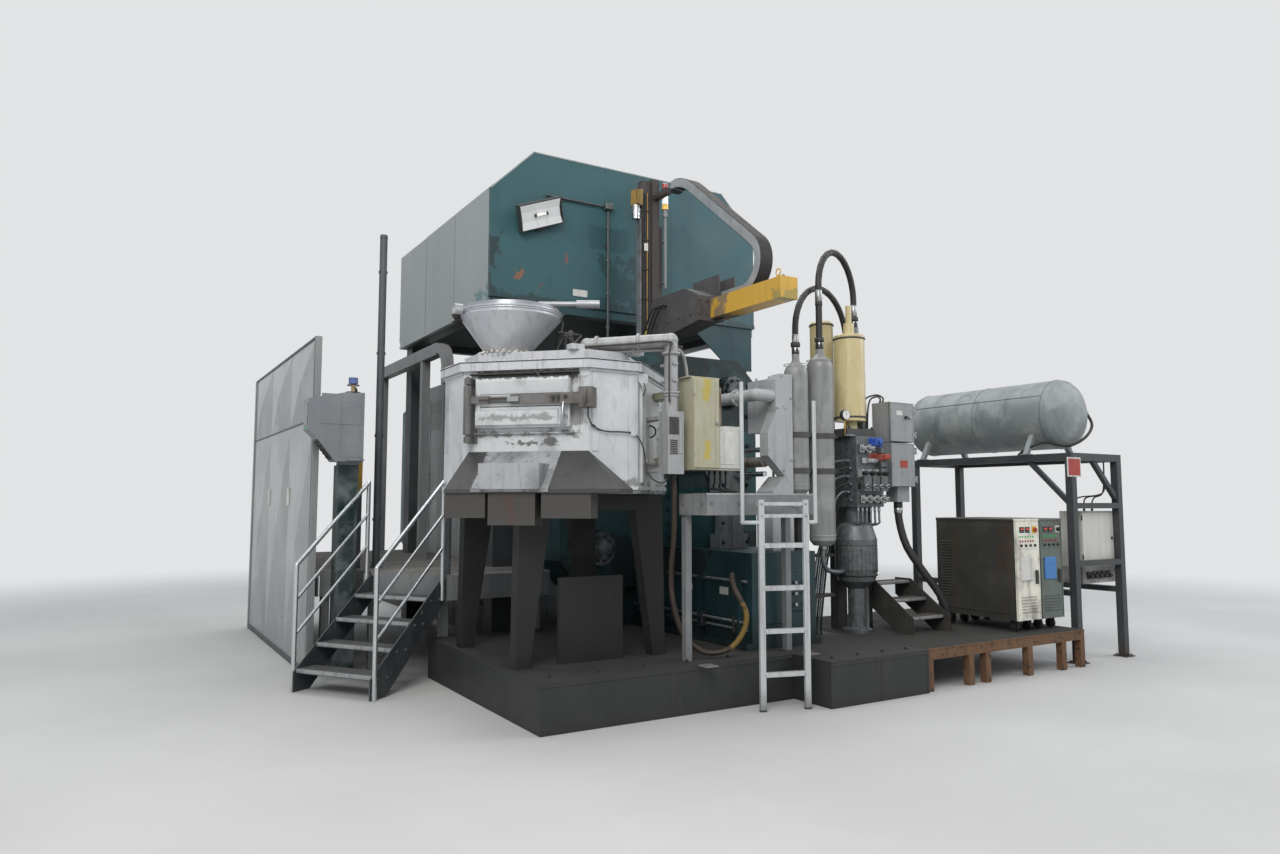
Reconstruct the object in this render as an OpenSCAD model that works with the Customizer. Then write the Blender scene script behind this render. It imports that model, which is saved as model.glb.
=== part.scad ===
// Cold-chamber die casting machine with its dosing furnace, fume hood, die sprayer and side plant.
// Millimetres, +Z up. The origin is on the floor, under the machine's centre line, at the die face
// of the fixed platen. +Y runs along the machine to the clamping end, the shot end lies at -Y.

/* [Foundation] */
// Height of plinth and of side deck
plinth_h = 380; // [340:10:420]
// Die face to front of right plinth block
plinth_front = 3430; // [3400:10:3500]
// Step between two front blocks
plinth_step = 460; // [440:10:480]
// Centre line to step
plinth_step_x = 180; // [100:10:250]
// Centre line to right edge of plinth
plinth_right = 1000; // [970:10:1020]
// Centre line to left edge of plinth behind furnace
plinth_left = 1150; // [1100:10:1200]
// Die face to clamping end of plinth
plinth_back = 6900; // [6850:10:7200]
// Centre line to left of furnace block
furnace_block_left = 2600; // [2550:10:2700]
// Die face to back of furnace block
furnace_block_back = 400; // [390:10:420]
// Length of side deck along front
deck_w = 2400; // [2380:10:2420]
// Depth of side deck
deck_d = 2200; // [2150:10:2300]
// Thickness of deck plate
deck_plate = 10; // [6:1:16]
// Height of deck's beams
deck_beam = 90; // [60:5:120]
// Width of deck's beams
deck_beam_w = 50; // [40:5:70]
// Side of deck's square posts
deck_post = 70; // [50:5:90]

/* [Clamping unit] */
// Height of shot axis over floor
axis_z = 2100; // [2080:10:2120]
// Width of platens
platen_w = 2600; // [2560:10:2640]
// Height of platens
platen_h = 2550; // [2530:10:2570]
// Thickness of fixed platen
platen_t = 640; // [620:10:660]
// Chamfer on platens' corners
platen_chamfer = 260; // [200:10:300]
// Free length between two platens
daylight = 1700; // [1650:10:1750]
// Thickness of moving platen
moving_t = 560; // [500:10:600]
// Length of covered toggle
toggle_l = 2300; // [2250:10:2350]
// Thickness of end platen
end_t = 520; // [480:10:560]
// Diameter of tie bars
tie_d = 230; // [200:5:250]
// Distance between tie bar centres, both ways
tie_pitch = 1780; // [1740:10:1800]
// Length of tie bar nuts
tie_nut = 140; // [100:10:160]
// Diameter of closing cylinder
closing_d = 520; // [400:10:600]
// Length of closing cylinder
closing_l = 1300; // [1000:10:1400]
// Half width of machine bed
bed_half_w = 950; // [930:10:960]
// Height of bed's rails over floor
bed_top = 780; // [760:10:800]
// Width of bed's longitudinal beams
bed_beam_w = 450; // [440:10:500]
// Thickness of toggle's sheet covers
cover_t = 30; // [20:2:40]

/* [Shot unit] */
// Diameter of chrome shot rods
shot_rod_d = 50; // [40:2:60]
// Diameter of shot piston rod
piston_rod_d = 100; // [80:5:110]
// Diameter of shot cylinder
shot_cyl_d = 380; // [340:10:400]
// Outside diameter of shot sleeve
sleeve_d = 400; // [300:10:420]
// Bore of shot sleeve
sleeve_bore = 130; // [100:5:134]
// Width of shot frame
shot_frame_w = 620; // [580:10:640]
// Height of shot unit's pedestal over floor
pedestal_top = 1240; // [1220:10:1260]
// Half width of shot unit's pedestal
pedestal_half_w = 380; // [360:10:400]
// Die face to front of crosshead
crosshead_front = 1850; // [1830:10:1870]
// Depth of crosshead
crosshead_t = 200; // [180:10:220]
// Die face to front of valve housing
housing_front = 2450; // [2430:10:2470]
// Thickness of valve housing's front casting
housing_t = 120; // [100:10:140]
// Diameter of pale air pipe
air_pipe_d = 120; // [100:5:130]

/* [Accumulators] */
// Diameter of near gas bottle
bottle_a_d = 235; // [220:5:240]
// Diameter of tall gas bottle
bottle_b_d = 260; // [240:5:264]
// Diameter of right gas bottle
bottle_c_d = 220; // [200:5:224]
// Diameter of big cream cylinder
cream_a_d = 320; // [300:5:325]
// Diameter of small cream cylinder
cream_b_d = 250; // [230:5:260]
// Outside diameter of arched hoses
arch_hose_d = 66; // [60:2:70]
// Height of shelf under cream cylinders
shelf_top = 2450; // [2440:5:2460]
// Width of clamp bands round bottles
clamp_h = 50; // [40:5:60]
// Thickness of clamp bands
clamp_t = 12; // [8:1:14]

/* [Switch boxes] */
// Width of two switch boxes
box_w = 360; // [350:5:365]
// Depth of two switch boxes
box_d = 230; // [220:5:235]
// Height of upper switch box
upper_box_h = 420; // [400:10:440]
// Height of lower switch box
lower_box_h = 460; // [440:10:460]
// Thickness of boxes' sheet
box_sheet = 4; // [3:1:6]
// Thickness of box doors with their folded edges
box_door_t = 20; // [16:1:22]
// Diameter of box doors' hinge pins
box_pin_d = 10; // [8:1:11]

/* [Fume hood] */
// Half width of hood
hood_half_w = 1850; // [1840:10:1870]
// Length of hood along machine
hood_l = 3400; // [3350:10:3450]
// Die face to hood's front
hood_y = 50; // [45:5:60]
// Height of hood's front edge
hood_bottom = 3960; // [3950:5:3970]
// Height where hood's side walls end
hood_shoulder = 5190; // [5100:10:5250]
// Height of hood's roof
hood_top = 5700; // [5650:10:5800]
// Width of sloping roof panels
hood_slope_w = 520; // [450:10:600]
// Thickness of hood's sheets with their stiffening
hood_sheet = 40; // [30:5:50]
// How far side walls hang below front edge
hood_side_drop = 100; // [80:5:120]
// Height of apron below hood's front edge
apron_h = 560; // [500:10:570]
// Side of hood's square posts
hood_post = 240; // [220:10:250]

/* [Die sprayer] */
// Width of yellow beam
spray_beam_w = 205; // [190:5:210]
// Height of yellow beam
spray_beam_h = 205; // [190:5:210]
// Die face to beam's free end
spray_reach = 2710; // [2650:10:2750]
// Die face to front of sprayer's carriage
carriage_reach = 1600; // [1580:10:1620]
// Height of mast's top
mast_top = 5500; // [5470:10:5550]
// Pitch of energy chain's links
chain_pitch = 110; // [100:2:120]
// Width of energy chain
chain_w = 150; // [140:2:160]
// Height of energy chain's side plates
chain_h = 95; // [85:1:98]
// Thickness of energy chain's side plates
chain_plate = 12; // [8:1:14]
// Bending radius of energy chain
chain_r = 275; // [260:5:290]
// Angle of chain's upper run over horizontal
chain_rise = 39; // [37:1:41]
// Diameter of signal lamp's lenses
lens_d = 72; // [60:2:76]
// Height of each lens of signal lamp
lens_h = 62; // [50:2:66]

/* [Furnace] */
// Furnace centre left of machine's centre line
furnace_left = 1850; // [1840:5:1860]
// Furnace centre before die face
furnace_before = 1720; // [1710:5:1730]
// Half width of furnace between its flat sides
furnace_half = 1000; // [985:5:1005]
// Corner cut of furnace's eight-sided plan
furnace_cut = 770; // [760:5:780]
// Height of furnace's underside
furnace_bottom = 1770; // [1765:5:1785]
// Height of furnace shell's top edge
furnace_top = 2780; // [2770:5:2790]
// Thickness of top plate's rim
rim_t = 80; // [60:5:90]
// Thickness of middle of top
lid_t = 100; // [80:5:110]
// Width of cleaning door
door_w = 810; // [790:5:830]
// Height of cleaning door
door_h = 410; // [400:5:420]
// Thickness of cleaning door
door_t = 60; // [50:2:64]
// Diameter of cleaning door's hinge pin
door_pin_d = 30; // [24:1:34]
// Diameter of hinge sleeve on cleaning door
door_sleeve_d = 70; // [60:2:74]
// Diameter of hopper's rim
hopper_d = 880; // [860:10:900]
// Height of hopper's bowl
hopper_h = 378; // [360:2:390]
// Diameter of burner's air pipe
burner_pipe_d = 115; // [100:5:125]

/* [Vessel and frame] */
// Diameter of pressure vessel
vessel_d = 790; // [770:10:800]
// Length of pressure vessel over its ends
vessel_l = 2230; // [2200:10:2240]
// Height of vessel frame's top
frame_top = 2230; // [2210:10:2250]
// Width of vessel frame between post centres
frame_w = 850; // [830:10:870]
// Length of vessel frame between post centres
frame_l = 2130; // [2100:10:2160]
// Side of frame's square tubes
frame_tube = 80; // [70:5:85]

/* [Temperature units] */
// Width of each unit
unit_w = 370; // [360:5:375]
// Depth of each unit
unit_d = 1000; // [950:10:1020]
// Height of each unit's housing
unit_h = 1020; // [1000:10:1040]
// Diameter of units' castors
castor_d = 100; // [80:5:105]

/* [Access] */
// Width of stair between its stringers
stair_w = 870; // [850:10:880]
// Rise of each step
stair_rise = 200; // [198:1:202]
// Going of each step
stair_going = 240; // [238:1:242]
// Height of handrails over steps
rail_h = 950; // [900:10:980]
// Diameter of handrail tubes
rail_d = 42; // [34:2:46]
// Depth of platform's edge band
band_h = 250; // [220:10:260]
// Height of guard wall
wall_h = 3360; // [3300:10:3400]
// Length of guard wall
wall_l = 3900; // [3840:30:3990]
// How far guard panels are pressed out
panel_press = 35; // [20:5:45]
// Width of ladder over its rails
ladder_w = 450; // [440:5:460]
// Height of ladder's rails
ladder_h = 1720; // [1700:5:1730]
// Pitch of ladder's rungs
rung_pitch = 350; // [330:5:360]
// Height of service platform
service_top = 1770; // [1760:5:1780]

/* [Hidden] */
$fn = 48;
// Gap left where one piece is seated on another
seat = 0.3;
// Clearance round moving doors
door_gap = 6;
// Play of a hinge bore round its pin
pin_play = 0.4;

deck_x = plinth_right;
deck_y = 30 - plinth_front;
deck_posts_x = [60, 620, 860, 1500, 2050, deck_w - deck_post / 2];

platen_top = axis_z + platen_h / 2;
platen_bottom = axis_z - platen_h / 2;
toggle_y = daylight + moving_t;
end_y = toggle_y + toggle_l;
closing_y = end_y + end_t;

rod_x = 50;
crosshead_top = axis_z + 140;
housing_back = housing_t - housing_front;

bottle_a = [440, -2350];
bottle_b = [760, -2350];
bottle_c = [1580, -2020];
bottle_a_top = 3160;
bottle_b_top = 3240;
bottle_c_top = 3600;
cream_a = [1290, -2230];
cream_b = [1230, -1880];
shelf_t = 80;
shelf_bottom = shelf_top - shelf_t;
rack_post_a = [550, -2220];
rack_post_b = [1230, -2070];
hose_end = [1420, -2060];
valve_at = [1120, -2470, 1650];
valve_size = [380, 340, shelf_bottom - 1650];

boxes_at = [1620, -2450];
lower_box_z = 1860;
upper_box_z = lower_box_z + lower_box_h + 10;
box_hinge = [boxes_at[0] + box_w + 12, boxes_at[1] - door_gap - box_door_t];
box_knuckle_d = 20;
box_knuckle_h = 40;

spray_x = -54;
spray_z = platen_top + 235;
beam_top = spray_z + spray_beam_h;
carriage_right = 60;
chain_x = 175;
chain_z = beam_top + seat + chain_h / 2;
chain_y = -1190;
chain_low_run = 730;
chain_high_run = 1400;
chain_top_r = 600;
chain_end_rise = 5;
mast_y = -310;

furnace_at = [-furnace_left, -furnace_before, 0];
// Distance from the furnace's centre to its sloping sides
facet_r = (2 * furnace_half - furnace_cut) / sqrt(2);
facet_half = furnace_cut / sqrt(2);
lid_top = furnace_top + rim_t + lid_t;
apron_top = furnace_bottom + 340;
door_z = 2304;
door_hinge = [-door_w / 2 - 58, -door_gap - door_t - 29];
lug_top_z = door_z + 356;
lug_low_z = door_z - 124;
hopper_at = [-2430, -1860];
burner_up = [-1900, -2350];
burner_down = [-1360, -2830];
burner_low_z = 2450;
cabinet_x = -1200;
cabinet_y = -2590;

deck_end = deck_x + deck_w;
frame_gap = 130;
frame_x = deck_end + frame_gap;
frame_in = 160;
frame_y = deck_y + frame_in;
vessel_at = [frame_x + frame_w / 2, frame_y + 160, frame_top + 470];
unit_edge = 70;
unit_gap = 20;
unit_x = [deck_end - unit_edge - 2 * unit_w - unit_gap, deck_end - unit_edge - unit_w];
unit_z = plinth_h + castor_d + 20;

stair_at = [-3580, -780];
stair_turn = 34;
stair_risers = 5;
stair_run = stair_going * (stair_risers - 1) + seat;
stringer_t = 10;
rail_off = stair_w / 2 + stringer_t + seat + rail_d / 2;
rail_up_x = stair_run - seat - rail_d;
rail_reach = 60;
walk_h = stair_rise * stair_risers;
walk_plate = 40;
wall_at = [-3600, 250];
wall_seam = 2530;
console_column = [-3390, 95, 197, 200];
ladder_at = [-742, -3206];
ladder_turn = -16;
service_front = -3120;

// Route of the burner's hose that hangs in a loop to the plinth
loop_route = [
  [-1310, -2790, 1930], [-1290, -2770, 1700], [-1250, -2700, 1400], [-1220, -2610, 1100], [-1200, -2610, 850],
  [-1130, -2655, 580], [-1000, -2735, 445], [-880, -2805, 430], [-770, -2870, 480], [-690, -2920, 610],
  [-670, -2935, 750], [-710, -2905, 870], [-730, -2850, 960], [-690, -2760, 1040], [-600, -2650.3, 1060]
];
loop_d = 46;
// Route of the thick hose below the switch boxes
box_route = [
  [1840, -2350, 1700], [1840, -2360, 1500], [1880, -2420, 1230], [2010, -2520, 970], [2140, -2610, 740],
  [2200, -2650, 560], [2210, -2640, 450], [2210, -2640, 380.3]
];
box_hose_d = 80;

// A box from its low corner
module block(low, size) {
  translate(low) cube(size);
}

// A profile in X and Z, extruded from y0 along +Y
module along_y(y0, length) {
  translate([0, y0 + length, 0]) rotate([90, 0, 0]) linear_extrude(length) children();
}

// A profile in Y and Z, extruded from x0 along +X
module along_x(x0, length) {
  translate([x0, 0, 0]) rotate([90, 0, 90]) linear_extrude(length) children();
}

// A round bar from one point to another
module bar(from, to, d) {
  run = to - from;
  reach = norm(run);
  translate(from)
    rotate([0, acos(run[2] / reach), atan2(run[1], run[0])])
      cylinder(d = d, h = reach);
}

// A ring in the Y-Z plane, for lifting eyes
module eye(at, r, d) {
  translate(at) rotate([0, 90, 0]) rotate_extrude() translate([r, 0]) circle(d = d, $fn = 24);
}

// A quarter or half bend of round tube in the X-Z plane, centred on the origin
module bend(r, d, from, sweep) {
  rotate([90, 0, 0]) rotate([0, 0, from]) rotate_extrude(angle = sweep) translate([r, 0]) circle(d = d);
}

// The furnace's eight-sided plan, grown by a margin
module furnace_plan(grow = 0) {
  r = furnace_half + grow;
  c = furnace_cut + grow * (2 - sqrt(2));
  polygon([
    [-r, -r + c], [-r + c, -r], [r - c, -r], [r, -r + c],
    [r, r - c], [r - c, r], [-r + c, r], [-r, r - c]
  ]);
}

// Places children on the furnace's door side: x to the right, -y outwards
module at_door_side() {
  translate(furnace_at) rotate([0, 0, -45]) translate([0, -facet_r, 0]) children();
}

// Y of the furnace's right front side at a given X
function right_facet_y(x) = x + furnace_left - furnace_before - facet_r * sqrt(2);

// Unit directions along a route, from neighbour to neighbour
function route_run(p, i) =
  let (a = p[max(i - 1, 0)], b = p[min(i + 1, len(p) - 1)]) (b - a) / norm(b - a);

// A hose swept along its route as a many-sided tube
module hose(route, d, sides = 10) {
  n = len(route);
  across = [0.6, -0.8, 0];
  points = [
    for (i = [0 : n - 1])
      let (
        t = i == 0 || i == n - 1 ? hose_end_run(route, i) : route_run(route, i),
        u = cross(t, across) / norm(cross(t, across)),
        v = cross(u, t)
      )
      for (k = [0 : sides - 1])
        route[i] + d / 2 * (cos(k * 360 / sides) * u + sin(k * 360 / sides) * v)
  ];
  walls = [
    for (i = [0 : n - 2], k = [0 : sides - 1])
      let (a = i * sides + k, b = i * sides + (k + 1) % sides)
      [a, b, b + sides, a + sides]
  ];
  polyhedron(
    points,
    concat([[for (k = [sides - 1 : -1 : 0]) k]], walls, [[for (k = [0 : sides - 1]) (n - 1) * sides + k]])
  );
}

// A hose ends square to what it meets
function hose_end_run(p, i) =
  let (t = route_run(p, i), big = max(abs(t[0]), abs(t[1]), abs(t[2])))
  abs(t[2]) == big ? [0, 0, sign(t[2])] : abs(t[1]) == big ? [0, sign(t[1]), 0] : [sign(t[0]), 0, 0];

// A route with points added on a smooth curve through the given ones
function smooth_route(p, steps) = [
  for (i = [0 : len(p) - 2], k = [0 : steps - 1]) curve_point(p, i, k / steps),
  p[len(p) - 1]
];
function curve_point(p, i, t) =
  let (
    a = p[max(i - 1, 0)], b = p[i], c = p[i + 1], d = p[min(i + 2, len(p) - 1)],
    m = (c - a) / 2, n = (d - b) / 2
  )
  b * (2 * t * t * t - 3 * t * t + 1) + m * (t * t * t - 2 * t * t + t)
    + c * (3 * t * t - 2 * t * t * t) + n * (t * t * t - t * t);

module plinth() {
  left_front = plinth_step - plinth_front;
  color("#3a3b3a") {
    block([-plinth_step_x, -plinth_front, 0], [plinth_step_x + plinth_right, plinth_step - seat, plinth_h]);
    block(
      [-furnace_block_left, left_front, 0],
      [furnace_block_left + plinth_right, -furnace_block_back - left_front - seat, plinth_h]
    );
    block(
      [-plinth_left, -furnace_block_back, 0],
      [plinth_left + plinth_right, furnace_block_back + plinth_back, plinth_h]
    );
  }
}

module side_deck() {
  color("#3c3b39")
    block([deck_x, deck_y, plinth_h - deck_plate], [deck_w, deck_d, deck_plate]);
}

module deck_beams() {
  z = plinth_h - deck_plate - deck_beam;
  bays = 3;
  pitch = (deck_d - deck_beam_w) / bays;
  color("#8a5a35")
    for (i = [0 : bays]) {
      block([deck_x, deck_y + i * pitch, z], [deck_w, deck_beam_w, deck_beam]);
      if (i < bays)
        for (x = [0, deck_w - deck_beam_w])
          block(
            [deck_x + x, deck_y + i * pitch + deck_beam_w + seat, z],
            [deck_beam_w, pitch - deck_beam_w - 2 * seat, deck_beam]
          );
    }
}

module deck_posts() {
  color("#6d4a2e")
    for (x = deck_posts_x, y = [0, deck_d - deck_post])
      block(
        [deck_x + x - deck_post / 2, deck_y + y, 0],
        [deck_post, deck_post, plinth_h - deck_plate - deck_beam]
      );
}

module machine_bed() {
  rib_t = 200;
  tail = 200;
  inner = bed_half_w - bed_beam_w - seat;
  color("#274b50") {
    for (x = [-bed_half_w, bed_half_w - bed_beam_w])
      block([x, -platen_t, plinth_h], [bed_beam_w, closing_y + platen_t + tail, bed_top - plinth_h]);
    for (y = [-platen_t, daylight / 2, toggle_y, end_y, closing_y])
      block([-inner, y, plinth_h], [2 * inner, rib_t, bed_top - plinth_h - 60]);
  }
}

// A platen with chamfered corners and its four tie bar bores, standing on the bed
module platen(y, thick) {
  w = platen_w / 2;
  h = platen_h / 2;
  c = platen_chamfer;
  foot = axis_z - bed_top;
  along_y(y, thick)
    translate([0, axis_z])
      difference() {
        polygon([
          [-w, -h + c], [-w + c, -foot], [w - c, -foot], [w, -h + c],
          [w, h - c], [w - c, h], [-w + c, h], [-w, h - c]
        ]);
        for (sx = [-1, 1], sz = [-1, 1])
          translate([sx * tie_pitch / 2, sz * tie_pitch / 2])
            circle(d = tie_d + 2 * seat);
      }
}

module fixed_platen() {
  color("#2c5054")
    difference() {
      platen(-platen_t, platen_t);
      along_y(-platen_t - 1, platen_t + 2) translate([0, axis_z]) circle(d = sleeve_d + 2 * seat);
    }
}

module moving_platen() {
  color("#2c5054") platen(daylight, moving_t);
}

module end_platen() {
  color("#2c5054") platen(end_y, end_t);
}

module tie_bars() {
  stub = 20;
  reach = tie_nut + stub;
  color("#b8bcbe")
    for (sx = [-1, 1], sz = [-1, 1])
      translate([sx * tie_pitch / 2, 0, axis_z + sz * tie_pitch / 2])
        rotate([-90, 0, 0]) {
          translate([0, 0, -platen_t - reach]) cylinder(d = tie_d, h = closing_y + platen_t + 2 * reach);
          for (z = [-platen_t - tie_nut - seat, closing_y + seat])
            translate([0, 0, z])
              difference() {
                cylinder(d = tie_d * 1.55, h = tie_nut, $fn = 12);
                translate([0, 0, -1]) cylinder(d = tie_d + 2 * seat, h = tie_nut + 2);
              }
        }
}

module clamp_cover() {
  y0 = toggle_y + seat;
  l = toggle_l - 2 * seat;
  w = (platen_w - cover_t) / 2;
  z0 = bed_top + 40;
  z1 = platen_top;
  ribs = 4;
  color("#8f9693") {
    for (side = [-1, 1]) {
      block([side * w - cover_t / 2, y0, z0], [cover_t, l, z1 - z0 - cover_t - seat]);
      for (i = [0 : ribs - 1])
        block(
          [side * (w + cover_t / 2 + seat + 6) - 6, y0 + l * (i + 0.5) / ribs - 40, z0 + 60],
          [12, 80, z1 - z0 - 240]
        );
    }
    block([-w - cover_t / 2, y0, z1 - cover_t], [2 * w + cover_t, l, cover_t]);
    for (side = [-1, 1])
      block([side * (w - cover_t / 2 - 50 - seat) - 50, y0, platen_bottom], [100, l, 60]);
  }
}

module closing_cylinder() {
  flange_t = 90;
  color("#2c5054")
    translate([0, closing_y, axis_z])
      rotate([-90, 0, 0])
        rotate_extrude()
          polygon([
            [0, 0], [closing_d / 2 + 80, 0], [closing_d / 2 + 80, flange_t], [closing_d / 2, flange_t],
            [closing_d / 2, closing_l - flange_t], [closing_d / 2 + 30, closing_l - flange_t],
            [closing_d / 2 + 30, closing_l], [0, closing_l]
          ]);
}

module shot_pedestal() {
  y0 = -housing_front - 200;
  l = -platen_t - seat - y0;
  flange = 60;
  color("#24484e") {
    block([-pedestal_half_w, y0, plinth_h], [2 * pedestal_half_w, l, pedestal_top - plinth_h]);
    for (side = [-1, 1])
      block(
        [side * (pedestal_half_w + seat + flange / 2) - flange / 2, y0, plinth_h],
        [flange, l, flange]
      );
    for (side = [-1, 1], i = [0 : 2])
      block(
        [side * (pedestal_half_w + seat + flange / 2) - flange / 2, y0 + 120 + i * 620, plinth_h + flange + seat],
        [flange, 30, 560]
      );
  }
}

module shot_unit() {
  frame_l2 = 420;
  cyl_l = crosshead_front - crosshead_t - platen_t - frame_l2;
  color("#8b8d8c") {
    difference() {
      union() {
        block(
          [-shot_frame_w / 2, -platen_t - frame_l2, pedestal_top],
          [shot_frame_w, frame_l2 - seat, axis_z + 320 - pedestal_top]
        );
        along_y(-platen_t - 10, platen_t + 10) translate([0, axis_z]) circle(d = sleeve_d);
      }
      along_y(-platen_t - 300, platen_t + 301) translate([0, axis_z]) circle(d = sleeve_bore);
    }
    along_y(seat - platen_t - frame_l2 - cyl_l, cyl_l - 2 * seat)
      translate([0, axis_z]) circle(d = shot_cyl_d);
    along_y(-platen_t - frame_l2 - cyl_l + 60, cyl_l - 140)
      difference() {
        translate([-150, pedestal_top]) square([300, axis_z - pedestal_top - 60]);
        translate([0, axis_z]) circle(d = shot_cyl_d + 2 * seat);
      }
    along_y(-crosshead_front, crosshead_t)
      difference() {
        translate([rod_x - 160, pedestal_top]) square([320, crosshead_top - pedestal_top]);
        translate([rod_x - 161, pedestal_top + 140]) square([60, 420]);
        translate([rod_x + 101, pedestal_top + 140]) square([60, 420]);
      }
    block([rod_x - 10, crosshead_t / 2 - 10 - crosshead_front, crosshead_top - 10], [20, 20, 30]);
    eye([rod_x, crosshead_t / 2 - crosshead_front, crosshead_top + 52], 34, 16);
  }
}

module shot_rods() {
  from = -housing_front + housing_t + seat;
  l = housing_front - housing_t - crosshead_front - 2 * seat;
  color("#c9ccce") {
    for (z = [axis_z - 130, axis_z + 105])
      along_y(from, l) translate([rod_x, z]) circle(d = shot_rod_d);
    along_y(from, l) translate([rod_x, axis_z - 15]) circle(d = piston_rod_d);
  }
}

module valve_housing() {
  top = axis_z + 836;
  right = 300;
  pipe_y = housing_back - 60;
  pipe_z = axis_z + 620;
  pipe_x = -100;
  color("#a5a7a4") {
    along_y(-housing_front, housing_t)
      polygon([
        [90, top - 60], [90, axis_z + 462], [-10, axis_z + 261], [-10, axis_z + 40], [190, axis_z - 147],
        [right, axis_z - 285], [right, top], [150, top]
      ]);
    block([110, housing_back + seat, axis_z + 280], [right - 110, 330, top - axis_z - 320]);
    along_y(-housing_front, 240)
      polygon([
        [40, pedestal_top], [right, pedestal_top], [right, axis_z - 285 - seat], [190 + seat, axis_z - 147 - seat - 6],
        [100, axis_z - 240], [40, axis_z - 300]
      ]);
  }
  color("#d3d4d0") {
    bar([pipe_x, -platen_t - seat, pipe_z], [pipe_x, pipe_y, pipe_z], air_pipe_d);
    translate([pipe_x, pipe_y, pipe_z]) sphere(d = air_pipe_d);
    bar([pipe_x, pipe_y, pipe_z], [90 - seat, pipe_y, pipe_z], air_pipe_d);
  }
}

// A gas bottle: straight shell with round shoulder, neck and pipe
module bottle(at, z0, shoulder, top, d, neck_d) {
  translate([at[0], at[1], z0])
    rotate_extrude()
      polygon(concat(
        [[0, 0], [d / 2 - 40, 0], [d / 2, 50]],
        [for (a = [0 : 10 : 60]) [d / 2 * cos(a), shoulder - z0 - d / 2 + d / 2 * sin(a)]],
        [[neck_d / 2, shoulder - z0 + 15], [neck_d / 2, top - z0], [0, top - z0]]
      ));
}

module gas_bottles() {
  color("#85878a") {
    bottle(bottle_a, 1770, 3080, bottle_a_top, bottle_a_d, 74);
    bottle(bottle_b, 1270, 3180, bottle_b_top, bottle_b_d, 80);
    bottle(bottle_c, 1900, 3190, bottle_c_top, bottle_c_d, 96);
  }
}

module cream_cylinders() {
  neck_h = 90;
  color("#d8c791") {
    translate([cream_a[0], cream_a[1], shelf_top])
      rotate_extrude()
        polygon([
          [0, 0], [75, 0], [65, neck_h], [cream_a_d / 2, neck_h], [cream_a_d / 2, 990],
          [cream_a_d / 2 - 10, 1000], [0, 1000]
        ]);
    translate([cream_b[0], cream_b[1], shelf_top])
      rotate_extrude()
        polygon([
          [0, 0], [cream_b_d / 2, 0], [cream_b_d / 2, 1180], [cream_b_d / 2 - 20, 1200], [0, 1200]
        ]);
  }
  color("#9b9c98")
    translate([cream_a[0], cream_a[1], shelf_top + 1000 + seat]) {
      cylinder(d = 110, h = 130);
      translate([0, 0, 130]) cylinder(d = 62, h = 190);
    }
}

// The outline of a clamp band that holds bottles to a post
module clamp_band(bottles, ds, arm_low, arm_size) {
  difference() {
    union() {
      for (i = [0 : len(bottles) - 1]) translate(bottles[i]) circle(d = ds[i] + 2 * clamp_t);
      translate(arm_low) square(arm_size);
    }
    for (i = [0 : len(bottles) - 1]) translate(bottles[i]) circle(d = ds[i] + 2 * seat);
  }
}

module accumulator_rack() {
  post = 100;
  post_b = 120;
  arm_a = bottle_a[0] + 60;
  shelf_low = [1060, cream_a[1] - 180];
  color("#4b4c4a") {
    block([rack_post_a[0], rack_post_a[1], plinth_h], [post, post, 2040]);
    for (z = [1980, 2330])
      translate([0, 0, z])
        linear_extrude(clamp_h)
          clamp_band(
            [bottle_a, bottle_b], [bottle_a_d, bottle_b_d],
            [arm_a, bottle_a[1]], [bottle_b[0] - 60 - arm_a, rack_post_a[1] - bottle_a[1] - seat]
          );
    block([shelf_low[0], shelf_low[1], shelf_bottom], [400, 670, shelf_t]);
    block([rack_post_b[0], rack_post_b[1], plinth_h], [post_b, post_b, shelf_bottom - plinth_h - seat]);
    for (z = [1960, 2280])
      translate([0, 0, z])
        linear_extrude(clamp_h)
          clamp_band(
            [bottle_c], [bottle_c_d],
            [rack_post_b[0] + post_b + seat, bottle_c[1] - 20],
            [bottle_c[0] - rack_post_b[0] - post_b - seat, 40]
          );
  }
}

// A hose from one riser over a half circle down to another
module arched_hose(a, za, b, zb, spring_z, d) {
  run = b - a;
  r = norm(run) / 2;
  turn = atan2(run[1], run[0]);
  fitting = 60;
  translate([a[0], a[1], 0])
    rotate([0, 0, turn]) {
      translate([0, 0, za + seat]) cylinder(d = d, h = spring_z - za - seat);
      translate([2 * r, 0, zb + seat]) cylinder(d = d, h = spring_z - zb - seat);
      translate([0, 0, za + seat]) cylinder(d = d + 14, h = fitting);
      translate([2 * r, 0, zb + seat]) cylinder(d = d + 14, h = fitting);
      translate([r, 0, spring_z]) bend(r, d, 0, 180);
    }
}

module arched_hoses() {
  color("#3a3b3b") {
    arched_hose(bottle_a, bottle_a_top, hose_end, shelf_top, 3400, arch_hose_d - 4);
    arched_hose(bottle_b, bottle_b_top, bottle_c, bottle_c_top, 3890, arch_hose_d);
  }
}

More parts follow.
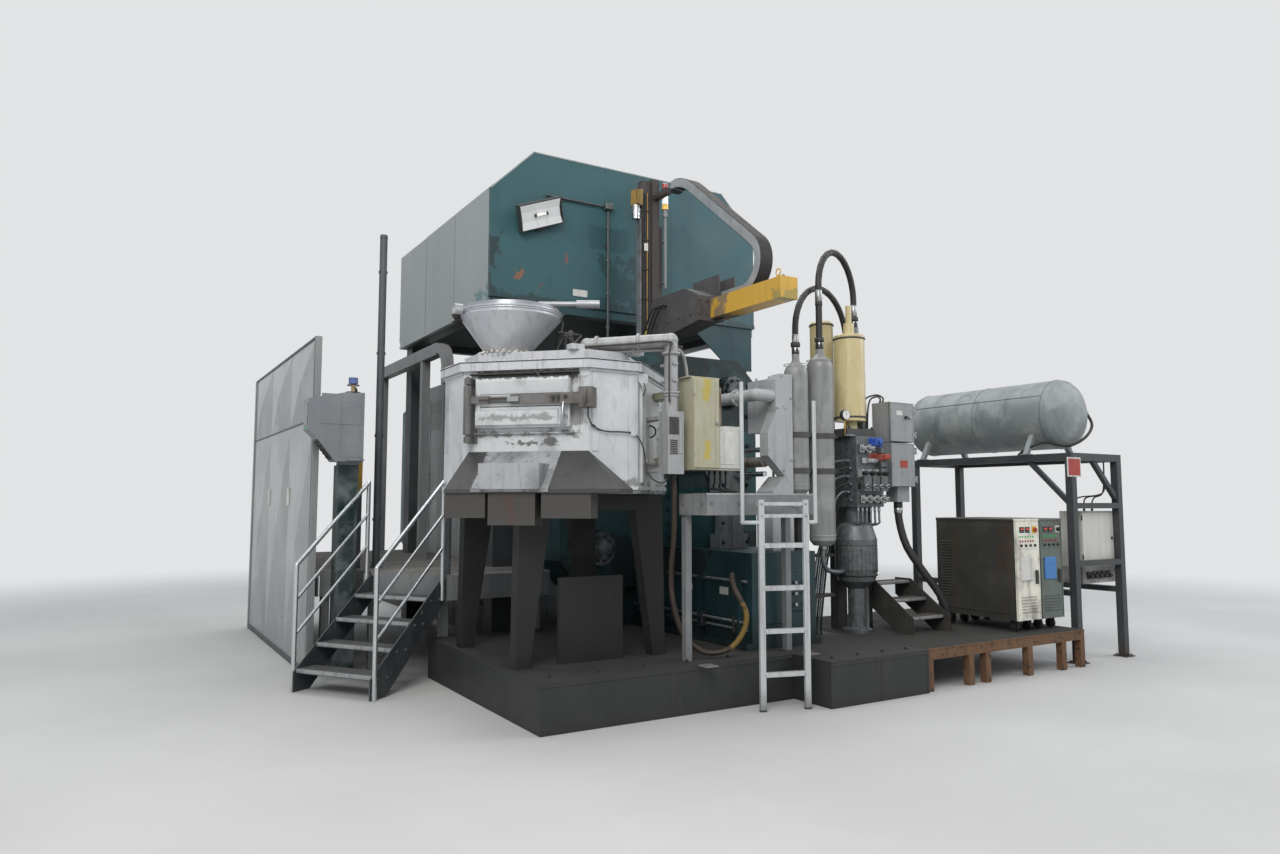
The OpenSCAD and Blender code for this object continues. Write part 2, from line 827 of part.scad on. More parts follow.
module valve_block() {
  at = valve_at;
  size = valve_size;
  pump = [cream_a[0] - 20, cream_a[1] - 60];
  belly_z = 900;
  color("#57585a") {
    block(at, size - [0, 0, seat]);
    for (i = [0 : 2])
      block([at[0] + 20 + i * 118, at[1] - seat - 90, at[2] + 160], [98, 90, 150]);
    translate([pump[0], pump[1], 0])
      rotate_extrude()
        polygon([
          [0, plinth_h], [150, plinth_h], [150, plinth_h + 30], [90, plinth_h + 60], [90, belly_z - 80],
          [190, belly_z], [215, belly_z + 120], [215, belly_z + 420], [170, belly_z + 560], [110, belly_z + 600],
          [110, at[2] - seat], [0, at[2] - seat]
        ]);
    for (i = [0 : 3])
      block([at[0] + size[0] - 90, at[1] - seat - 60, at[2] + 340 + i * 70], [90, 60, 52]);
  }
  color("#2f55a8")
    block([at[0] + size[0] - 180, at[1] - seat - 30, at[2] + size[2] - 100], [150, 30, 80]);
  color("#b5482f")
    block([at[0] + size[0] - 110, at[1] - seat - 100, at[2] + size[2] - 240], [100, 100, 60]);
}

// One switch box, open at the front, made of five sheets
module switch_box(z0, h) {
  t = box_sheet;
  at = [boxes_at[0], boxes_at[1], z0];
  inner = box_d - t - seat;
  translate(at) {
    block([0, box_d - t, 0], [box_w, t, h]);
    block([0, 0, 0], [t, inner, h]);
    block([box_w - t, 0, 0], [t, inner, h]);
    for (z = [0, h - t]) block([t + seat, 0, z], [box_w - 2 * t - 2 * seat, inner, t]);
    block([60, box_d - t - seat - 40, 60], [box_w - 120, 40, h - 120]);
  }
}

// The fixed lugs and pin of one box door's hinge, above and below its knuckle
module box_lugs(z) {
  lug_h = 14;
  play = 0.5;
  top = z + box_knuckle_h + play;
  reach = boxes_at[1] + 50 - box_hinge[1];
  x = boxes_at[0] + box_w + seat;
  for (low = [z - play - lug_h, top])
    translate([0, 0, low])
      linear_extrude(lug_h)
        polygon([
          [x, box_hinge[1] - 8], [box_hinge[0] + 10, box_hinge[1] - 8],
          [box_hinge[0] + 10, box_hinge[1] + reach], [x, box_hinge[1] + reach]
        ]);
  translate([box_hinge[0], box_hinge[1], z - play - lug_h])
    cylinder(d = box_pin_d, h = box_knuckle_h + 2 * play + 2 * lug_h);
}

module control_boxes() {
  arm_x = 1510;
  arm_t = 30;
  back = boxes_at[1] + box_d + seat;
  post = 46;
  color("#8f9292") {
    switch_box(upper_box_z, upper_box_h);
    switch_box(lower_box_z, lower_box_h);
    for (z = [upper_box_z + 60, upper_box_z + upper_box_h - 60 - box_knuckle_h]) box_lugs(z);
    for (z = [lower_box_z + 60, lower_box_z + lower_box_h - 60 - box_knuckle_h]) box_lugs(z);
    block([boxes_at[0] + 140, boxes_at[1] + 30, lower_box_z - 160], [180, 160, 160 - seat]);
  }
  color("#4b4c4a") {
    for (z = [upper_box_z + 90, lower_box_z + 200])
      block([arm_x, back, z], [boxes_at[0] + box_w - arm_x, arm_t, 60]);
    block([arm_x, back + arm_t + seat, plinth_h], [60, post, upper_box_z + upper_box_h - plinth_h]);
  }
}

// A box door with its knuckles, straps and quarter-turn latch
module box_door(z0, h) {
  margin = 5;
  y = box_hinge[1];
  color("#9a9d9d")
    difference() {
      union() {
        block([boxes_at[0] + margin, y, z0 + margin], [box_w - 3 * margin, box_door_t, h - 2 * margin]);
        for (z = [z0 + 60, z0 + h - 60 - box_knuckle_h]) {
          translate([box_hinge[0], y, z]) cylinder(d = box_knuckle_d, h = box_knuckle_h);
          block([box_hinge[0] - 42, y - 4, z], [42, 4, box_knuckle_h]);
        }
        translate([boxes_at[0] + 30, y + 1, z0 + h / 2]) rotate([90, 0, 0]) cylinder(d = 26, h = 10);
      }
      for (z = [z0 + 60, z0 + h - 60 - box_knuckle_h])
        translate([box_hinge[0], y, z - 1]) cylinder(d = box_pin_d + pin_play, h = box_knuckle_h + 2);
    }
}

module upper_box_door() {
  box_door(upper_box_z, upper_box_h);
}

module lower_box_door() {
  box_door(lower_box_z, lower_box_h);
}

module box_hose() {
  color("#232423") hose(smooth_route(box_route, 3), box_hose_d);
}

module service_platform() {
  x0 = -1210;
  w = 1190;
  d = 400;
  plate = 8;
  apron = 170;
  post = 60;
  under = service_top - plate - seat;
  color("#7b7d7b") {
    block([x0, service_front, service_top - plate], [w, d, plate]);
    for (y = [0, d - plate]) block([x0, service_front + y, under - apron], [w, plate, apron]);
    for (x = [0, w - plate])
      block([x0 + x, service_front + plate + seat, under - apron], [plate, d - 2 * plate - 2 * seat, apron]);
  }
  color("#4b4c4a")
    for (x = [x0 + 20, x0 + w - 20 - post])
      block([x, service_front + d - plate - seat - post, plinth_h], [post, post, under - plinth_h - seat]);
}

module ladder() {
  rail = [50, 30];
  rung_first = 270;
  rungs = 4;
  top_bars = [ladder_h - 150, ladder_h - 50];
  arm_z = ladder_h - 190;
  hand_out = 140;
  color("#c8cbcb") {
    translate([ladder_at[0], ladder_at[1], 0])
      rotate([0, 0, ladder_turn]) {
        for (x = [0, ladder_w - rail[0]]) block([x, 0, 0], [rail[0], rail[1], ladder_h]);
        for (i = [0 : rungs - 1])
          block([rail[0] + seat, 3, rung_first + i * rung_pitch], [ladder_w - 2 * rail[0] - 2 * seat, 24, 40]);
        for (z = top_bars) block([rail[0] + seat, 3, z], [ladder_w - 2 * rail[0] - 2 * seat, 24, 30]);
        for (side = [0, 1])
          translate([side == 0 ? -hand_out : ladder_w + hand_out / 2, rail[1] / 2, 0]) {
            translate([0, 0, arm_z]) cylinder(d = 34, h = (side == 0 ? 1170 : 1030));
            translate([0, 0, arm_z])
              rotate([0, side == 0 ? 90 : -90, 0])
                cylinder(d = 34, h = (side == 0 ? hand_out : hand_out / 2) - seat);
            translate([0, 0, arm_z]) sphere(d = 34);
          }
      }
    for (side = [0, 1])
      difference() {
        translate([ladder_at[0], ladder_at[1], 0])
          rotate([0, 0, ladder_turn])
            block([side * (ladder_w - rail[0]) + 10, rail[1] + seat, ladder_h - 60], [30, 400, 40]);
        block([-2000, service_front - seat, 0], [3000, 3000, 3000]);
      }
  }
}

module inner_steps() {
  x0 = 1580;
  w = 520;
  rise = 160;
  going = 220;
  steps = 3;
  y0 = -2700;
  t = 8;
  color("#565755") {
    for (i = [0 : steps - 1])
      block([x0, y0 + going * i, plinth_h + rise * (i + 1) - 30], [w, going - 20, 30]);
    for (x = [x0 - t - seat, x0 + w + seat])
      along_x(x, t)
        polygon([
          [y0 - 60, plinth_h], [y0 + 160, plinth_h], [y0 + going * steps, plinth_h + rise * 2],
          [y0 + going * steps, plinth_h + rise * steps + 20], [y0 + going * 2, plinth_h + rise * steps + 20],
          [y0 - 60, plinth_h + rise]
        ]);
  }
}

module hood_outline() {
  w = hood_half_w;
  polygon([
    [-w, hood_bottom], [w, hood_bottom], [w, hood_shoulder], [w - hood_slope_w, hood_top],
    [-w + hood_slope_w, hood_top], [-w, hood_shoulder]
  ]);
}

module hood_front() {
  lip = 50;
  color("#2f5a60") {
    along_y(hood_y, hood_sheet) hood_outline();
    block([-hood_half_w, hood_y - seat - 12, hood_bottom], [2 * hood_half_w, 12, lip]);
  }
}

module hood_walls() {
  l = hood_l - 2 * hood_sheet - 2 * seat;
  low = hood_bottom - hood_side_drop;
  color("#98a09d") {
    for (side = [-1, 1])
      block(
        [side * (hood_half_w - hood_sheet / 2) - hood_sheet / 2, hood_y + hood_sheet + seat, low],
        [hood_sheet, l, hood_shoulder - low - seat]
      );
    along_y(hood_y + hood_l - hood_sheet, hood_sheet) hood_outline();
  }
}

module hood_roof() {
  l = hood_l - 2 * hood_sheet - 2 * seat;
  w = hood_half_w;
  t = hood_sheet;
  fold = w - hood_slope_w;
  color("#7f8986")
    translate([0, hood_y + hood_sheet + seat, 0]) {
      along_y(0, l)
        polygon([[-fold, hood_top], [fold, hood_top], [fold - t / 2, hood_top - t], [-fold + t / 2, hood_top - t]]);
      for (side = [-1, 1])
        along_y(0, l)
          polygon([
            [side * w, hood_shoulder], [side * (fold + seat), hood_top - seat],
            [side * (fold - t / 2 + seat), hood_top - t - seat], [side * (w - t), hood_shoulder]
          ]);
    }
}

module hood_apron() {
  w = hood_half_w - hood_sheet;
  top = hood_bottom - seat;
  strip = 100;
  inner = 900;
  color("#33403f") {
    for (side = [-1, 1])
      along_y(hood_y + 10, 20)
        polygon([
          [side * w, top], [side * (inner + seat), top], [side * (inner + seat), top - strip],
          [side * (w - 340), top - apron_h], [side * w, top - apron_h]
        ]);
    block([-inner, hood_y + 10, top - strip], [2 * inner, 20, strip]);
  }
}

module hood_posts() {
  beam_w = 180;
  x_in = hood_half_w - hood_sheet - seat - beam_w;
  front = hood_y + hood_sheet + seat;
  back = hood_y + hood_l - hood_sheet - seat;
  low = hood_bottom - hood_side_drop;
  post_x = 1510;
  color("#5d6462") {
    for (side = [-1, 1]) {
      block([side * (x_in + beam_w / 2) - beam_w / 2, front, low], [beam_w, back - front, hood_side_drop]);
      for (y = [front, back - hood_post])
        block([side * (post_x + hood_post / 2) - hood_post / 2, y, 0], [hood_post, hood_post, low - seat]);
    }
    for (y = [front, back - 120])
      block([-x_in + seat, y, low + seat], [2 * x_in - 2 * seat, 120, hood_side_drop - 2 * seat]);
  }
}

module hood_lamp() {
  conduit_x = -370;
  conduit_y = hood_y - 12 - 2 * seat - 15;
  arm_z = hood_shoulder + 16;
  lamp_at = [-1299, hood_y - 140, arm_z - 276];
  color("#b5b7b2")
    translate(lamp_at)
      rotate([25, -21, 0]) {
        translate([-275, 0, -150]) cube([550, 60, 300]);
        translate([-240, 60, -110]) cube([480, 30, 220]);
      }
  color("#8f9693") {
    bar([lamp_at[0] + 60, hood_y - 60, lamp_at[2] + 20], [lamp_at[0] + 60, hood_y - seat, lamp_at[2] + 20], 60);
    bar([conduit_x, conduit_y, hood_bottom - 359], [conduit_x, conduit_y, arm_z], 30);
    bar([-1180, conduit_y, arm_z], [conduit_x - 15 - seat, conduit_y, arm_z], 26);
    block([-400, conduit_y + 15 + seat, 4700], [60, hood_y - conduit_y - 15 - 2 * seat, 60]);
    block([-1000, conduit_y + 13 + seat, arm_z - 30], [60, hood_y - conduit_y - 13 - 2 * seat, 60]);
  }
}

module spray_carriage() {
  left = -200;
  body_l = carriage_reach - platen_t + 40;
  top = platen_top + 585;
  trough_w = 210;
  trough_l = 480;
  wall = 10;
  x0 = carriage_right + seat;
  floor_z = beam_top - wall;
  color("#5c4f49") {
    block([-250, -platen_t, platen_top], [500, platen_t - 40, 120]);
    along_x(left, carriage_right - left)
      polygon([
        [-carriage_reach, top - 380], [-carriage_reach, top - 120], [-carriage_reach + 260, top],
        [-platen_t - 60, top], [body_l - carriage_reach, top - 260], [body_l - carriage_reach, platen_top + 121],
        [-platen_t, platen_top + 121], [-platen_t - 200, top - 482]
      ]);
    block([x0, -carriage_reach, floor_z], [trough_w, trough_l, wall]);
    for (x = [x0, x0 + trough_w - wall])
      block([x, -carriage_reach, beam_top + seat], [wall, trough_l, 275]);
    block([x0 + wall + seat, -carriage_reach + trough_l - wall, beam_top + seat],
          [trough_w - 2 * wall - 2 * seat, wall, 275]);
    block([x0, -carriage_reach + 60, floor_z - seat - 190], [120, 300, 190]);
    block([x0, -carriage_reach + trough_l + seat, floor_z - 100], [80, 180, 240]);
  }
}

module spray_beam() {
  end_plate = 12;
  l = spray_reach - carriage_reach - seat;
  color("#cfa03a") {
    block([spray_x, -spray_reach + end_plate + seat, spray_z], [spray_beam_w, l - end_plate - seat, spray_beam_h]);
    block([spray_x - 4, -spray_reach, spray_z - 4], [spray_beam_w + 8, end_plate, spray_beam_h + 8]);
  }
  color("#6b6c6a") {
    translate([spray_x + 30, -spray_reach + 60, beam_top + seat]) cylinder(d = 36, h = 14);
    eye([spray_x + 30, -spray_reach + 60, beam_top + 50], 32, 12);
  }
}

module spray_mast() {
  foot = platen_top + 120 + seat;
  front = mast_y - 70;
  arm_y = chain_top_point()[0];
  arm_z = chain_top_point()[1] - chain_h / 2 - seat;
  color("#6f5c44")
    block([-126, mast_y - 50, foot], [125, 100, mast_top - 30 - foot]);
  color("#4d423b")
    block([0, front, foot], [98, 140, mast_top - foot]);
  color("#7d7f7d") {
    block([-150, mast_y - 40, foot], [20, 80, mast_top - 380 - foot]);
    block([98 + seat, mast_y - 60, foot], [46, 60, mast_top - 560 - foot]);
    block([10, arm_y, arm_z - 20], [chain_x + chain_w / 2 - 10, 90, 20]);
    block([10, arm_y, arm_z - 70], [78, front - seat - arm_y, 50]);
  }
  color("#c0c2c2") {
    translate([-181, mast_y, 5002]) cylinder(d = 100, h = 162);
    block([-150, mast_y - 25, 5040], [24 - seat, 50, 90]);
  }
  color("#a88a3a")
    block([-215, mast_y - 60, 5164 + seat], [88, 120, 190]);
}

// The chain's path from the trough: a low run, a bend, a sloping run and a flatter end, as [y, z]
function chain_path(s) =
  let (
    sweep = 180 - chain_rise,
    bend_l = chain_r * sweep * PI / 180,
    over_l = chain_top_r * (chain_rise - chain_end_rise) * PI / 180,
    a = chain_low_run,
    b = a + bend_l,
    c = b + chain_high_run,
    d = c + over_l,
    turn = (s - a) / chain_r * 180 / PI,
    bend_end = [chain_y - a - chain_r * sin(sweep), chain_z + chain_r * (1 - cos(sweep))],
    high_end = bend_end + chain_high_run * [cos(chain_rise), sin(chain_rise)],
    h = chain_rise - (s - c) / chain_top_r * 180 / PI,
    over_end = high_end + chain_top_r * [
      sin(chain_rise) - sin(chain_end_rise), cos(chain_end_rise) - cos(chain_rise)
    ]
  )
  s < a ? [chain_y - s, chain_z]
  : s < b ? [chain_y - a - chain_r * sin(turn), chain_z + chain_r * (1 - cos(turn))]
  : s < c ? bend_end + (s - b) * [cos(chain_rise), sin(chain_rise)]
  : s < d ? high_end + chain_top_r * [sin(chain_rise) - sin(h), cos(h) - cos(chain_rise)]
  : over_end + (s - d) * [cos(chain_end_rise), sin(chain_end_rise)];

function chain_links() =
  floor((
    chain_low_run + chain_r * (180 - chain_rise) * PI / 180 + chain_high_run
    + chain_top_r * (chain_rise - chain_end_rise) * PI / 180 + 110
  ) / chain_pitch);
function chain_top_point() = chain_path(chain_links() * chain_pitch);

// One chain link from pin to pin: two side plates, two cross bars and, on the outer links, the pins
module chain_link(length, outer) {
  inset = outer ? 0 : chain_plate + seat;
  pin_d = 24;
  bar_w = 20;
  bar_t = 10;
  half = chain_w / 2 - inset;
  difference() {
    for (side = [-1, 1])
      translate([side * (half - chain_plate / 2) - chain_plate / 2, 0, 0])
        rotate([90, 0, 90])
          linear_extrude(chain_plate)
            union() {
              circle(d = chain_h);
              translate([length, 0]) circle(d = chain_h);
              translate([0, -chain_h / 2]) square([length, chain_h]);
            }
    if (!outer)
      for (y = [0, length])
        translate([-chain_w, y, 0]) rotate([0, 90, 0]) cylinder(d = pin_d + 2 * seat, h = 2 * chain_w);
  }
  for (z = [-chain_h / 2, chain_h / 2 - bar_t])
    translate([-half + 1, length / 2 - bar_w / 2, z]) cube([2 * half - 2, bar_w, bar_t]);
  if (outer)
    for (side = [-1, 1], y = [0, length])
      translate([side * (half - 1.5 * chain_plate) - chain_plate, y, 0])
        rotate([0, 90, 0]) cylinder(d = pin_d, h = 2 * chain_plate);
}

module energy_chain() {
  color("#6d6f70")
    for (i = [0 : chain_links() - 1]) {
      from = chain_path(i * chain_pitch);
      to = chain_path((i + 1) * chain_pitch);
      translate([chain_x, from[0], from[1]])
        rotate([atan2(to[1] - from[1], to[0] - from[0]), 0, 0])
          chain_link(norm(to - from), i % 2 == 0);
    }
}

module stack_light() {
  pole_d = 30;
  at = [98 + 46 + 2 * seat + 20, mast_y - 95];
  top = 5456;
  lenses = ["#f1c232", "#f4f4f4", "#f4f4f4", "#3a6fe0", "#c33a32"];
  low = top - len(lenses) * lens_h;
  color("#8b8d8c") {
    translate([at[0], at[1], 4200]) cylinder(d = pole_d, h = low - 90 - 4200);
    translate([at[0], at[1], low - 90 + seat]) cylinder(d = lens_d * 0.8, h = 90 - 2 * seat);
    for (z = [4260, 4760]) block([at[0] - 20, at[1] + pole_d / 2 + seat, z], [40, 60, 30]);
  }
  for (i = [0 : len(lenses) - 1])
    color(lenses[i]) translate([at[0], at[1], low + i * lens_h]) cylinder(d = lens_d, h = lens_h - seat);
}

module furnace_shell() {
  strip = 10;
  strip_x = furnace_half - furnace_cut - 60;
  strip_y = -furnace_before - furnace_half - seat - strip;
  mouth = 40;
  color("#c8cbd0") {
    difference() {
      translate([furnace_at[0], furnace_at[1], furnace_bottom])
        linear_extrude(furnace_top - furnace_bottom) furnace_plan();
      at_door_side()
        block([-door_w / 2 + mouth, -1, door_z + mouth], [door_w - 2 * mouth, 260, door_h - 2 * mouth]);
    }
    for (side = [-1, 1])
      let (low = side < 0 ? apron_top + seat : furnace_bottom + 40)
        block([side * strip_x - furnace_left - 30, strip_y, low], [60, strip, furnace_top - 40 - low]);
  }
}

module furnace_top_plate() {
  color("#b4b4b0") {
    translate([furnace_at[0], furnace_at[1], furnace_top])
      linear_extrude(rim_t - seat) furnace_plan(40);
    translate([furnace_at[0], furnace_at[1], furnace_top + rim_t])
      linear_extrude(lid_t) furnace_plan(-150);
    for (x = [-2140, -1560])
      block([x, -furnace_before - furnace_half + 190, lid_top + seat], [120, 90, 45]);
    block([-1780, -furnace_before - 380, lid_top + seat], [260, 420, 70]);
  }
}

module furnace_apron() {
  out = 330;
  right = 350;
  box_z = furnace_bottom + 30;
  color("#6c6d6b") {
    difference() {
      at_door_side()
        hull() {
          block([-facet_half + 60, -10, apron_top - 10], [2 * facet_half - 60, 20, 10]);
          block([-facet_half, -out, furnace_bottom], [2 * facet_half + right, out + 70, 30]);
        }
      translate([furnace_at[0], furnace_at[1], 0]) linear_extrude(3000) furnace_plan(seat);
      at_door_side() block([-241, -out - 60, box_z], [502, out + 30, 201]);
    }
    at_door_side() block([-240, -out - 40, box_z + seat], [500, out + 10, 200]);
    for (x = [[-facet_half, 360], [-180, 410], [260, 420]])
      at_door_side()
        block([x[0], -out + 20, furnace_bottom - (x[1] == 410 ? 250 : 195)],
              [x[1] - 20, 180, (x[1] == 410 ? 250 : 195) - seat]);
  }
}

module furnace_stand() {
  leg_in = 620;
  color("#2f3130")
    translate(furnace_at) {
      for (sx = [-1, 1], sy = [-1, 1])
        translate([0, sy * leg_in + 60, 0])
          rotate([90, 0, 0])
            linear_extrude(120)
              polygon([
                [sx * (leg_in + 80), plinth_h], [sx * (leg_in - 40), plinth_h],
                [sx * (leg_in - 220), furnace_bottom - 140 - seat], [sx * (leg_in + 60), furnace_bottom - 140 - seat]
              ]);
      for (sy = [-1, 1])
        block([-leg_in - 60, sy * leg_in - 60, furnace_bottom - 140], [2 * leg_in + 120, 120, 140]);
      for (sx = [-1, 1])
        block([sx * 300 - 50, -leg_in + 60 + seat, furnace_bottom - 120], [100, 2 * leg_in - 120 - 2 * seat, 120]);
      block([-300, -leg_in - 20, plinth_h], [600, 40, 700]);
    }
}

module door_hinge_bracket() {
  lug_h = 52;
  plate_w = 90;
  x = door_hinge[0];
  y = door_hinge[1];
  top = lug_top_z + lug_h;
  color("#9a9c9d")
    at_door_side() {
      for (z = [lug_low_z, lug_top_z])
        difference() {
          translate([0, 0, z])
            linear_extrude(lug_h)
              union() {
                translate([x, y]) circle(d = door_sleeve_d - 10);
                translate([x - 25, y]) square([50, -y - seat]);
              }
          translate([x, y, z - 1]) cylinder(d = door_pin_d + pin_play, h = lug_h + 2);
        }
      difference() {
        block([x - plate_w + 50, -10, lug_low_z], [plate_w, 10 - seat, top - lug_low_z]);
        for (z = [lug_low_z - 1, lug_top_z - seat])
          block([x - 25 - seat, -11, z], [50 + 2 * seat, 12, lug_h + 1 + seat]);
      }
      translate([x, y, lug_low_z]) cylinder(d = door_pin_d, h = top - lug_low_z + 12);
    }
}

module furnace_door() {
  y = -door_gap - door_t;
  raised = 20;
  low_h = door_h * 0.36;
  color("#cfd2d5")
    at_door_side() {
      block([-door_w / 2, y, door_z], [door_w, door_t, door_h]);
      along_x(-door_w / 2 + 6, door_w - 12)
        polygon([
          [y, door_z + door_h], [y, door_z + door_h - 140], [y - 8, door_z + door_h - 136],
          [y - raised, door_z + door_h - 30], [y - raised + 4, door_z + door_h - 4]
        ]);
      along_x(-door_w / 2 + 6, door_w - 100)
        polygon([
          [y, door_z + 4], [y - raised, door_z + 20], [y - raised, door_z + low_h - 14], [y, door_z + low_h]
        ]);
    }
}

module door_bar() {
  bar_z = door_z + 196;
  bar_h = 60;
  y = -door_gap - door_t - seat;
  bar_t = 40;
  sleeve_low = lug_low_z + 66;
  sleeve_top = lug_top_z - 10;
  handle = [500, 112, 161];
  color("#8d8f90")
    at_door_side() {
      difference() {
        union() {
          translate([door_hinge[0], door_hinge[1], sleeve_low]) cylinder(d = door_sleeve_d, h = sleeve_top - sleeve_low);
          block([door_hinge[0] + 20, y - bar_t, bar_z], [170, bar_t, bar_h]);
        }
        translate([door_hinge[0], door_hinge[1], sleeve_low - 1])
          cylinder(d = door_pin_d + pin_play, h = sleeve_top - sleeve_low + 2);
      }
      block([-90, y - bar_t + 8, bar_z - 10], [430, bar_t - 8, bar_h + 20]);
      for (z = [bar_z + 14, bar_z + bar_h - 14])
        bar([door_hinge[0] + 190 + seat, y - 20, z], [-90 - seat, y - 20, z], 20);
      block([340 + seat, y - bar_t - 20, bar_z - 20], [handle[0] - 340 - 2 * seat, bar_t + 20, bar_h + 30]);
      block([handle[0], -130, bar_z - 49], [handle[1], 124, handle[2]]);
    }
}

module hopper() {
  foot_d = 350;
  foot_h = 40;
  rim_h = 50;
  shift = [57, 57];
  z0 = lid_top + seat;
  rim_z = z0 + hopper_h;
  rim_at = hopper_at + shift;
  color("#b9bcc2") {
    hull() {
      translate([hopper_at[0], hopper_at[1], z0]) cylinder(d = foot_d, h = foot_h);
      translate([rim_at[0], rim_at[1], rim_z - 40]) cylinder(d = hopper_d, h = 40 - seat);
    }
    translate([rim_at[0], rim_at[1], rim_z])
      rotate_extrude()
        polygon([
          [0, 0], [hopper_d / 2 + 12, 0], [hopper_d / 2 + 12, 14], [hopper_d / 2 - 6, 16],
          [hopper_d / 2 - 16, rim_h], [hopper_d / 2 - 60, rim_h + 12], [0, rim_h + 22]
        ]);
  }
  color("#2b2c2b")
    translate([rim_at[0] - hopper_d / 2 - 12 - seat, rim_at[1], rim_z + 6]) rotate([0, -90, 0]) cylinder(d = 90, h = 70);
  color("#a9acaf") {
    translate([rim_at[0] + 150, rim_at[1] - 250, rim_z + rim_h + 24])
      rotate([0, 90, -30]) cylinder(d = 44, h = 330);
    translate([rim_at[0] + 436, rim_at[1] - 415, rim_z + rim_h + 24])
      rotate([0, 90, -30]) translate([0, 0, seat]) cylinder(d = 70, h = 200);
    block([rim_at[0] + 150, rim_at[1] - 262, rim_z + rim_h - 12], [50, 50, 20]);
  }
}

module burner_pipe() {
  d = burner_pipe_d;
  z1 = lid_top + 75;
  z2 = lid_top + 95;
  motor = [160, 140, 520];
  at = burner_down;
  a = [burner_up[0], burner_up[1], z1];
  b = [at[0], at[1], z2];
  bracket_x = at[0] - motor[0] / 2;
  color("#9c9b97") {
    bar([burner_up[0], burner_up[1], lid_top + seat], a, d);
    translate(a) sphere(d = d + 8);
    bar(a, b, d);
    translate(b) sphere(d = d + 8);
    bar([at[0], at[1], burner_low_z + seat], b, d);
    translate([at[0], at[1], burner_low_z + 130]) cylinder(d = d + 24, h = 40);
    block([bracket_x, at[1] - motor[1] / 2, burner_low_z - motor[2]], motor);
    for (z = [burner_low_z - 60, burner_low_z - motor[2] + 20])
      translate([0, 0, z])
        linear_extrude(30)
          polygon([
            [bracket_x, at[1] + motor[1] / 2 + seat], [bracket_x + 100, at[1] + motor[1] / 2 + seat],
            [bracket_x + 100, right_facet_y(bracket_x + 100) - 2 * seat],
            [bracket_x, right_facet_y(bracket_x) - 2 * seat]
          ]);
  }
}

module loop_hose() {
  color("#5b4a3a") hose(smooth_route(loop_route, 3), loop_d);
}

module furnace_cabinets() {
  w = 270;
  d = 330;
  side_w = 280;
  z = furnace_bottom + 200;
  color("#b9b38f") {
    block([cabinet_x, cabinet_y - d, z], [w, d, 780]);
    block([cabinet_x + w + seat, cabinet_y - d + 40, z], [side_w, d - 80, 380]);
    block([cabinet_x + w + seat, cabinet_y - d + 60, z + 380 + seat], [70, d - 160, 330]);
    for (z1 = [z + 60, z + 640])
      translate([0, 0, z1])
        linear_extrude(60)
          polygon([
            [cabinet_x, cabinet_y + seat], [cabinet_x + 140, cabinet_y + seat],
            [cabinet_x + 140, right_facet_y(cabinet_x + 140) - 2 * seat],
            [cabinet_x, right_facet_y(cabinet_x) - 2 * seat]
          ]);
  }
}

module vessel() {
  r = vessel_d / 2;
  dish = 190;
  legs_y = [340, vessel_l - 420];
  color("#7f878a") {
    translate(vessel_at)
      rotate([-90, 0, 0])
        rotate_extrude()
          polygon(concat(
            [[0, 0]],
            [for (a = [15 : 15 : 90]) [r * sin(a), dish * (1 - cos(a))]],
            [for (a = [90 : -15 : 15]) [r * sin(a), vessel_l - dish * (1 - cos(a))]],
            [[0, vessel_l]]
          ));
    for (y = legs_y, side = [-1, 1])
      along_y(vessel_at[1] + y, 60)
        difference() {
          translate([vessel_at[0], 0])
            polygon([
              [side * (frame_w / 2 - 30), frame_top + 12 + seat], [side * (frame_w / 2 + 20), frame_top + 12 + seat],
              [side * 300, vessel_at[2] - 200], [side * 230, vessel_at[2] - 200]
            ]);
          translate([vessel_at[0], vessel_at[2]]) circle(d = vessel_d + 2 * seat);
        }
    for (y = legs_y, side = [-1, 1])
      block(
        [vessel_at[0] + side * frame_w / 2 - 50, vessel_at[1] + y - 20, frame_top + seat],
        [100, 100, 12 - seat]
      );
  }
}

module vessel_frame() {
  t = frame_tube;
  top = frame_top - t;
  brace = 50;
  color("#4a4c4d") {
    for (x = [0, frame_w], y = [0, frame_l]) {
      block([frame_x + x - t / 2, frame_y + y - t / 2, 10 + seat], [t, t, top - 10 - 2 * seat]);
      block([frame_x + x - t, frame_y + y - t, 0], [2 * t, 2 * t, 10]);
    }
    for (x = [0, frame_w])
      block([frame_x + x - t / 2, frame_y - t / 2, top], [t, frame_l + t, t]);
    for (y = [0, frame_l])
      block([frame_x + t / 2 + seat, frame_y + y - t / 2, top], [frame_w - t - 2 * seat, t, t]);
    for (z = [frame_top - 600, 1010])
      block([frame_x + t / 2 + seat, frame_y - t / 2, z], [frame_w - t - 2 * seat, t, 60]);
    for (x = [0, frame_w])
      block([frame_x + x - t / 2, frame_y + t / 2 + seat, 700], [t, frame_l - t - 2 * seat, 60]);
    along_x(frame_x - brace / 2, brace)
      polygon([
        [frame_y + t / 2 + seat, top - 480], [frame_y + t / 2 + seat, top - 410],
        [frame_y + t / 2 + 410, top - seat], [frame_y + t / 2 + 480, top - seat]
      ]);
    along_y(frame_y - brace / 2, brace)
      polygon([
        [frame_x + frame_w - t / 2 - seat, top - 440], [frame_x + frame_w - t / 2 - seat, top - 370],
        [frame_x + frame_w - t / 2 - 370, top - seat], [frame_x + frame_w - t / 2 - 440, top - seat]
      ]);
  }
}

module frame_cabinet() {
  w = 600;
  d = 250;
  x0 = frame_x + frame_w - frame_tube / 2 - seat - w;
  y0 = frame_y + frame_tube / 2 + seat;
  color("#b7b5a6") {
    block([x0, y0, 815], [w, d, 180]);
    block([x0, y0, 995 + seat], [w, d, 605]);
  }
}

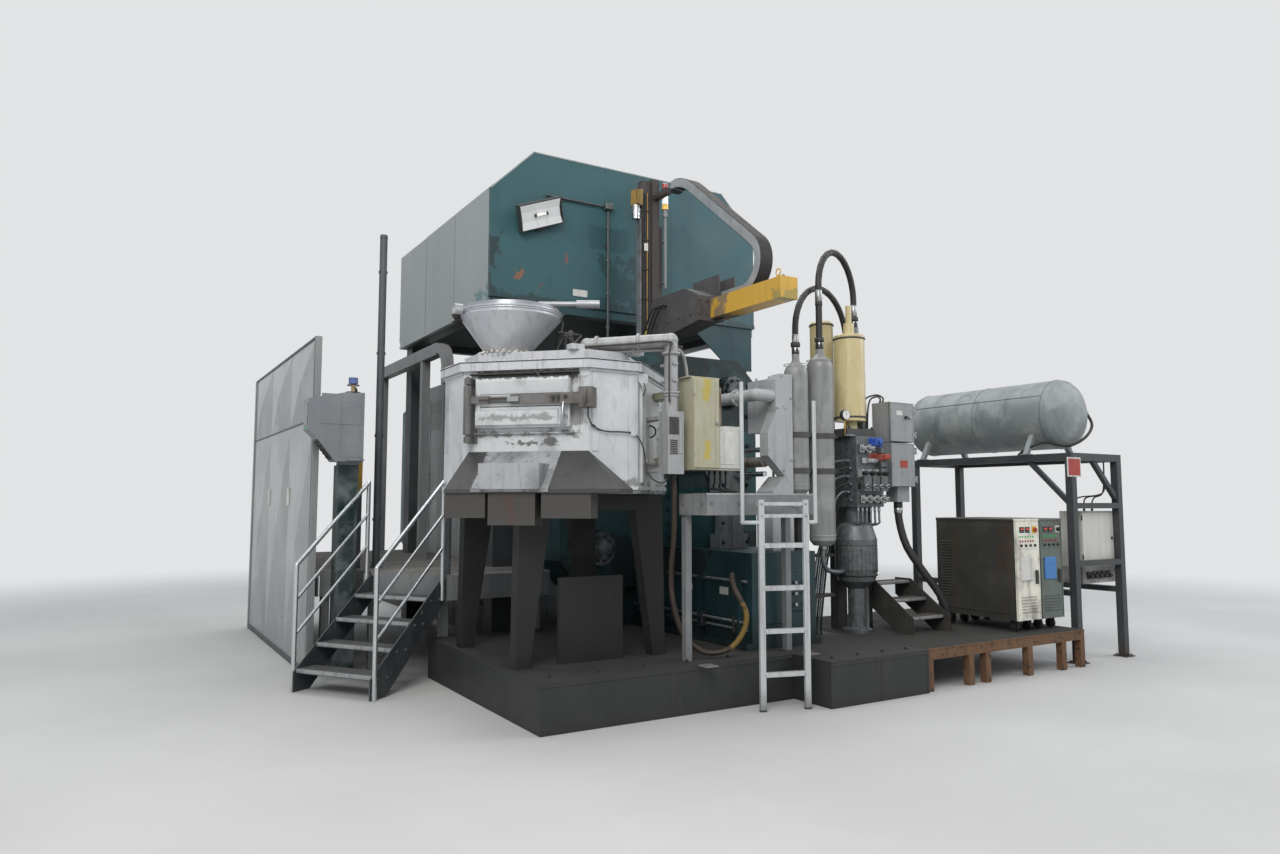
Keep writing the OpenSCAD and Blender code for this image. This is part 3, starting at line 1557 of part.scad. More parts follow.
module cooling_units() {
  y0 = frame_y + 10;
  fork = [60, 60];
  tread = 30;
  axle_z = plinth_h + castor_d / 2;
  for (x = unit_x) {
    color("#3e3d3b") {
      block([x, y0 + 20, unit_z], [unit_w, unit_d - 20, unit_h]);
      for (cx = [50, unit_w - 50 - fork[0]], cy = [80, unit_d - 80 - fork[1]])
        translate([x + cx, y0 + cy, 0])
          difference() {
            block([0, 0, axle_z - 10], [fork[0], fork[1], unit_z - axle_z + 10 - seat]);
            block([fork[0] / 2 - tread / 2 - seat, -1, axle_z - 11],
                  [tread + 2 * seat, fork[1] + 2, castor_d / 2 + 12]);
          }
    }
    color(x == unit_x[0] ? "#c9c6b8" : "#5c6a5a")
      block([x + 2, y0, unit_z + 4], [unit_w - 4, 20 - seat, unit_h - 8]);
    color("#1d1e1e")
      for (cx = [50, unit_w - 50 - fork[0]], cy = [80, unit_d - 80 - fork[1]])
        translate([x + cx + fork[0] / 2 - tread / 2, y0 + cy + fork[1] / 2, axle_z])
          rotate([0, 90, 0]) cylinder(d = castor_d, h = tread);
  }
}

// Places children at the stair's foot: x up the flight, y across it
module at_stair() {
  translate([stair_at[0], stair_at[1], 0]) rotate([0, 0, stair_turn]) children();
}
function stair_point(x, y) = stair_at + [
  x * cos(stair_turn) - y * sin(stair_turn), x * sin(stair_turn) + y * cos(stair_turn)
];

module stair() {
  half = stair_w / 2;
  steps = stair_risers - 1;
  tread_t = 35;
  run = stair_run - seat;
  color("#565a5c")
    at_stair() {
      for (i = [0 : steps - 1])
        block(
          [i * stair_going, -half + seat, (i + 1) * stair_rise - tread_t],
          [stair_going - seat, stair_w - 2 * seat, tread_t]
        );
      for (y = [half + stringer_t, -half])
        translate([0, y, 0])
          rotate([90, 0, 0])
            linear_extrude(stringer_t)
              polygon([
                [-30, 0], [170, 0], [run, walk_h - 290], [run, walk_h - 10], [-30, stair_rise - 20]
              ]);
    }
}

module stair_rails() {
  slope = stair_rise / stair_going;
  top0 = stair_rise + rail_h - 20;
  x1 = rail_up_x;
  top1 = top0 + x1 * slope;
  thin = rail_d * 0.7;
  color("#b9bcbd")
    at_stair()
      for (side = [-1, 1])
        translate([0, side * rail_off, 0]) {
          cylinder(d = rail_d, h = top0);
          translate([0, 0, top0]) sphere(d = rail_d);
          translate([x1, 0, walk_h - 240]) cylinder(d = rail_d, h = top1 - walk_h + 240);
          translate([x1, 0, top1]) sphere(d = rail_d);
          bar([0, 0, top0], [x1, 0, top1], rail_d);
          for (drop = [rail_h / 3, rail_h * 2 / 3])
            bar([0, 0, top0 - drop], [x1, 0, top1 - drop], thin);
          if (side == -1) {
            bar([x1, 0, top1], [x1 + rail_reach, 0, top1], rail_d);
            translate([x1 + rail_reach, 0, top1]) sphere(d = rail_d);
          }
        }
}

module operator_platform() {
  half = stair_w / 2 + 12;
  a = stair_point(stair_run, half);
  b = stair_point(stair_run, -half);
  right = -1400;
  left = -3500;
  back = wall_at[1] + wall_l - 50;
  notch = 400;
  leg = 80;
  band_t = 20;
  band_low = walk_h - band_h;
  band = band_h - walk_plate - seat;
  post_in = hood_post + 2 * seat;
  posts_x = -1510 - hood_post - seat;
  post_y = [hood_y + hood_sheet, hood_y + hood_l - hood_sheet - hood_post - 2 * seat];
  color("#5f6264") {
    translate([0, 0, walk_h - walk_plate])
      linear_extrude(walk_plate)
        difference() {
          polygon([a, b, [right, b[1]], [right, back], [left, back], [left, notch], [a[0], notch]]);
          for (y = post_y) translate([posts_x, y]) square(post_in);
        }
    at_stair() block([stair_run, -half + 30, band_low], [band_t, 2 * half - 60, band]);
    block([b[0] + 30, b[1], band_low], [right - b[0] - 30, band_t, band]);
    block([left, notch + 10, band_low], [band_t, back - notch - 10, band]);
    block([left + band_t + 10, notch, band_low], [a[0] - left - band_t - 10, band_t, band]);
    for (p = [
      [a[0] + 20, 230], [left + 60, notch + 60], [left + 60, 2250], [left + 60, back - 100],
      [-2480, -380], [right - leg, -380], [right - leg, back - 100], [right - leg, 1900]
    ])
      block([p[0], p[1], 0], [leg, leg, walk_h - walk_plate - seat]);
  }
}

module door_rail() {
  x = -1990;
  w = 120;
  h = 150;
  z = 3485;
  y0 = 1400;
  y1 = 4080;
  r = 260;
  post = 100;
  color("#a3a598") {
    block([x, y0, z], [w, y1 - y0, h]);
    for (y = [1940, 3850])
      block([x + w / 2 - post / 2, y, walk_h + seat], [post, post, z - walk_h - 2 * seat]);
  }
  color("#2c2d2d") {
    translate([x + w, y0 - seat, z + h / 2 - r])
      rotate([0, 0, 180])
        rotate([90, 0, 90])
          rotate_extrude(angle = 90)
            translate([r - h / 2 + 20, 0]) square([h - 40, w]);
    block([x, y0 - seat - r - h / 2 + 20, z + h / 2 - r - 200], [w, h - 40, 200 - seat]);
  }
}

module guard_pole() {
  pole = [-2850, 650];
  strip = [-3061, 640];
  near_d = 60;
  near = stair_point(rail_up_x + rail_reach, -rail_off) + (rail_d / 2 + near_d / 2 + seat) * [cos(60), sin(60)];
  color("#5d6462") {
    translate([pole[0], pole[1], walk_h + seat]) cylinder(d = 80, h = 3630);
    translate([pole[0], pole[1], walk_h + seat]) cylinder(d = 150, h = 12);
    translate([near[0], near[1], walk_h + seat]) cylinder(d = near_d, h = 1980);
    block([strip[0] - 10, strip[1] + 24 + seat, walk_h + seat], [60, 50, 1780]);
  }
  color("#d8b820")
    block([strip[0], strip[1], walk_h + 827], [40, 24, 932]);
}

module control_console() {
  low = 2097;
  y0 = -60;
  depth = wall_at[1] - y0 - 60 - 2 * seat;
  column = console_column;
  color("#83878a") {
    along_y(y0, depth)
      polygon([
        [-3716, low + 605], [-3716, low + 309], [-3638, low + 233], [-3460, low], [-3187, low],
        [-3187, low + 687], [-3353, low + 687]
      ]);
    block([-3360, y0 - 16 - seat, low + 10], [180, 16, 16]);
    translate([-3290, y0 + 60, low + 687 + seat]) cylinder(d = 40, h = 90);
    translate([-3290, y0 + 60, low + 777 + 2 * seat]) cylinder(d = 90, h = 60);
  }
  color("#2d4038") {
    block([column[0], column[1], 0], [column[2], column[3], low - 30]);
    block([column[0] + 10, column[1] - 60, low - 30 + seat], [column[2] - 20, 200, 30 - 2 * seat]);
    block([column[0] + 60, column[1] + column[3] + seat, walk_h - 200], [80, 105 - 2 * seat, 60]);
  }
}

// A sheet panel pressed out to a shallow pyramid on its outer side
module pressed_panel(size, t) {
  color("#8f9593") {
    cube([t, size[0], size[1]]);
    polyhedron(
      [
        [0, 0, 0], [0, size[0], 0], [0, size[0], size[1]], [0, 0, size[1]],
        [-panel_press, size[0] / 2, size[1] / 2]
      ],
      [[3, 2, 1, 0], [4, 0, 1], [4, 1, 2], [4, 2, 3], [4, 3, 0]]
    );
  }
}

module guard_wall() {
  bays = 3;
  t = 20;
  post = 60;
  bay = wall_l / bays;
  for (i = [0 : bays - 1]) {
    translate([wall_at[0], wall_at[1] + i * bay, 0]) pressed_panel([bay - seat, wall_seam - seat], t);
    translate([wall_at[0], wall_at[1] + i * bay, wall_seam])
      pressed_panel([bay - seat, wall_h - wall_seam], t);
  }
  color("#3a3f3d") {
    block([wall_at[0] - 20, wall_at[1] - seat - post, 0], [post, post, wall_h]);
    block([wall_at[0] - 20, wall_at[1] + wall_l, 0], [post, post, wall_h]);
    for (y = [bay, 2 * bay])
      block([wall_at[0] + t + seat, wall_at[1] + y - post / 2, 0], [post, post, wall_h - 60]);
  }
}

plinth();
side_deck();
deck_beams();
deck_posts();
machine_bed();
fixed_platen();
moving_platen();
end_platen();
tie_bars();
clamp_cover();
closing_cylinder();
shot_pedestal();
shot_unit();
shot_rods();
valve_housing();
gas_bottles();
cream_cylinders();
accumulator_rack();
arched_hoses();
valve_block();
control_boxes();
upper_box_door();
lower_box_door();
box_hose();
service_platform();
ladder();
inner_steps();
hood_front();
hood_walls();
hood_roof();
hood_apron();
hood_posts();
hood_lamp();
spray_carriage();
spray_beam();
spray_mast();
energy_chain();
stack_light();
furnace_shell();
furnace_top_plate();
furnace_apron();
furnace_stand();
door_hinge_bracket();
furnace_door();
door_bar();
hopper();
burner_pipe();
loop_hose();
furnace_cabinets();
vessel();
vessel_frame();
frame_cabinet();
cooling_units();
stair();
stair_rails();
operator_platform();
door_rail();
guard_pole();
control_console();
guard_wall();
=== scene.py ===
"""Looks of the die casting machine, in metres, in the frame of the packed model."""
import math
from types import SimpleNamespace

import bmesh
import bpy
from bpy.props import FloatProperty, FloatVectorProperty, IntProperty, PointerProperty
from mathutils import Euler, Matrix, Vector


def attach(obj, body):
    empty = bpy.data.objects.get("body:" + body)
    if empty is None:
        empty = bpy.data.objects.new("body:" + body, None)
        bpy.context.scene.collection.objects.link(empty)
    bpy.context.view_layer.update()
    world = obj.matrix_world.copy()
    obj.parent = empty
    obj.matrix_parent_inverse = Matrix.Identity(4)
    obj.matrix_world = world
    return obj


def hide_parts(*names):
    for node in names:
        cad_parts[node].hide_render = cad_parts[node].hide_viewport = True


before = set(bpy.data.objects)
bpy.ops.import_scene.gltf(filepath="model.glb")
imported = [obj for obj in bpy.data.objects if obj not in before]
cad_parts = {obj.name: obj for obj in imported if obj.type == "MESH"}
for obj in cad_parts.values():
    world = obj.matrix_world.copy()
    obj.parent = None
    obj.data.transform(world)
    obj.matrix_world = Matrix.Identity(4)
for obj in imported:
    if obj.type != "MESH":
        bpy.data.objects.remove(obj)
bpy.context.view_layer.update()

bl_info = {
    "name": "Die casting machine",
    "version": (1, 0, 0),
    "blender": (4, 5, 0),
    "location": "View3D > Sidebar > Casting",
    "description": "Finishes and fine parts of a cold-chamber die casting machine",
    "category": "Object",
}


# Sizes that a later change is likely to touch.
class CASTING_PG_sizes(bpy.types.PropertyGroup):
    bolt: FloatProperty(name="Bolt", description="Radius of a large bolt head", default=0.028, unit="LENGTH")
    slat: FloatProperty(name="Slat pitch", description="Pitch of louvre slats", default=0.03, unit="LENGTH")
    grip: FloatProperty(name="Grip pitch", description="Pitch of the lozenges on tread plate", default=0.06,
        unit="LENGTH")
    seed: IntProperty(name="Seed", description="Seed of scatter and crust", default=7)


# Paint colours of the large surfaces.
class CASTING_PG_colours(bpy.types.PropertyGroup):
    hood: FloatVectorProperty(name="Hood", description="Hood paint", subtype="COLOR", default=(0.031, 0.096, 0.107))
    machine: FloatVectorProperty(name="Machine", description="Machine paint", subtype="COLOR",
        default=(0.02, 0.07, 0.08))
    beam: FloatVectorProperty(name="Beam", description="Spray beam paint", subtype="COLOR",
        default=(0.62, 0.36, 0.042))


def rgb(code):
    """sRGB hex to a linear colour."""
    parts = [int(code[i:i + 2], 16) / 255 for i in (1, 3, 5)]
    return tuple(c / 12.92 if c <= 0.04045 else ((c + 0.055) / 1.055) ** 2.4 for c in parts) + (1.0,)


# Materials

MADE = {}
SMOOTH = {"interpolation_type": "SMOOTHSTEP"}


def feed(tree, node, inputs):
    """Links or fills a node's inputs."""
    for key, value in inputs.items():
        if isinstance(value, bpy.types.NodeSocket):
            tree.links.new(value, node.inputs[key])
        else:
            node.inputs[key].default_value = value


def add(tree, kind, inputs=None, out=0, **settings):
    """Adds a node with its settings and links, and gives its output; a kind without Node in it is a shader node's."""
    n = tree.nodes.new(kind if "Node" in kind else "ShaderNode" + kind)
    for key, value in settings.items():
        setattr(n, key, value)
    feed(tree, n, inputs or {})
    return n.outputs[out] if n.outputs else None


def speckle(tree, at, size_mm, detail=3.0, rough=0.55, stretch=(1, 1, 1), seed=0.0):
    """Noise whose features are about size_mm wide."""
    scale = tuple(1000.0 / size_mm / s for s in stretch)
    moved = add(tree, "Mapping", {"Vector": at, "Scale": scale, "Location": (seed, seed * 0.7, seed * 1.3)})
    return add(tree, "TexNoise", {"Vector": moved, "Scale": 1.0, "Detail": detail, "Roughness": rough})


def box_mask(tree, at, lo, hi, fuzz=0.0, strength=1.0):
    """Strength inside the box lo..hi, else 0; fuzz is how far the edge wanders, in metres."""
    d = add(tree, "VectorMath", {0: at, 1: [(a + b) / 2 for a, b in zip(lo, hi)]}, operation="SUBTRACT")
    d = add(tree, "VectorMath", {0: d}, operation="ABSOLUTE")
    d = add(tree, "VectorMath", {0: d, 1: [(b - a) / 2 for a, b in zip(lo, hi)]}, operation="SUBTRACT")
    x, y, z = add(tree, "SeparateXYZ", {0: d}).node.outputs
    away = add(tree, "Math", {0: x, 1: y}, operation="MAXIMUM")
    away = add(tree, "Math", {0: away, 1: z}, operation="MAXIMUM")
    if not fuzz:
        return add(tree, "Math", {0: away, 1: 0.0}, operation="LESS_THAN")
    wander = speckle(tree, at, fuzz * 1800, 5.0, 0.65, seed=lo[2])
    wander = add(tree, "Math", {0: wander, 1: 0.5}, operation="SUBTRACT")
    away = add(tree, "Math", {0: wander, 1: fuzz * 5, 2: away}, operation="MULTIPLY_ADD")
    return add(tree, "MapRange", {0: away, 1: fuzz * 0.15, 2: fuzz * -0.35, 4: strength}, **SMOOTH)


def coat(name, base, fade=None, streak=None, chips=None, dust=None, low=None, rough=0.5, metal=0.0, patch=400,
         grain=6, amount=0.5, worn=0.0, bump=0.15, gloss=0.0, areas=(), streak_mm=(60, 900), chip_mm=45, chip_at=0.66,
         upper=None, blots=(), local=None, flank=None, lean=None, seed=0.0):
    """Paint or bare metal in the row frame: faded patches, runs, chips, dust on top, grime near the floor.

    patch, grain, streak_mm and chip_mm are pattern sizes in millimetres; grain is drawn coarser than real, to show.
    areas are boxes of another finish, blots are stains with ragged edges; local is the x, y and turn of their frame.
    flank is the colour of faces that look along x, lean a direction towards which faces get lighter.
    """
    if name in MADE:
        return MADE[name]
    m = bpy.data.materials.new(name)
    m.use_nodes = True
    t = m.node_tree
    at = add(t, "TexCoord", out="Object")
    normal = add(t, "NewGeometry", out="Normal") if flank or dust or lean or worn else None
    big = speckle(t, at, patch, 4.0, 0.6, seed=seed)
    fine = speckle(t, at, grain, 2.0, 0.6, seed=seed + 3)
    own, layers, rough_of, metal_of = at, [], rough, metal
    if local:
        turn = (0, 0, math.radians(local[2]))
        own = add(t, "Mapping", {"Vector": at, "Location": (*local[:2], 0), "Rotation": turn}, vector_type="TEXTURE")
    if flank:
        side = add(t, "Math", {0: add(t, "SeparateXYZ", {0: normal})}, operation="ABSOLUTE")
        layers.append((add(t, "MapRange", {0: side, 1: 0.8, 2: 0.95}, **SMOOTH), flank))
    for lo, hi, tint, r, k in areas:
        here = box_mask(t, own, lo, hi)
        layers.append((here, tint))
        rough_of = add(t, "Mix", {0: here, 2: rough_of, 3: r})
        if k != metal:
            metal_of = add(t, "Mix", {0: here, 2: metal_of, 3: k})
    if fade:
        layers.append((add(t, "MapRange", {0: big, 1: 0.42, 2: 0.68, 4: amount}, **SMOOTH), fade))
    if streak:
        wide, long = streak_mm
        runs = speckle(t, at, wide, 3.0, 0.6, (1, 1, long / wide), seed + 5)
        layers.append((add(t, "MapRange", {0: runs, 1: 0.5, 2: 0.72, 4: amount}, **SMOOTH), streak))
    layers += [(box_mask(t, own, lo, hi, fuzz, 0.85), tint) for lo, hi, tint, fuzz in blots]
    for band, below, above in ((low, 0.75, 0.0), (upper, 0.0, 0.75)):
        if band:
            tint, z0, z1 = band
            z = add(t, "SeparateXYZ", {0: at}, 2)
            z = add(t, "Math", {0: big, 1: (z1 - z0) * 0.5, 2: z}, operation="MULTIPLY_ADD")
            layers.append((add(t, "MapRange", {0: z, 1: z0, 2: z1, 3: below, 4: above}, **SMOOTH), tint))
    if dust:
        level = add(t, "MapRange", {0: add(t, "SeparateXYZ", {0: normal}, 2), 1: 0.5, 2: 0.95}, **SMOOTH)
        patchy = add(t, "MapRange", {0: big, 1: 0.3, 2: 0.6, 3: 0.45, 4: 0.9}, **SMOOTH)
        settled = add(t, "Math", {0: level, 1: patchy}, operation="MULTIPLY")
        layers.append((settled, dust))
        rough_of = add(t, "Math", {0: settled, 1: 0.25, 2: rough_of}, operation="MULTIPLY_ADD")
    colour = base if isinstance(base, tuple) else rgb(base)
    for mask, tint in layers:
        colour = add(t, "Mix", {0: mask, 6: colour, 7: rgb(tint)}, 2, data_type="RGBA")
    shade = add(t, "MapRange", {0: fine, 1: 0.3, 2: 0.7, 3: 0.9, 4: 1.08}, **SMOOTH)
    # Painted light and shade: the colour is scaled up or down by how far each face turns towards lean.
    if lean:
        turned = add(t, "VectorMath", {0: normal, 1: lean}, "Value", operation="DOT_PRODUCT")
        lit = add(t, "MapRange", {0: turned, 1: -0.1, 2: 0.1, 3: 0.72, 4: 1.2}, **SMOOTH)
        shade = add(t, "Math", {0: shade, 1: lit}, operation="MULTIPLY")
    colour = add(t, "VectorMath", {0: colour if layers else colour[:3], "Scale": shade}, operation="SCALE")
    height = add(t, "Math", {0: fine, 1: 0.35}, operation="MULTIPLY")
    if chips:
        spots = speckle(t, at, chip_mm, 6.0, 0.62, seed=seed + 9)
        if worn:
            soft = add(t, "Bevel", {"Radius": worn}, samples=3)
            turned = add(t, "VectorMath", {0: soft, 1: normal}, "Value", operation="DOT_PRODUCT")
            edge = add(t, "MapRange", {0: turned, 1: 0.99, 2: 0.8, 4: 0.3}, **SMOOTH)
            spots = add(t, "Math", {0: spots, 1: edge}, operation="ADD")
        gone = add(t, "MapRange", {0: spots, 1: chip_at, 2: chip_at + 0.03}, **SMOOTH)
        colour = add(t, "Mix", {0: gone, 6: colour, 7: rgb(chips)}, 2, data_type="RGBA")
        height = add(t, "Math", {0: height, 1: gone}, operation="SUBTRACT")
    wavy = add(t, "Math", {0: big, 1: 0.6, 2: height}, operation="MULTIPLY_ADD")
    uneven = add(t, "MapRange", {0: big, 1: 0.3, 2: 0.7, 3: -0.08, 4: 0.1}, **SMOOTH)
    feed(t, t.nodes["Principled BSDF"], {
        "Base Color": colour,
        "Roughness": add(t, "Math", {0: rough_of, 1: uneven}, operation="ADD"),
        "Metallic": metal_of,
        "Normal": add(t, "Bump", {"Height": wavy, "Strength": bump, "Distance": 0.004}),
        "Coat Weight": gloss,
        "Coat Roughness": 0.2,
    })
    MADE[name] = m
    return m


def glow(name, code, power, rough=0.3):
    """A lit lens or lamp: coloured plastic that also gives off some light, brighter towards its middle."""
    if name in MADE:
        return MADE[name]
    m = coat(name, code, rough=rough, grain=2, bump=0.05)
    t = m.node_tree
    edge = add(t, "LayerWeight", {"Blend": 0.4}, "Facing")
    strength = add(t, "MapRange", {0: edge, 1: 0.0, 2: 0.9, 3: power, 4: power * 0.4}, **SMOOTH)
    feed(t, t.nodes["Principled BSDF"], {"Emission Strength": strength, "Emission Color": rgb(code)})
    return m


# Mesh kit

def facing(axis):
    """Euler turn that takes +Z to axis."""
    return tuple(Vector(axis).to_track_quat("Z", "Y").to_euler())


PLINTH_TOP = 0.379
UP = (0, 0, 0)
SOUTH, NORTH, WEST, EAST = (facing(axis) for axis in ((0, -1, 0), (0, 1, 0), (-1, 0, 0), (1, 0, 0)))


class Piece:
    """Gathers the shapes of one piece, in the row frame, and makes its object. Each shape names its material."""

    def __init__(self):
        self.materials, self.points, self.faces, self.skins, self.smooth = [], [], [], [], []

    def put(self, points, faces, skin, smooth=False, turn=None):
        if skin not in self.materials:
            self.materials.append(skin)
        base = len(self.points)
        self.points += [tuple(turn @ Vector(p)) if turn else tuple(p) for p in points]
        self.faces += [[base + i for i in f] for f in faces]
        self.skins += [self.materials.index(skin)] * len(faces)
        self.smooth += [smooth] * len(faces)

    def box(self, lo, hi, skin, edge=0.003, turn=None):
        """A block with chamfered edges."""
        lo, hi = [min(a, b) for a, b in zip(lo, hi)], [max(a, b) for a, b in zip(lo, hi)]
        e = min(edge, *[(b - a) * 0.3 for a, b in zip(lo, hi)])
        points, index = [], {}
        for sx in (0, 1):
            for sy in (0, 1):
                for sz in (0, 1):
                    s = (sx, sy, sz)
                    for axis in range(3):
                        inset = [0 if k == axis else e for k in range(3)]
                        p = [hi[k] - inset[k] if s[k] else lo[k] + inset[k] for k in range(3)]
                        index[s, axis] = len(points)
                        points.append(p)
        faces = []
        for axis in range(3):
            u, v = [k for k in range(3) if k != axis]
            for side in (0, 1):
                ring = []
                for a, b in ((0, 0), (1, 0), (1, 1), (0, 1)):
                    s = [0, 0, 0]
                    s[axis], s[u], s[v] = side, a, b
                    ring.append(index[tuple(s), axis])
                flip = (axis == 1) != (side == 0)
                faces.append(ring[::-1] if flip else ring)
            for a in (0, 1):
                for b in (0, 1):
                    s, q = [0, 0, 0], [0, 0, 0]
                    s[u], s[v], q[u], q[v] = a, b, a, b
                    q[axis] = 1
                    ring = [index[tuple(s), u], index[tuple(q), u], index[tuple(q), v], index[tuple(s), v]]
                    flip = ((a == b) != (axis == 1))
                    faces.append(ring if not flip else ring[::-1])
        for s in [(a, b, c) for a in (0, 1) for b in (0, 1) for c in (0, 1)]:
            ring = [index[s, 0], index[s, 1], index[s, 2]]
            faces.append(ring if sum(s) % 2 else ring[::-1])
        self.put(points, faces, skin, False, turn)

    def border(self, lo, hi, wide, skin, edge, turn=None):
        """Four strips round a rectangle that looks along y."""
        (x0, y0, z0), (x1, y1, z1) = lo, hi
        self.box((x0, y0, z0), (x1, y1, z0 + wide), skin, edge, turn)
        self.box((x0, y0, z1 - wide), (x1, y1, z1), skin, edge, turn)
        self.box((x0, y0, z0 + wide), (x0 + wide, y1, z1 - wide), skin, edge, turn)
        self.box((x1 - wide, y0, z0 + wide), (x1, y1, z1 - wide), skin, edge, turn)

    def tube(self, path, radius, skin, sides=12, turn=None, caps=True):
        """A round bar or pipe along a path; radius may be one number or one for each point."""
        path = [Vector(p) for p in path]
        radii = radius if isinstance(radius, (list, tuple)) else [radius] * len(path)
        ahead = (path[1] - path[0]).normalized()
        side = ahead.orthogonal().normalized()
        points, faces = [], []
        for i, p in enumerate(path):
            a = (path[min(i + 1, len(path) - 1)] - path[max(i - 1, 0)]).normalized()
            if a.length < 0.5:
                a = ahead
            side = (side - a * side.dot(a)).normalized()
            up = a.cross(side)
            ahead = a
            for k in range(sides):
                w = 2 * math.pi * k / sides
                points.append(p + (side * math.cos(w) + up * math.sin(w)) * radii[i])
        for i in range(len(path) - 1):
            for k in range(sides):
                j = (k + 1) % sides
                faces.append([i * sides + k, i * sides + j, (i + 1) * sides + j, (i + 1) * sides + k])
        self.put(points, faces, skin, True, turn)
        if caps:
            last = (len(path) - 1) * sides
            self.put(points[:sides], [list(range(sides))[::-1]], skin, False, turn)
            self.put(points[last:], [list(range(sides))], skin, False, turn)

    def rod(self, a, b, radius, skin, sides=20, edge=0.002, turn=None):
        """A round bar with broken edges."""
        a, b = Vector(a), Vector(b)
        d = (b - a).normalized()
        e = min(edge, radius * 0.4, (b - a).length * 0.3)
        self.tube([a, a + d * e, b - d * e, b], [radius - e, radius, radius, radius - e], skin, sides, turn)

    def ring(self, centre, axis, radius, thick, skin, sides=32, around=8, turn=None):
        """A closed round ring."""
        axis = Vector(axis).normalized()
        u = axis.orthogonal().normalized()
        v = axis.cross(u)
        points, faces = [], []
        for i in range(sides):
            w = 2 * math.pi * i / sides
            out = u * math.cos(w) + v * math.sin(w)
            for k in range(around):
                q = 2 * math.pi * k / around
                points.append(Vector(centre) + out * (radius + thick * math.cos(q)) + axis * thick * math.sin(q))
        for i in range(sides):
            for k in range(around):
                a, b = (i + 1) % sides, (k + 1) % around
                faces.append([i * around + k, a * around + k, a * around + b, i * around + b])
        self.put(points, faces, skin, True, turn)

    def sheet(self, outline, depth, skin, turn=None):
        """A flat plate: outline of 3-D points, thickened by the vector depth."""
        n = len(outline)
        outline = [Vector(p) for p in outline]
        depth = Vector(depth)
        normal = sum(((outline[i] - outline[0]).cross(outline[(i + 1) % n] - outline[0]) for i in range(1, n)),
            Vector())
        if normal.dot(depth) > 0:
            outline = outline[::-1]
        points = outline + [p + depth for p in outline]
        faces = [list(range(n)), list(range(2 * n - 1, n - 1, -1))]
        faces += [[i, n + i, n + (i + 1) % n, (i + 1) % n] for i in range(n)]
        self.put(points, faces, skin, False, turn)

    def cable(self, points, radius, skin, sides=8, steps=6):
        """A round line, smooth through the points."""
        self.tube(smooth_path(points, steps), radius, skin, sides)

    def scatter(self, tree, points, skin, turn=None, **inputs):
        """Runs one of the Geometry Nodes trees on points and takes over its mesh."""
        mesh = bpy.data.meshes.new("spots")
        mesh.from_pydata([tuple(p) for p in points], [], [])
        o = bpy.data.objects.new("spots", mesh)
        bpy.context.scene.collection.objects.link(o)
        mod = o.modifiers.new("scatter", "NODES")
        mod.node_group = TREES[tree]
        wanted = dict(inputs, Material=skin)
        for item in TREES[tree].interface.items_tree:
            if item.in_out == "INPUT" and item.name in wanted:
                mod[item.identifier] = wanted[item.name]
        done = bpy.data.meshes.new_from_object(o.evaluated_get(bpy.context.evaluated_depsgraph_get()))
        self.put([v.co for v in done.vertices], [list(p.vertices) for p in done.polygons], skin, False, turn)
        bpy.data.objects.remove(o)
        bpy.data.meshes.remove(mesh)
        bpy.data.meshes.remove(done)

    def bolts(self, points, skin, radius, height, way=UP, turn=None):
        self.scatter("bolt", points, skin, turn, Radius=radius, Height=height, Rotation=way)

    def discs(self, points, skin, radius, height, sides, way=UP, turn=None):
        self.scatter("disc", points, skin, turn, Radius=radius, Height=height, Sides=sides, Rotation=way)

    def slats(self, points, skin, size, tilt=UP, turn=None):
        self.scatter("slat", points, skin, turn, Size=size, Tilt=tilt)

    def crumbs(self, points, skin, size, seed):
        self.scatter("crumb", points, skin, Size=size, Seed=seed)

    def lozenges(self, points, skin, angle, width=0.004):
        self.scatter("lozenge", points, skin, Width=width, Height=0.003, Rotation=(0, 0, math.radians(angle)))

    def make(self, name, body="machine"):
        """The finished object, which rides on its body and fills its slot."""
        mesh = bpy.data.meshes.new(name)
        mesh.from_pydata(self.points, [], self.faces)
        for m in self.materials:
            mesh.materials.append(m)
        mesh.polygons.foreach_set("material_index", self.skins)
        mesh.polygons.foreach_set("use_smooth", self.smooth)
        mesh.validate()
        bm = bmesh.new()
        bm.from_mesh(mesh)
        bmesh.ops.remove_doubles(bm, verts=bm.verts, dist=0.00002)
        bmesh.ops.recalc_face_normals(bm, faces=bm.faces)
        bm.to_mesh(mesh)
        bm.free()
        o = bpy.data.objects.new(name, mesh)
        bpy.context.scene.collection.objects.link(o)
        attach(o, body)
        return o


def arc(centre, u, v, radius, start, end, steps=12):
    """Points on an arc in the plane of the unit vectors u and v; angles in degrees."""
    c, u, v = Vector(centre), Vector(u), Vector(v)
    turns = [math.radians(start + (end - start) * i / steps) for i in range(steps + 1)]
    return [c + (u * math.cos(w) + v * math.sin(w)) * radius for w in turns]


def smooth_path(points, steps=6):
    """A smooth line through the points."""
    p = [Vector(q) for q in points]
    out = []
    for i in range(len(p) - 1):
        a, b = p[i], p[i + 1]
        ta = (b - p[max(i - 1, 0)]) / 2
        tb = (p[min(i + 2, len(p) - 1)] - a) / 2
        for k in range(steps):
            s = k / steps
            near = a * (2 * s**3 - 3 * s**2 + 1) + ta * (s**3 - 2 * s**2 + s)
            out.append(near + b * (3 * s**2 - 2 * s**3) + tb * (s**3 - s**2))
    return out + [p[-1]]


def grid(start, step, count, step2=(0, 0, 0), count2=1):
    """count x count2 points in rows."""
    a, s, q = Vector(start), Vector(step), Vector(step2)
    return [a + s * i + q * j for j in range(count2) for i in range(count)]


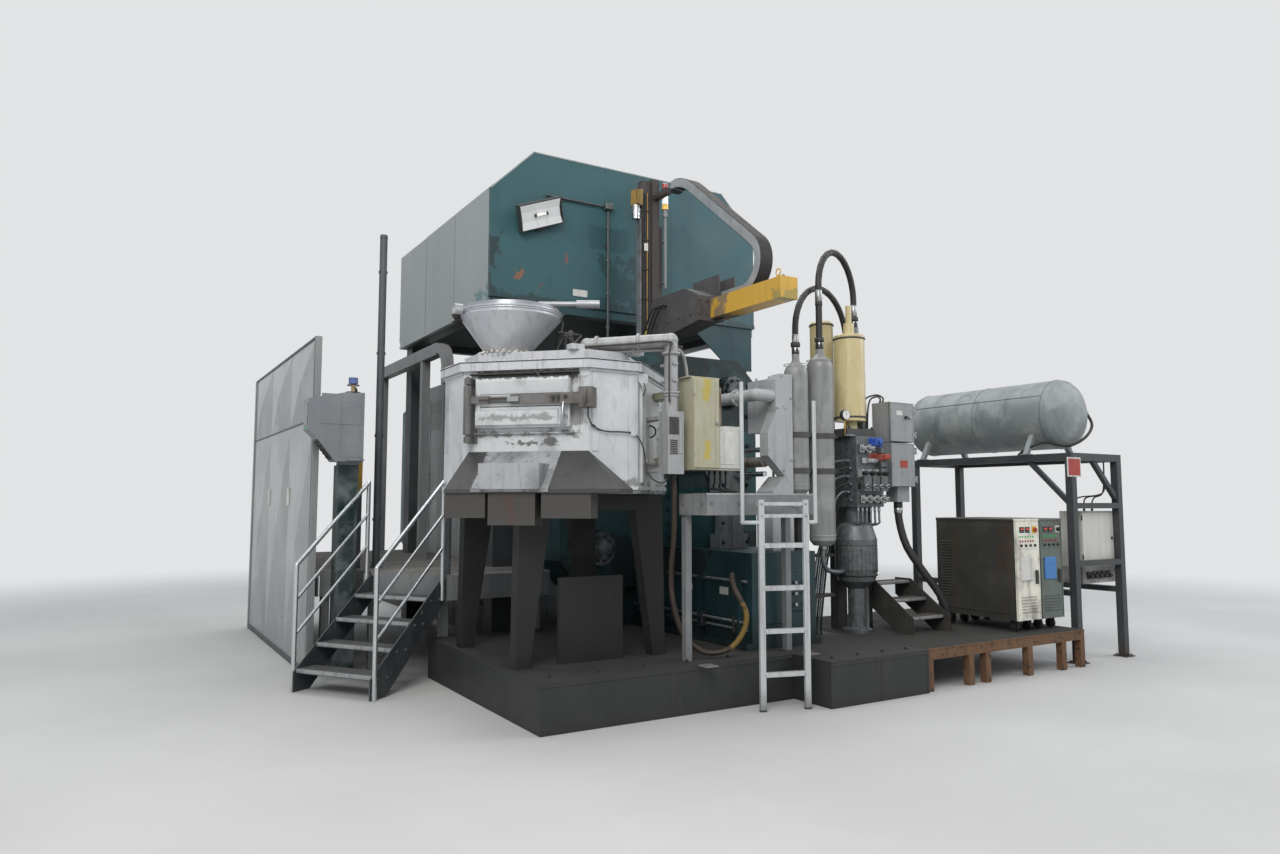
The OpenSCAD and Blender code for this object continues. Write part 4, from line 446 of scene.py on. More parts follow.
def circle(centre, axis, radius, count, start=0.0):
    """count points round a centre."""
    axis = Vector(axis).normalized()
    u = Vector((0, 0, 1)) if abs(axis.z) < 0.9 else Vector((1, 0, 0))
    u = (u - axis * u.dot(axis)).normalized()
    v = axis.cross(u)
    turns = [math.radians(start) + 2 * math.pi * i / count for i in range(count)]
    return [Vector(centre) + (u * math.cos(w) + v * math.sin(w)) * radius for w in turns]


# Geometry Nodes trees: one shape set on each input point

TREES = {}


def scatter_tree(name, numbers, build):
    """A tree that sets one shape on every input point; build returns the shape's socket, its scale and its turn."""
    tree = bpy.data.node_groups.new(name, "GeometryNodeTree")
    face = tree.interface
    face.new_socket("Geometry", in_out="INPUT", socket_type="NodeSocketGeometry")
    for label, value in numbers.items():
        kind = {int: "NodeSocketInt", float: "NodeSocketFloat", tuple: "NodeSocketVector"}[type(value)]
        face.new_socket(label, in_out="INPUT", socket_type=kind).default_value = value
    face.new_socket("Rotation", in_out="INPUT", socket_type="NodeSocketRotation")
    face.new_socket("Material", in_out="INPUT", socket_type="NodeSocketMaterial")
    face.new_socket("Geometry", in_out="OUTPUT", socket_type="NodeSocketGeometry")
    given = tree.nodes.new("NodeGroupInput").outputs
    shape, scale, turn = build(tree, given)
    wants = {"Points": given["Geometry"], "Instance": shape, "Rotation": turn or given["Rotation"]}
    if scale:
        wants["Scale"] = scale
    real = add(tree, "GeometryNodeRealizeInstances", {0: add(tree, "GeometryNodeInstanceOnPoints", wants)})
    painted = add(tree, "GeometryNodeSetMaterial", {"Geometry": real, "Material": given["Material"]})
    add(tree, "NodeGroupOutput", {0: painted})
    TREES[name] = tree


def shaft(tree, given, sides, wide=1.0, high=1.0, foot=0.0):
    """A prism on z = 0; wide and high are shares of the given radius and height, foot the share it is raised."""
    shares = (("Radius", wide), ("Height", high), ("Height", high / 2 + foot))
    r, h, z = (add(tree, "Math", {0: given[k], 1: share}, operation="MULTIPLY") for k, share in shares)
    body = add(tree, "GeometryNodeMeshCylinder", {"Vertices": sides, "Radius": r, "Depth": h}, fill_type="NGON")
    return add(tree, "GeometryNodeTransform", {"Geometry": body, "Translation": add(tree, "CombineXYZ", {"Z": z})})


def joined(tree, *shapes):
    n = tree.nodes.new("GeometryNodeJoinGeometry")
    for s in shapes:
        tree.links.new(s, n.inputs[0])
    return n.outputs[0]


def bolt_tree(tree, given):
    """Washer, hexagon head and thread end."""
    washer = shaft(tree, given, 16, 1.35, 0.22)
    head = shaft(tree, given, 6, 1.0, 1.0, 0.18)
    stub = shaft(tree, given, 12, 0.55, 0.5, 1.1)
    return joined(tree, stub, head, washer), None, None


def slat_tree(tree, given):
    """A block, tilted as one slat or rib."""
    block = add(tree, "GeometryNodeMeshCube", {"Size": given["Size"]})
    return add(tree, "GeometryNodeTransform", {"Geometry": block, "Rotation": given["Tilt"]}), None, None


def disc_tree(tree, given):
    """A flat round knob with a smaller cap."""
    low = shaft(tree, given, given["Sides"])
    cap = shaft(tree, given, given["Sides"], 0.8, 0.25, 1.0)
    return joined(tree, cap, low), None, None


def lozenge_tree(tree, given):
    """Raised lozenge of tread plate: a low four-sided stud drawn long."""
    foot = add(tree, "Math", {0: given["Width"], 1: 2.0}, operation="MULTIPLY")
    sizes = {"Vertices": 4, "Radius Top": given["Width"], "Radius Bottom": foot, "Depth": given["Height"]}
    stud = add(tree, "GeometryNodeMeshCone", sizes)
    return add(tree, "GeometryNodeTransform", {"Geometry": stud, "Scale": (2.6, 1.0, 1.0)}), None, None


def crumb_tree(tree, given):
    """A lump of dried dross: a ball with a knobbly skin, each one turned and drawn differently."""
    ball = add(tree, "GeometryNodeMeshIcoSphere", {"Radius": given["Size"], "Subdivisions": 3})
    knobs = add(tree, "TexNoise", {"Vector": add(tree, "GeometryNodeInputPosition"), "Scale": 55.0, "Detail": 2.0})
    knobs = add(tree, "Math", {0: knobs, 1: 0.45}, operation="SUBTRACT")
    reach = add(tree, "Math", {0: given["Size"], 1: 1.8}, operation="MULTIPLY")
    push = add(tree, "Math", {0: knobs, 1: reach}, operation="MULTIPLY")
    out = add(tree, "GeometryNodeInputNormal")
    offset = add(tree, "VectorMath", {0: out, "Scale": push}, operation="SCALE")
    lump = add(tree, "GeometryNodeSetPosition", {"Geometry": ball, "Offset": offset})
    size, turn = (
        add(tree, "FunctionNodeRandomValue", {0: lo, 1: hi, 8: given["Seed"]}, data_type="FLOAT_VECTOR")
        for lo, hi in (((0.55, 0.55, 0.35), (1.5, 1.5, 0.9)), ((0.0, 0.0, 0.0), (0.5, 0.5, 6.28))))
    return lump, size, turn


def make_trees():
    scatter_tree("bolt", {"Radius": 0.02, "Height": 0.02}, bolt_tree)
    scatter_tree("slat", {"Size": (0.1, 0.01, 0.02), "Tilt": (0.0, 0.0, 0.0)}, slat_tree)
    scatter_tree("disc", {"Radius": 0.02, "Height": 0.01, "Sides": 16}, disc_tree)
    scatter_tree("lozenge", {"Width": 0.004, "Height": 0.003}, lozenge_tree)
    scatter_tree("crumb", {"Size": 0.02, "Seed": 7}, crumb_tree)


def metal_kit():
    """Small-part materials that many pieces share."""
    return SimpleNamespace(
        # Zinc-plated turned or pressed parts: light, smooth metal
        zinc=coat("zinc_plated_steel", "#a9abac", fade="#8b8d8d", rough=0.35, metal=0.9, patch=60, bump=0.05),
        # Oiled steel screws and straps: dark, half dull, rust spots
        steel=coat("oiled_dark_steel", "#3d3e3d", fade="#4c4a46", chips="#6a4a33", rough=0.55, metal=0.4, patch=150,
            chip_mm=20),
        # Moulded rubber and cable sheath: near black, dusty
        black=coat("moulded_rubber", "#1d1e1f", fade="#2c2c2b", rough=0.6, patch=80, bump=0.1, dust="#4a4743"),
        # White plastic plate without its text: clean, a few runs
        white=coat("engraved_white_plastic", "#d3d3cd", fade="#b9b8ad", streak="#8f8a7a", rough=0.45, patch=120,
            bump=0.04),
        # Red plastic plate, faded
        red=coat("engraved_red_plastic", "#a5382c", fade="#8a3a2f", rough=0.45, patch=120, bump=0.04),
        # Sprayed paint: light grey, chipped dark
        grey=coat("sprayed_grey_paint", "#a3a6a5", fade="#8b8d8c", streak="#6f6f6c", chips="#585754", rough=0.45,
            patch=150),
        # Turned brass: warm metal, browned
        brass=coat("turned_brass", "#a58a4a", fade="#7d6a3c", rough=0.35, metal=0.8, patch=40, bump=0.05),
    )


# Finishes of the CAD nodes: coat name, the nodes that wear it, its look

# Middle and turn of the furnace, for patterns that follow its sides
FURNACE = (-1.85, -1.72, -45)
# The amber, white and blue bands of the stack light, which shine a little
LIT_BANDS = (0.1, -0.5, 5.15), (0.23, -0.3, 5.392)
FINISHES = [
    # Brushed floor paint on cast blocks: near black, matt, darker where oil and dirt settled at the foot.
    ("oiled_floor_paint", "plinth", dict(base="#272928", fade="#363735", streak="#1d1e1e", chips="#3d342c",
        dust="#32312f", rough=0.6, patch=500, chip_mm=70, chip_at=0.7, low=("#232220", 0.0, 0.15))),
    # Hot-rolled steel plate under oily dirt: dull, blotchy, with a little brown rust.
    ("oiled_deck_plate", "side_deck", dict(base="#242523", fade="#33322f", streak="#1a1a19", chips="#4d3c2e",
        dust="#302f2c", rough=0.75, patch=350, chip_mm=60, chip_at=0.7, bump=0.3)),
    # Rolled steel sections without paint: rough brown rust with dark scale left in places.
    ("rusted_rolled_steel", "deck_beams deck_posts", dict(base="#6a4c34", fade="#7d6248", streak="#443226",
        chips="#36322e", rough=0.85, patch=180, chip_mm=50, chip_at=0.6, bump=0.4)),
    # Sprayed enamel on iron castings: dark teal, satin, worn at the edges, oily grime below.
    ("sprayed_enamel_casting", "machine_bed fixed_platen moving_platen end_platen closing_cylinder",
        dict(base="machine", fade="#264549", streak="#111d1f", chips="#12191a", rough=0.5, patch=600, worn=0.006,
        dust="#3a3f3d", low=("#141616", 0.5, 1.6), blots=[((-1.4, -0.7, 2.6), (1.4, -0.5, 3.5), "#1b2627", 0.2),
            ((-1.4, -0.7, 0.7), (1.4, -0.5, 1.3), "#16201f", 0.2)])),
    # The same enamel under an oil film: darker, a little shinier, blackened below.
    ("oily_enamel_casting", "shot_pedestal", dict(base="#18363a", fade="#22444a", streak="#0e1415", chips="#0f1415",
        rough=0.45, patch=300, worn=0.006, low=("#141615", 0.45, 0.9),
        blots=[((-0.5, -2.0, 0.9), (0.5, -0.6, 1.3), "#171b1b", 0.15)])),
    # Hard-chromed ground bars: bright mirror-like metal, with dark nuts at their ends.
    ("hard_chromed_steel", "tie_bars", dict(base="#c9cdcf", fade="#aeb2b4", rough=0.22, metal=1.0, patch=200, grain=3,
        bump=0.03, areas=[((-1.2, -0.9, 0.9), (1.2, -0.63, 3.3), "#3c4142", 0.45, 0.6)])),
    # Ground and polished steel: bright, browned by heat at the coupling.
    ("ground_piston_steel", "shot_rods", dict(base="#c9cdcf", fade="#aeb2b4", rough=0.25, metal=1.0, patch=200,
        grain=3, bump=0.03, areas=[((-0.01, -2.34, 2.03), (0.11, -1.86, 2.14), "#6d5a4b", 0.4, 0.6)])),
    # Enamelled folded sheet: even grey, satin, faint runs.
    ("grey_enamel_sheet", "clamp_cover", dict(base="#8f9693", fade="#a3a9a6", streak="#6d726f", chips="#5a5d5b",
        rough=0.5, patch=500, chip_at=0.7)),
    # Lacquered pressed sheet: pale grey with a soft sheen, and painted light and shade on its folds: faces turned up
    # and towards +y are painted lighter, the others darker.
    ("pressed_sheet_lacquer", "guard_wall", dict(base="#a0a5a4", fade="#abafad", streak="#8b8f8e", rough=0.34,
        metal=0.4, patch=700, amount=0.4, lean=(0.0, 0.7, 0.7),
        areas=[((-3.75, 0.2, 0.0), (-3.3, 0.34, 3.4), "#2f3335", 0.5, 0.0)])),
    # Enamelled turned steel under grease: teal, with a dull grey flange and a dark grey barrel.
    ("greasy_enamel_steel", "shot_unit", dict(base="#1f4247", fade="#2b4f53", streak="#141b1c", chips="#12191a",
        rough=0.5, patch=400, areas=[((-0.2, -1.86, 1.2), (0.3, -1.64, 2.4), "#77797a", 0.7, 0.0),
            ((-0.25, -1.64, 1.85), (0.3, -1.07, 2.35), "#3d4446", 0.5, 0.0)])),
    # Sand casting under grey lacquer: pale, slightly uneven, worn at the edges.
    ("lacquered_sand_casting", "valve_housing", dict(base="#a6a8a8", fade="#b4b6b5", streak="#86888a",
        chips="#6b6c6b", rough=0.45, patch=320, chip_mm=40, chip_at=0.72, bump=0.2, worn=0.003)),
    # Lacquered drawn steel bottles: mid grey, slightly glossy, long thin runs.
    ("rolled_bottle_lacquer", "gas_bottles", dict(base="#868885", fade="#a0a29e", streak="#6c6e6c", chips="#6a6b6b",
        rough=0.42, patch=180, gloss=0.15, chip_at=0.72, streak_mm=(60, 420), amount=0.6)),
    # Gloss lacquer on turned steel: cream, clear highlights, yellowed runs.
    ("cream_gloss_lacquer", "cream_cylinders", dict(base="#cdbd8b", fade="#d9cda5", streak="#a9925e", chips="#7e6f4c",
        rough=0.35, patch=300, gloss=0.3, chip_at=0.7, streak_mm=(40, 500))),
    # Painted welded angle steel: dark, dusty on top, rust at the chips.
    ("dusty_angle_steel", "accumulator_rack", dict(base="#414240", fade="#52514e", streak="#2c2c2b", chips="#5f4838",
        rough=0.6, patch=200, chip_mm=35, chip_at=0.7, dust="#55524b")),
    # Painted square tube: dark blue grey, satin, rusty near the floor.
    ("painted_box_section", "vessel_frame", dict(base="#393c3e", fade="#4a4c4c", streak="#2b2e30", chips="#5a4335",
        rough=0.55, patch=400, chip_mm=40, chip_at=0.7, low=("#4d3d32", 0.0, 0.25))),
    # Extruded rubber: near black, matt, dusty on top.
    ("extruded_hose_rubber", "arched_hoses box_hose", dict(base="#232424", fade="#33322f", rough=0.55, patch=120,
        dust="#504b44", bump=0.2)),
    # Woven hose cover soaked with oil: dark brown, ochre along its last bend.
    ("braided_hose_cover", "loop_hose", dict(base="#33281f", fade="#463829", rough=0.6, patch=90, bump=0.25,
        chips="#211d1a", chip_mm=30, chip_at=0.64, blots=[((-0.8, -3.0, 0.3), (-0.55, -2.6, 0.82), "#7d6326",
                0.05)])),
    # Powder-coated folded sheet: even mid grey with a slight gloss.
    ("powder_coated_sheet", "control_boxes upper_box_door lower_box_door",
        dict(base="#8f9292", fade="#9fa2a1", streak="#747675", chips="#666867", rough=0.4, patch=260, gloss=0.15,
        chip_at=0.72)),
    # Painted plate and angle steel: grey, worn at the edges, dusty and dull where it is walked on.
    ("walked_platform_paint", "service_platform operator_platform door_rail",
        dict(base="#77797a", fade="#8b8c8a", streak="#585957", chips="#4a4641", dust="#66625b", rough=0.55, patch=300,
        chip_mm=50, chip_at=0.7, worn=0.003)),
    # Painted plate steel: dark grey, bare and bright where feet rub.
    ("walked_stair_steel", "stair", dict(base="#3c3f42", fade="#505457", streak="#2c2e30", chips="#8b8d8c",
        dust="#5b5b58", rough=0.5, metal=0.2, patch=250, chip_mm=60, chip_at=0.66, worn=0.006)),
    # Oily plate steel: brown black, rust at the chips.
    ("oily_step_plate", "inner_steps", dict(base="#3b3a37", fade="#4d4a45", streak="#292826", chips="#6a4a33",
        dust="#504c45", rough=0.65, patch=200, chip_mm=40, worn=0.005)),
    # Brushed paint on welded tube: off-white, grey where hands and feet rub, grimy at the foot.
    ("brushed_ladder_paint", "ladder", dict(base="#bfc3c3", fade="#cfd2d1", streak="#8f8c84", chips="#6b6965",
        rough=0.42, metal=0.2, patch=180, chip_mm=40, low=("#45413c", 0.0, 0.3), worn=0.003, chip_at=0.68)),
    # Sprayed enamel on sheet, smoked from inside: teal with faded clouds, soot and small rust stains.
    ("smoked_teal_enamel", "hood_front", dict(base="hood", fade="#356269", streak="#24474d", rough=0.5, patch=700,
        streak_mm=(500, 1500), amount=0.6, chips="#4f5b5a", chip_mm=90, chip_at=0.71,
        blots=[((-1.88, 0.0, 4.25), (-1.74, 0.12, 4.66), "#1f2f32", 0.1),
            ((-1.9, 0.0, 4.0), (-1.8, 0.12, 4.3), "#223335", 0.08),
            ((-1.54, 0.0, 4.2), (-1.46, 0.12, 4.28), "#8a5c3c", 0.05),
            ((-1.29, 0.0, 4.02), (-1.23, 0.12, 4.14), "#6d5243", 0.06),
            ((-0.925, 0.0, 4.45), (-0.89, 0.12, 4.57), "#7a4f4c", 0.02),
            ((-0.62, 0.0, 4.68), (-0.08, 0.12, 4.97), "#264a50", 0.02),
            ((-0.45, 0.0, 4.0), (0.3, 0.12, 4.62), "#223f43", 0.14),
            ((-1.9, 0.0, 3.9), (1.9, 0.12, 4.03), "#22383b", 0.06)])),
    # The hood's enamel on thin hanging sheet: darker, with rubbed grey patches.
    ("teal_apron_enamel", "hood_apron", dict(base="#1f4146", fade="#2c5157", streak="#15292c", chips="#4c5655",
        rough=0.55, patch=500, amount=0.7, chip_at=0.7)),
    # Enamelled sheet of the hood's walls and roof: the teal enamel painted pale grey as painted light on these sides,
    # wide faint runs, real dust on the roof.
    ("dusty_hood_enamel", "hood_walls hood_roof", dict(base="#949b99", fade="#a4aaa7", streak="#848b89", rough=0.5,
        patch=1100, amount=0.35, streak_mm=(500, 1800), dust="#84857f",
        blots=[((-1.9, -0.1, 3.7), (-1.8, 0.5, 4.1), "#4f7a7d", 0.1)])),
    # Die-cast aluminium: dark grey, dull metal, fine runs.
    ("die_cast_aluminium", "hood_lamp", dict(base="#4a4e4e", fade="#5d6160", streak="#3a3d3d", rough=0.4, metal=0.4,
        patch=90, bump=0.05)),
    # Paint burnt by the die's heat: brown grey, pitted, rusty at the edges.
    ("burnt_carriage_paint", "spray_carriage", dict(base="#4c4a4b", fade="#5d5956", streak="#353333", chips="#6e5a48",
        rough=0.55, patch=200, chip_mm=35, chip_at=0.68, bump=0.25, worn=0.004)),
    # Burnt and oiled steel tube: dark brown, with a zinc cover, a bright nozzle and fibre wrapping.
    ("burnt_mast_steel", "spray_mast", dict(base="#3d3836", fade="#4f4844", streak="#292625", chips="#5f5146",
        rough=0.6, patch=140, chip_mm=30, chip_at=0.66, bump=0.25,
        areas=[((-0.16, -0.5, 3.4), (-0.127, -0.1, 5.6), "#83878a", 0.4, 0.2),
            ((-0.24, -0.37, 5.0), (-0.13, -0.25, 5.163), "#cfd2d3", 0.2, 1.0),
            ((-0.22, -0.37, 5.163), (-0.12, -0.25, 5.37), "#a58540", 0.8, 0.0)])),
    # Enamelled box section: signal yellow, slightly glossy, browned at its root.
    ("yellow_beam_enamel", "spray_beam", dict(base="beam", fade="#dcaa3c", streak="#b08632", chips="#6d5c34",
        rough=0.42, patch=260, chip_mm=25, chip_at=0.7, worn=0.003, gloss=0.1, bump=0.15,
        blots=[((-0.1, -2.75, 3.58), (0.2, -2.6, 3.7), "#9a8a45", 0.05),
            ((-0.1, -1.85, 3.5), (0.2, -1.5, 3.9), "#75685a", 0.12)])),
    # Moulded polyamide links: black, smooth, with pale worn flanks.
    ("moulded_polyamide", "energy_chain", dict(base="#2b2c2e", fade="#3a3b3c", flank="#a9acae", rough=0.45, metal=0.3,
        patch=90, bump=0.1)),
    # Moulded clear plastic caps: glossy bands of amber, white, blue and red on a grey foot.
    ("moulded_lens_plastic", "stack_light", dict(base="#7b7d7e", fade="#8d8f90", rough=0.4, patch=60, bump=0.05,
        gloss=0.3, areas=[((0.1, -0.5, 5.146), (0.23, -0.3, 5.208), "#e0b02a", 0.25, 0.0),
            ((0.1, -0.5, 5.208), (0.23, -0.3, 5.332), "#e9edf2", 0.25, 0.0),
            ((0.1, -0.5, 5.332), (0.23, -0.3, 5.394), "#3f7fe0", 0.25, 0.0),
            ((0.1, -0.5, 5.394), (0.23, -0.3, 5.46), "#c2362b", 0.25, 0.0)])),
    # Heatproof aluminium paint on sheet: silvery white, dull metal, stained with soot round the mouth.
    ("heatproof_silver_paint", "furnace_shell furnace_door", dict(base="#cacdcd", fade="#dbdddc", streak="#989b9b",
        chips="#6e6f70", rough=0.42, metal=0.2, patch=380, amount=0.6, chip_mm=45, chip_at=0.7, bump=0.15,
        streak_mm=(220, 500), local=FURNACE, areas=[((-1.0, -0.62, 2.11), (-0.462, 0.9, 2.74), "#b2b5ba", 0.4,
                0.3), ((-0.42, -0.86, 2.28), (0.42, -0.2, 2.72), "#4b4440", 0.85, 0.0)],
        blots=[((-0.16, -0.9, 2.165), (0.12, -0.8, 2.19), "#4c4a47", 0.035),
            ((0.15, -0.9, 2.15), (0.28, -0.8, 2.235), "#4c4a47", 0.04),
            ((0.4, -0.95, 2.3), (0.52, -0.8, 2.72), "#8c8b88", 0.1),
            ((-0.38, -1.0, 2.36), (0.38, -0.9, 2.4), "#8f8e8b", 0.04),
            ((-0.5, -0.95, 2.24), (0.5, -0.8, 2.27), "#7d7c79", 0.05),
            ((-0.9, -1.1, 1.84), (1.0, 1.1, 1.86), "#8a8a88", 0.07),
            ((-0.42, -1.1, 2.7), (0.46, -0.8, 2.78), "#3c3a38", 0.015),
            ((-1.1, -1.1, 1.76), (1.1, 1.1, 1.8), "#6a6a69", 0.04)])),
    # The same paint under spilt dross: pale, rough and grainy.
    ("crusted_silver_paint", "furnace_top_plate", dict(base="#c3c5c8", fade="#d2d3d3", streak="#8b8b89",
        chips="#7f7d78", rough=0.6, metal=0.2, patch=160, grain=10, bump=0.4, chip_mm=60, chip_at=0.66,
        dust="#8f8c85")),
    # Rolled and welded stainless sheet: soft metal sheen, long runs, grey rim.
    ("rolled_stainless_sheet", "hopper", dict(base="#bec1c5", fade="#cccfd1", streak="#9da0a2", chips="#8a8782",
        rough=0.36, metal=0.5, patch=300, streak_mm=(60, 700), chip_mm=70, chip_at=0.7, bump=0.15,
        upper=("#85878a", 3.345, 3.375), blots=[((-2.8, -2.2, 2.9), (-2.0, -1.4, 3.0), "#d3d1ca", 0.04)])),
    # Scorched plate steel: dark grey, matt, with a silver box and reddish paint left on one lug.
    ("scorched_plate_steel", "furnace_apron", dict(base="#3a3b39", fade="#4b4c4a", streak="#2c2c2b", chips="#6b6a66",
        rough=0.5, patch=350, chip_mm=60, chip_at=0.7, bump=0.2, low=("#4a4843", 1.45, 1.75), local=FURNACE,
        areas=[((-0.32, -1.4, 1.78), (0.32, -0.7, 2.2), "#a9abad", 0.45, 0.1)],
        blots=[((-1.2, -1.4, 1.3), (1.2, 0.6, 1.765), "#423f3b", 0.02),
            ((-0.33, -1.4, 1.8), (-0.31, -0.9, 2.1), "#4d4d4d", 0.03),
            ((-0.03, -1.3, 1.5), (0.04, -0.8, 1.74), "#4a3530", 0.04)])),
    # Forged steel with scale: brown grey, dull metal, rubbed at the edges.
    ("forged_bar_steel", "door_bar door_hinge_bracket", dict(base="#6c6b69", fade="#82817e", streak="#4d4b48",
        chips="#3f3b36", rough=0.45, metal=0.3, patch=140, chip_at=0.7, worn=0.004, local=FURNACE,
        areas=[((0.44, -1.2, 2.3), (0.7, -0.8, 2.75), "#5a534d", 0.5, 0.1),
            ((0.2, -1.2, 2.49), (0.44, -0.8, 2.56), "#605b55", 0.5, 0.1)])),
    # Aluminium paint sprayed over lagged pipe: light grey, lumpy, chipped in small spots.
    ("sprayed_pipe_paint", "burner_pipe", dict(base="#a2a3a3", fade="#b3b4b3", streak="#7d7d7a", chips="#77746e",
        rough=0.55, metal=0.3, patch=110, chip_mm=25, chip_at=0.66, bump=0.35)),
    # Stove enamel on folded sheet: beige, satin, thin runs, two yellowed spots; the second box is pale grey.
    ("beige_stove_enamel", "furnace_cabinets", dict(base="#aba88f", fade="#b8b5a0", streak="#989072", chips="#7c7760",
        rough=0.45, patch=250, streak_mm=(50, 400), chip_at=0.72,
        areas=[((-0.94, -2.9, 1.9), (-0.64, -2.5, 2.36), "#c9c9c4", 0.45, 0.0),
            ((-0.94, -2.9, 2.345), (-0.85, -2.5, 2.69), "#5c4638", 0.6, 0.0)],
        blots=[((-1.1, -3.0, 2.55), (-1.03, -2.9, 2.74), "#b8a648", 0.03),
            ((-1.1, -3.0, 2.05), (-1.03, -2.9, 2.2), "#b8a648", 0.03)])),
    # The same enamel in ivory, with a grey socket strip below.
    ("ivory_stove_enamel", "frame_cabinet", dict(base="#c9c8c0", fade="#d5d4cd", streak="#a5a394", chips="#74705f",
        rough=0.45, patch=250, chip_at=0.72, areas=[((3.7, -3.3, 0.8), (4.4, -2.9, 0.996), "#6f706c", 0.5,
                0.0)])),
    # Brushed paint on rolled plate: blue grey with pale clouds and wide runs.
    ("brushed_vessel_paint", "vessel", dict(base="#828988", fade="#a3a8a6", streak="#666d6d", chips="#5c6366",
        rough=0.46, patch=260, streak_mm=(200, 500), amount=0.7, chip_mm=90, chip_at=0.72, bump=0.1)),
    # Enamelled sheet under oil and rust water: dark sides with brown runs; one front is cream, one green grey.
    ("oily_unit_enamel", "cooling_units", dict(base="#3d3d3a", fade="#4c4c48", streak="#553e2f", chips="#644a36",
        rough=0.42, patch=260, chip_mm=40, chip_at=0.7, dust="#4a4741", streak_mm=(70, 700),
        areas=[((2.5, -3.3, 0.5), (2.95, -3.2095, 1.6), "#e9e6d8", 0.4, 0.0),
            ((2.95, -3.3, 0.5), (3.4, -3.2095, 1.6), "#5f6a62", 0.4, 0.0),
            ((2.5, -3.3, 0.3), (3.4, -2.1, 0.49), "#242424", 0.5, 0.2)],
        blots=[((2.4, -3.15, 0.85), (2.56, -3.02, 1.58), "#49372c", 0.05)])),
    # Hot-dip galvanised tube, polished by hands: bright, cool, smooth metal.
    ("galvanised_tube", "stair_rails", dict(base="#cdd0d1", fade="#bfc2c3", rough=0.22, metal=0.85, patch=400,
        bump=0.03)),
    # Powder-coated sheet: even blue grey on a dark green column, amber and blue lamp on top.
    ("console_powder_coat", "control_console", dict(base="#7d8184", fade="#8c9092", streak="#6c6f71", chips="#5b5d5f",
        rough=0.42, patch=300, chip_at=0.73, areas=[((-3.45, 0.05, -0.1), (-3.1, 0.35, 2.09), "#16302c", 0.22,
                0.0), ((-3.35, -0.1, 2.785), (-3.2, 0.1, 2.86), "#c79a3e", 0.4, 0.0),
            ((-3.35, -0.1, 2.86), (-3.2, 0.1, 2.95), "#2f55a8", 0.3, 0.0)])),
    # Painted round tube: dark blue grey, satin, with a yellow strip.
    ("painted_round_tube", "guard_pole", dict(base="#4a4f53", fade="#5f6467", streak="#383c3f", chips="#6a6c6c",
        rough=0.5, patch=200, chip_at=0.7, areas=[((-3.08, 0.6, 1.8), (-3.0, 0.7, 2.8), "#d8a92c", 0.5, 0.0)])),
    # Rolled steel: dark and matt, painted nearly black as painted shade under the furnace.
    ("blackened_beam_steel", "furnace_stand", dict(base="#171717", fade="#222120", chips="#30271f", rough=0.6,
        patch=250, chip_mm=60, chip_at=0.72)),
    # Primed square tube: dark blue grey, matt, rust at the chips.
    ("primed_post_steel", "hood_posts", dict(base="#34383a", fade="#44484a", chips="#5a4335", rough=0.55, patch=400,
        chip_at=0.7)),
    # Milled and phosphated steel: mottled grey metal; the plates behind two coils are blue and red.
    ("phosphated_steel_block", "valve_block", dict(base="#5f6364", fade="#7d8182", streak="#434647", chips="#2f3132",
        rough=0.45, metal=0.4, patch=60, chip_mm=25, chip_at=0.6,
        areas=[((1.3, -2.52, 2.26), (1.5, -2.46, 2.36), "#2f55a8", 0.4, 0.0),
            ((1.3, -2.58, 2.12), (1.5, -2.46, 2.2), "#b5482f", 0.45, 0.0)])),
]


def finish(name):
    """The coat of that name, with the paint of the panel's colours where it names one."""
    look = next(row[2] for row in FINISHES if row[0] == name)
    tint = getattr(bpy.context.scene.casting_colours, look["base"], None)
    return coat(name, **dict(look, base=tuple(tint) + (1.0,) if tint else look["base"]))


def finish_nodes(context):
    """Every CAD node takes its finish; three bands of the stack light also shine a little."""
    for name, nodes, _ in FINISHES:
        for node in nodes.split():
            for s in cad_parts[node].material_slots:
                s.material = finish(name)
    t = MADE["moulded_lens_plastic"].node_tree
    shader = t.nodes["Principled BSDF"]
    lit = box_mask(t, add(t, "TexCoord", out="Object"), *LIT_BANDS)
    shine = add(t, "Math", {0: lit, 1: 0.9}, operation="MULTIPLY")
    feed(t, shader, {"Emission Strength": shine, "Emission Color": shader.inputs["Base Color"].links[0].from_socket})


# Free hoses: their routes repeat those of the packed model, in millimetres

LOOP = [(-1310, -2790, 1930), (-1290, -2770, 1700), (-1250, -2700, 1400), (-1220, -2610, 1100), (-1200, -2610, 850),
    (-1130, -2655, 580), (-1000, -2735, 445), (-880, -2805, 430), (-770, -2870, 480), (-690, -2920, 610),
    (-670, -2935, 750), (-710, -2905, 870), (-730, -2850, 960), (-690, -2760, 1040), (-600, -2650.3, 1060)]
DROP = [(1840, -2350, 1700), (1840, -2360, 1500), (1880, -2420, 1230), (2010, -2520, 970), (2140, -2610, 740),
    (2200, -2650, 560), (2210, -2640, 450), (2210, -2640, 380.3)]


def make_hoses(context):
    """The two hoses as curves, three steps for each stretch of the route, each declared with its measured length."""
    for node, points, diameter, material in (("loop_hose", LOOP, 0.046, "braided_hose_cover"),
            ("box_hose", DROP, 0.08, "extruded_hose_rubber")):
        path = smooth_path([Vector(q) / 1000 for q in points], 3)
        curve = bpy.data.curves.new(node + "_run", "CURVE")
        curve.dimensions = "3D"
        curve.bevel_depth = diameter / 2
        curve.bevel_resolution = 5
        curve.use_fill_caps = True
        line = curve.splines.new("POLY")
        line.points.add(len(path) - 1)
        for p, q in zip(line.points, path):
            p.co = (*q, 1.0)
        curve.materials.append(finish(material))
        o = bpy.data.objects.new(node + "_run", curve)
        context.scene.collection.objects.link(o)
        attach(o, "machine")
        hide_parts(node)


# Fume hood and lamp

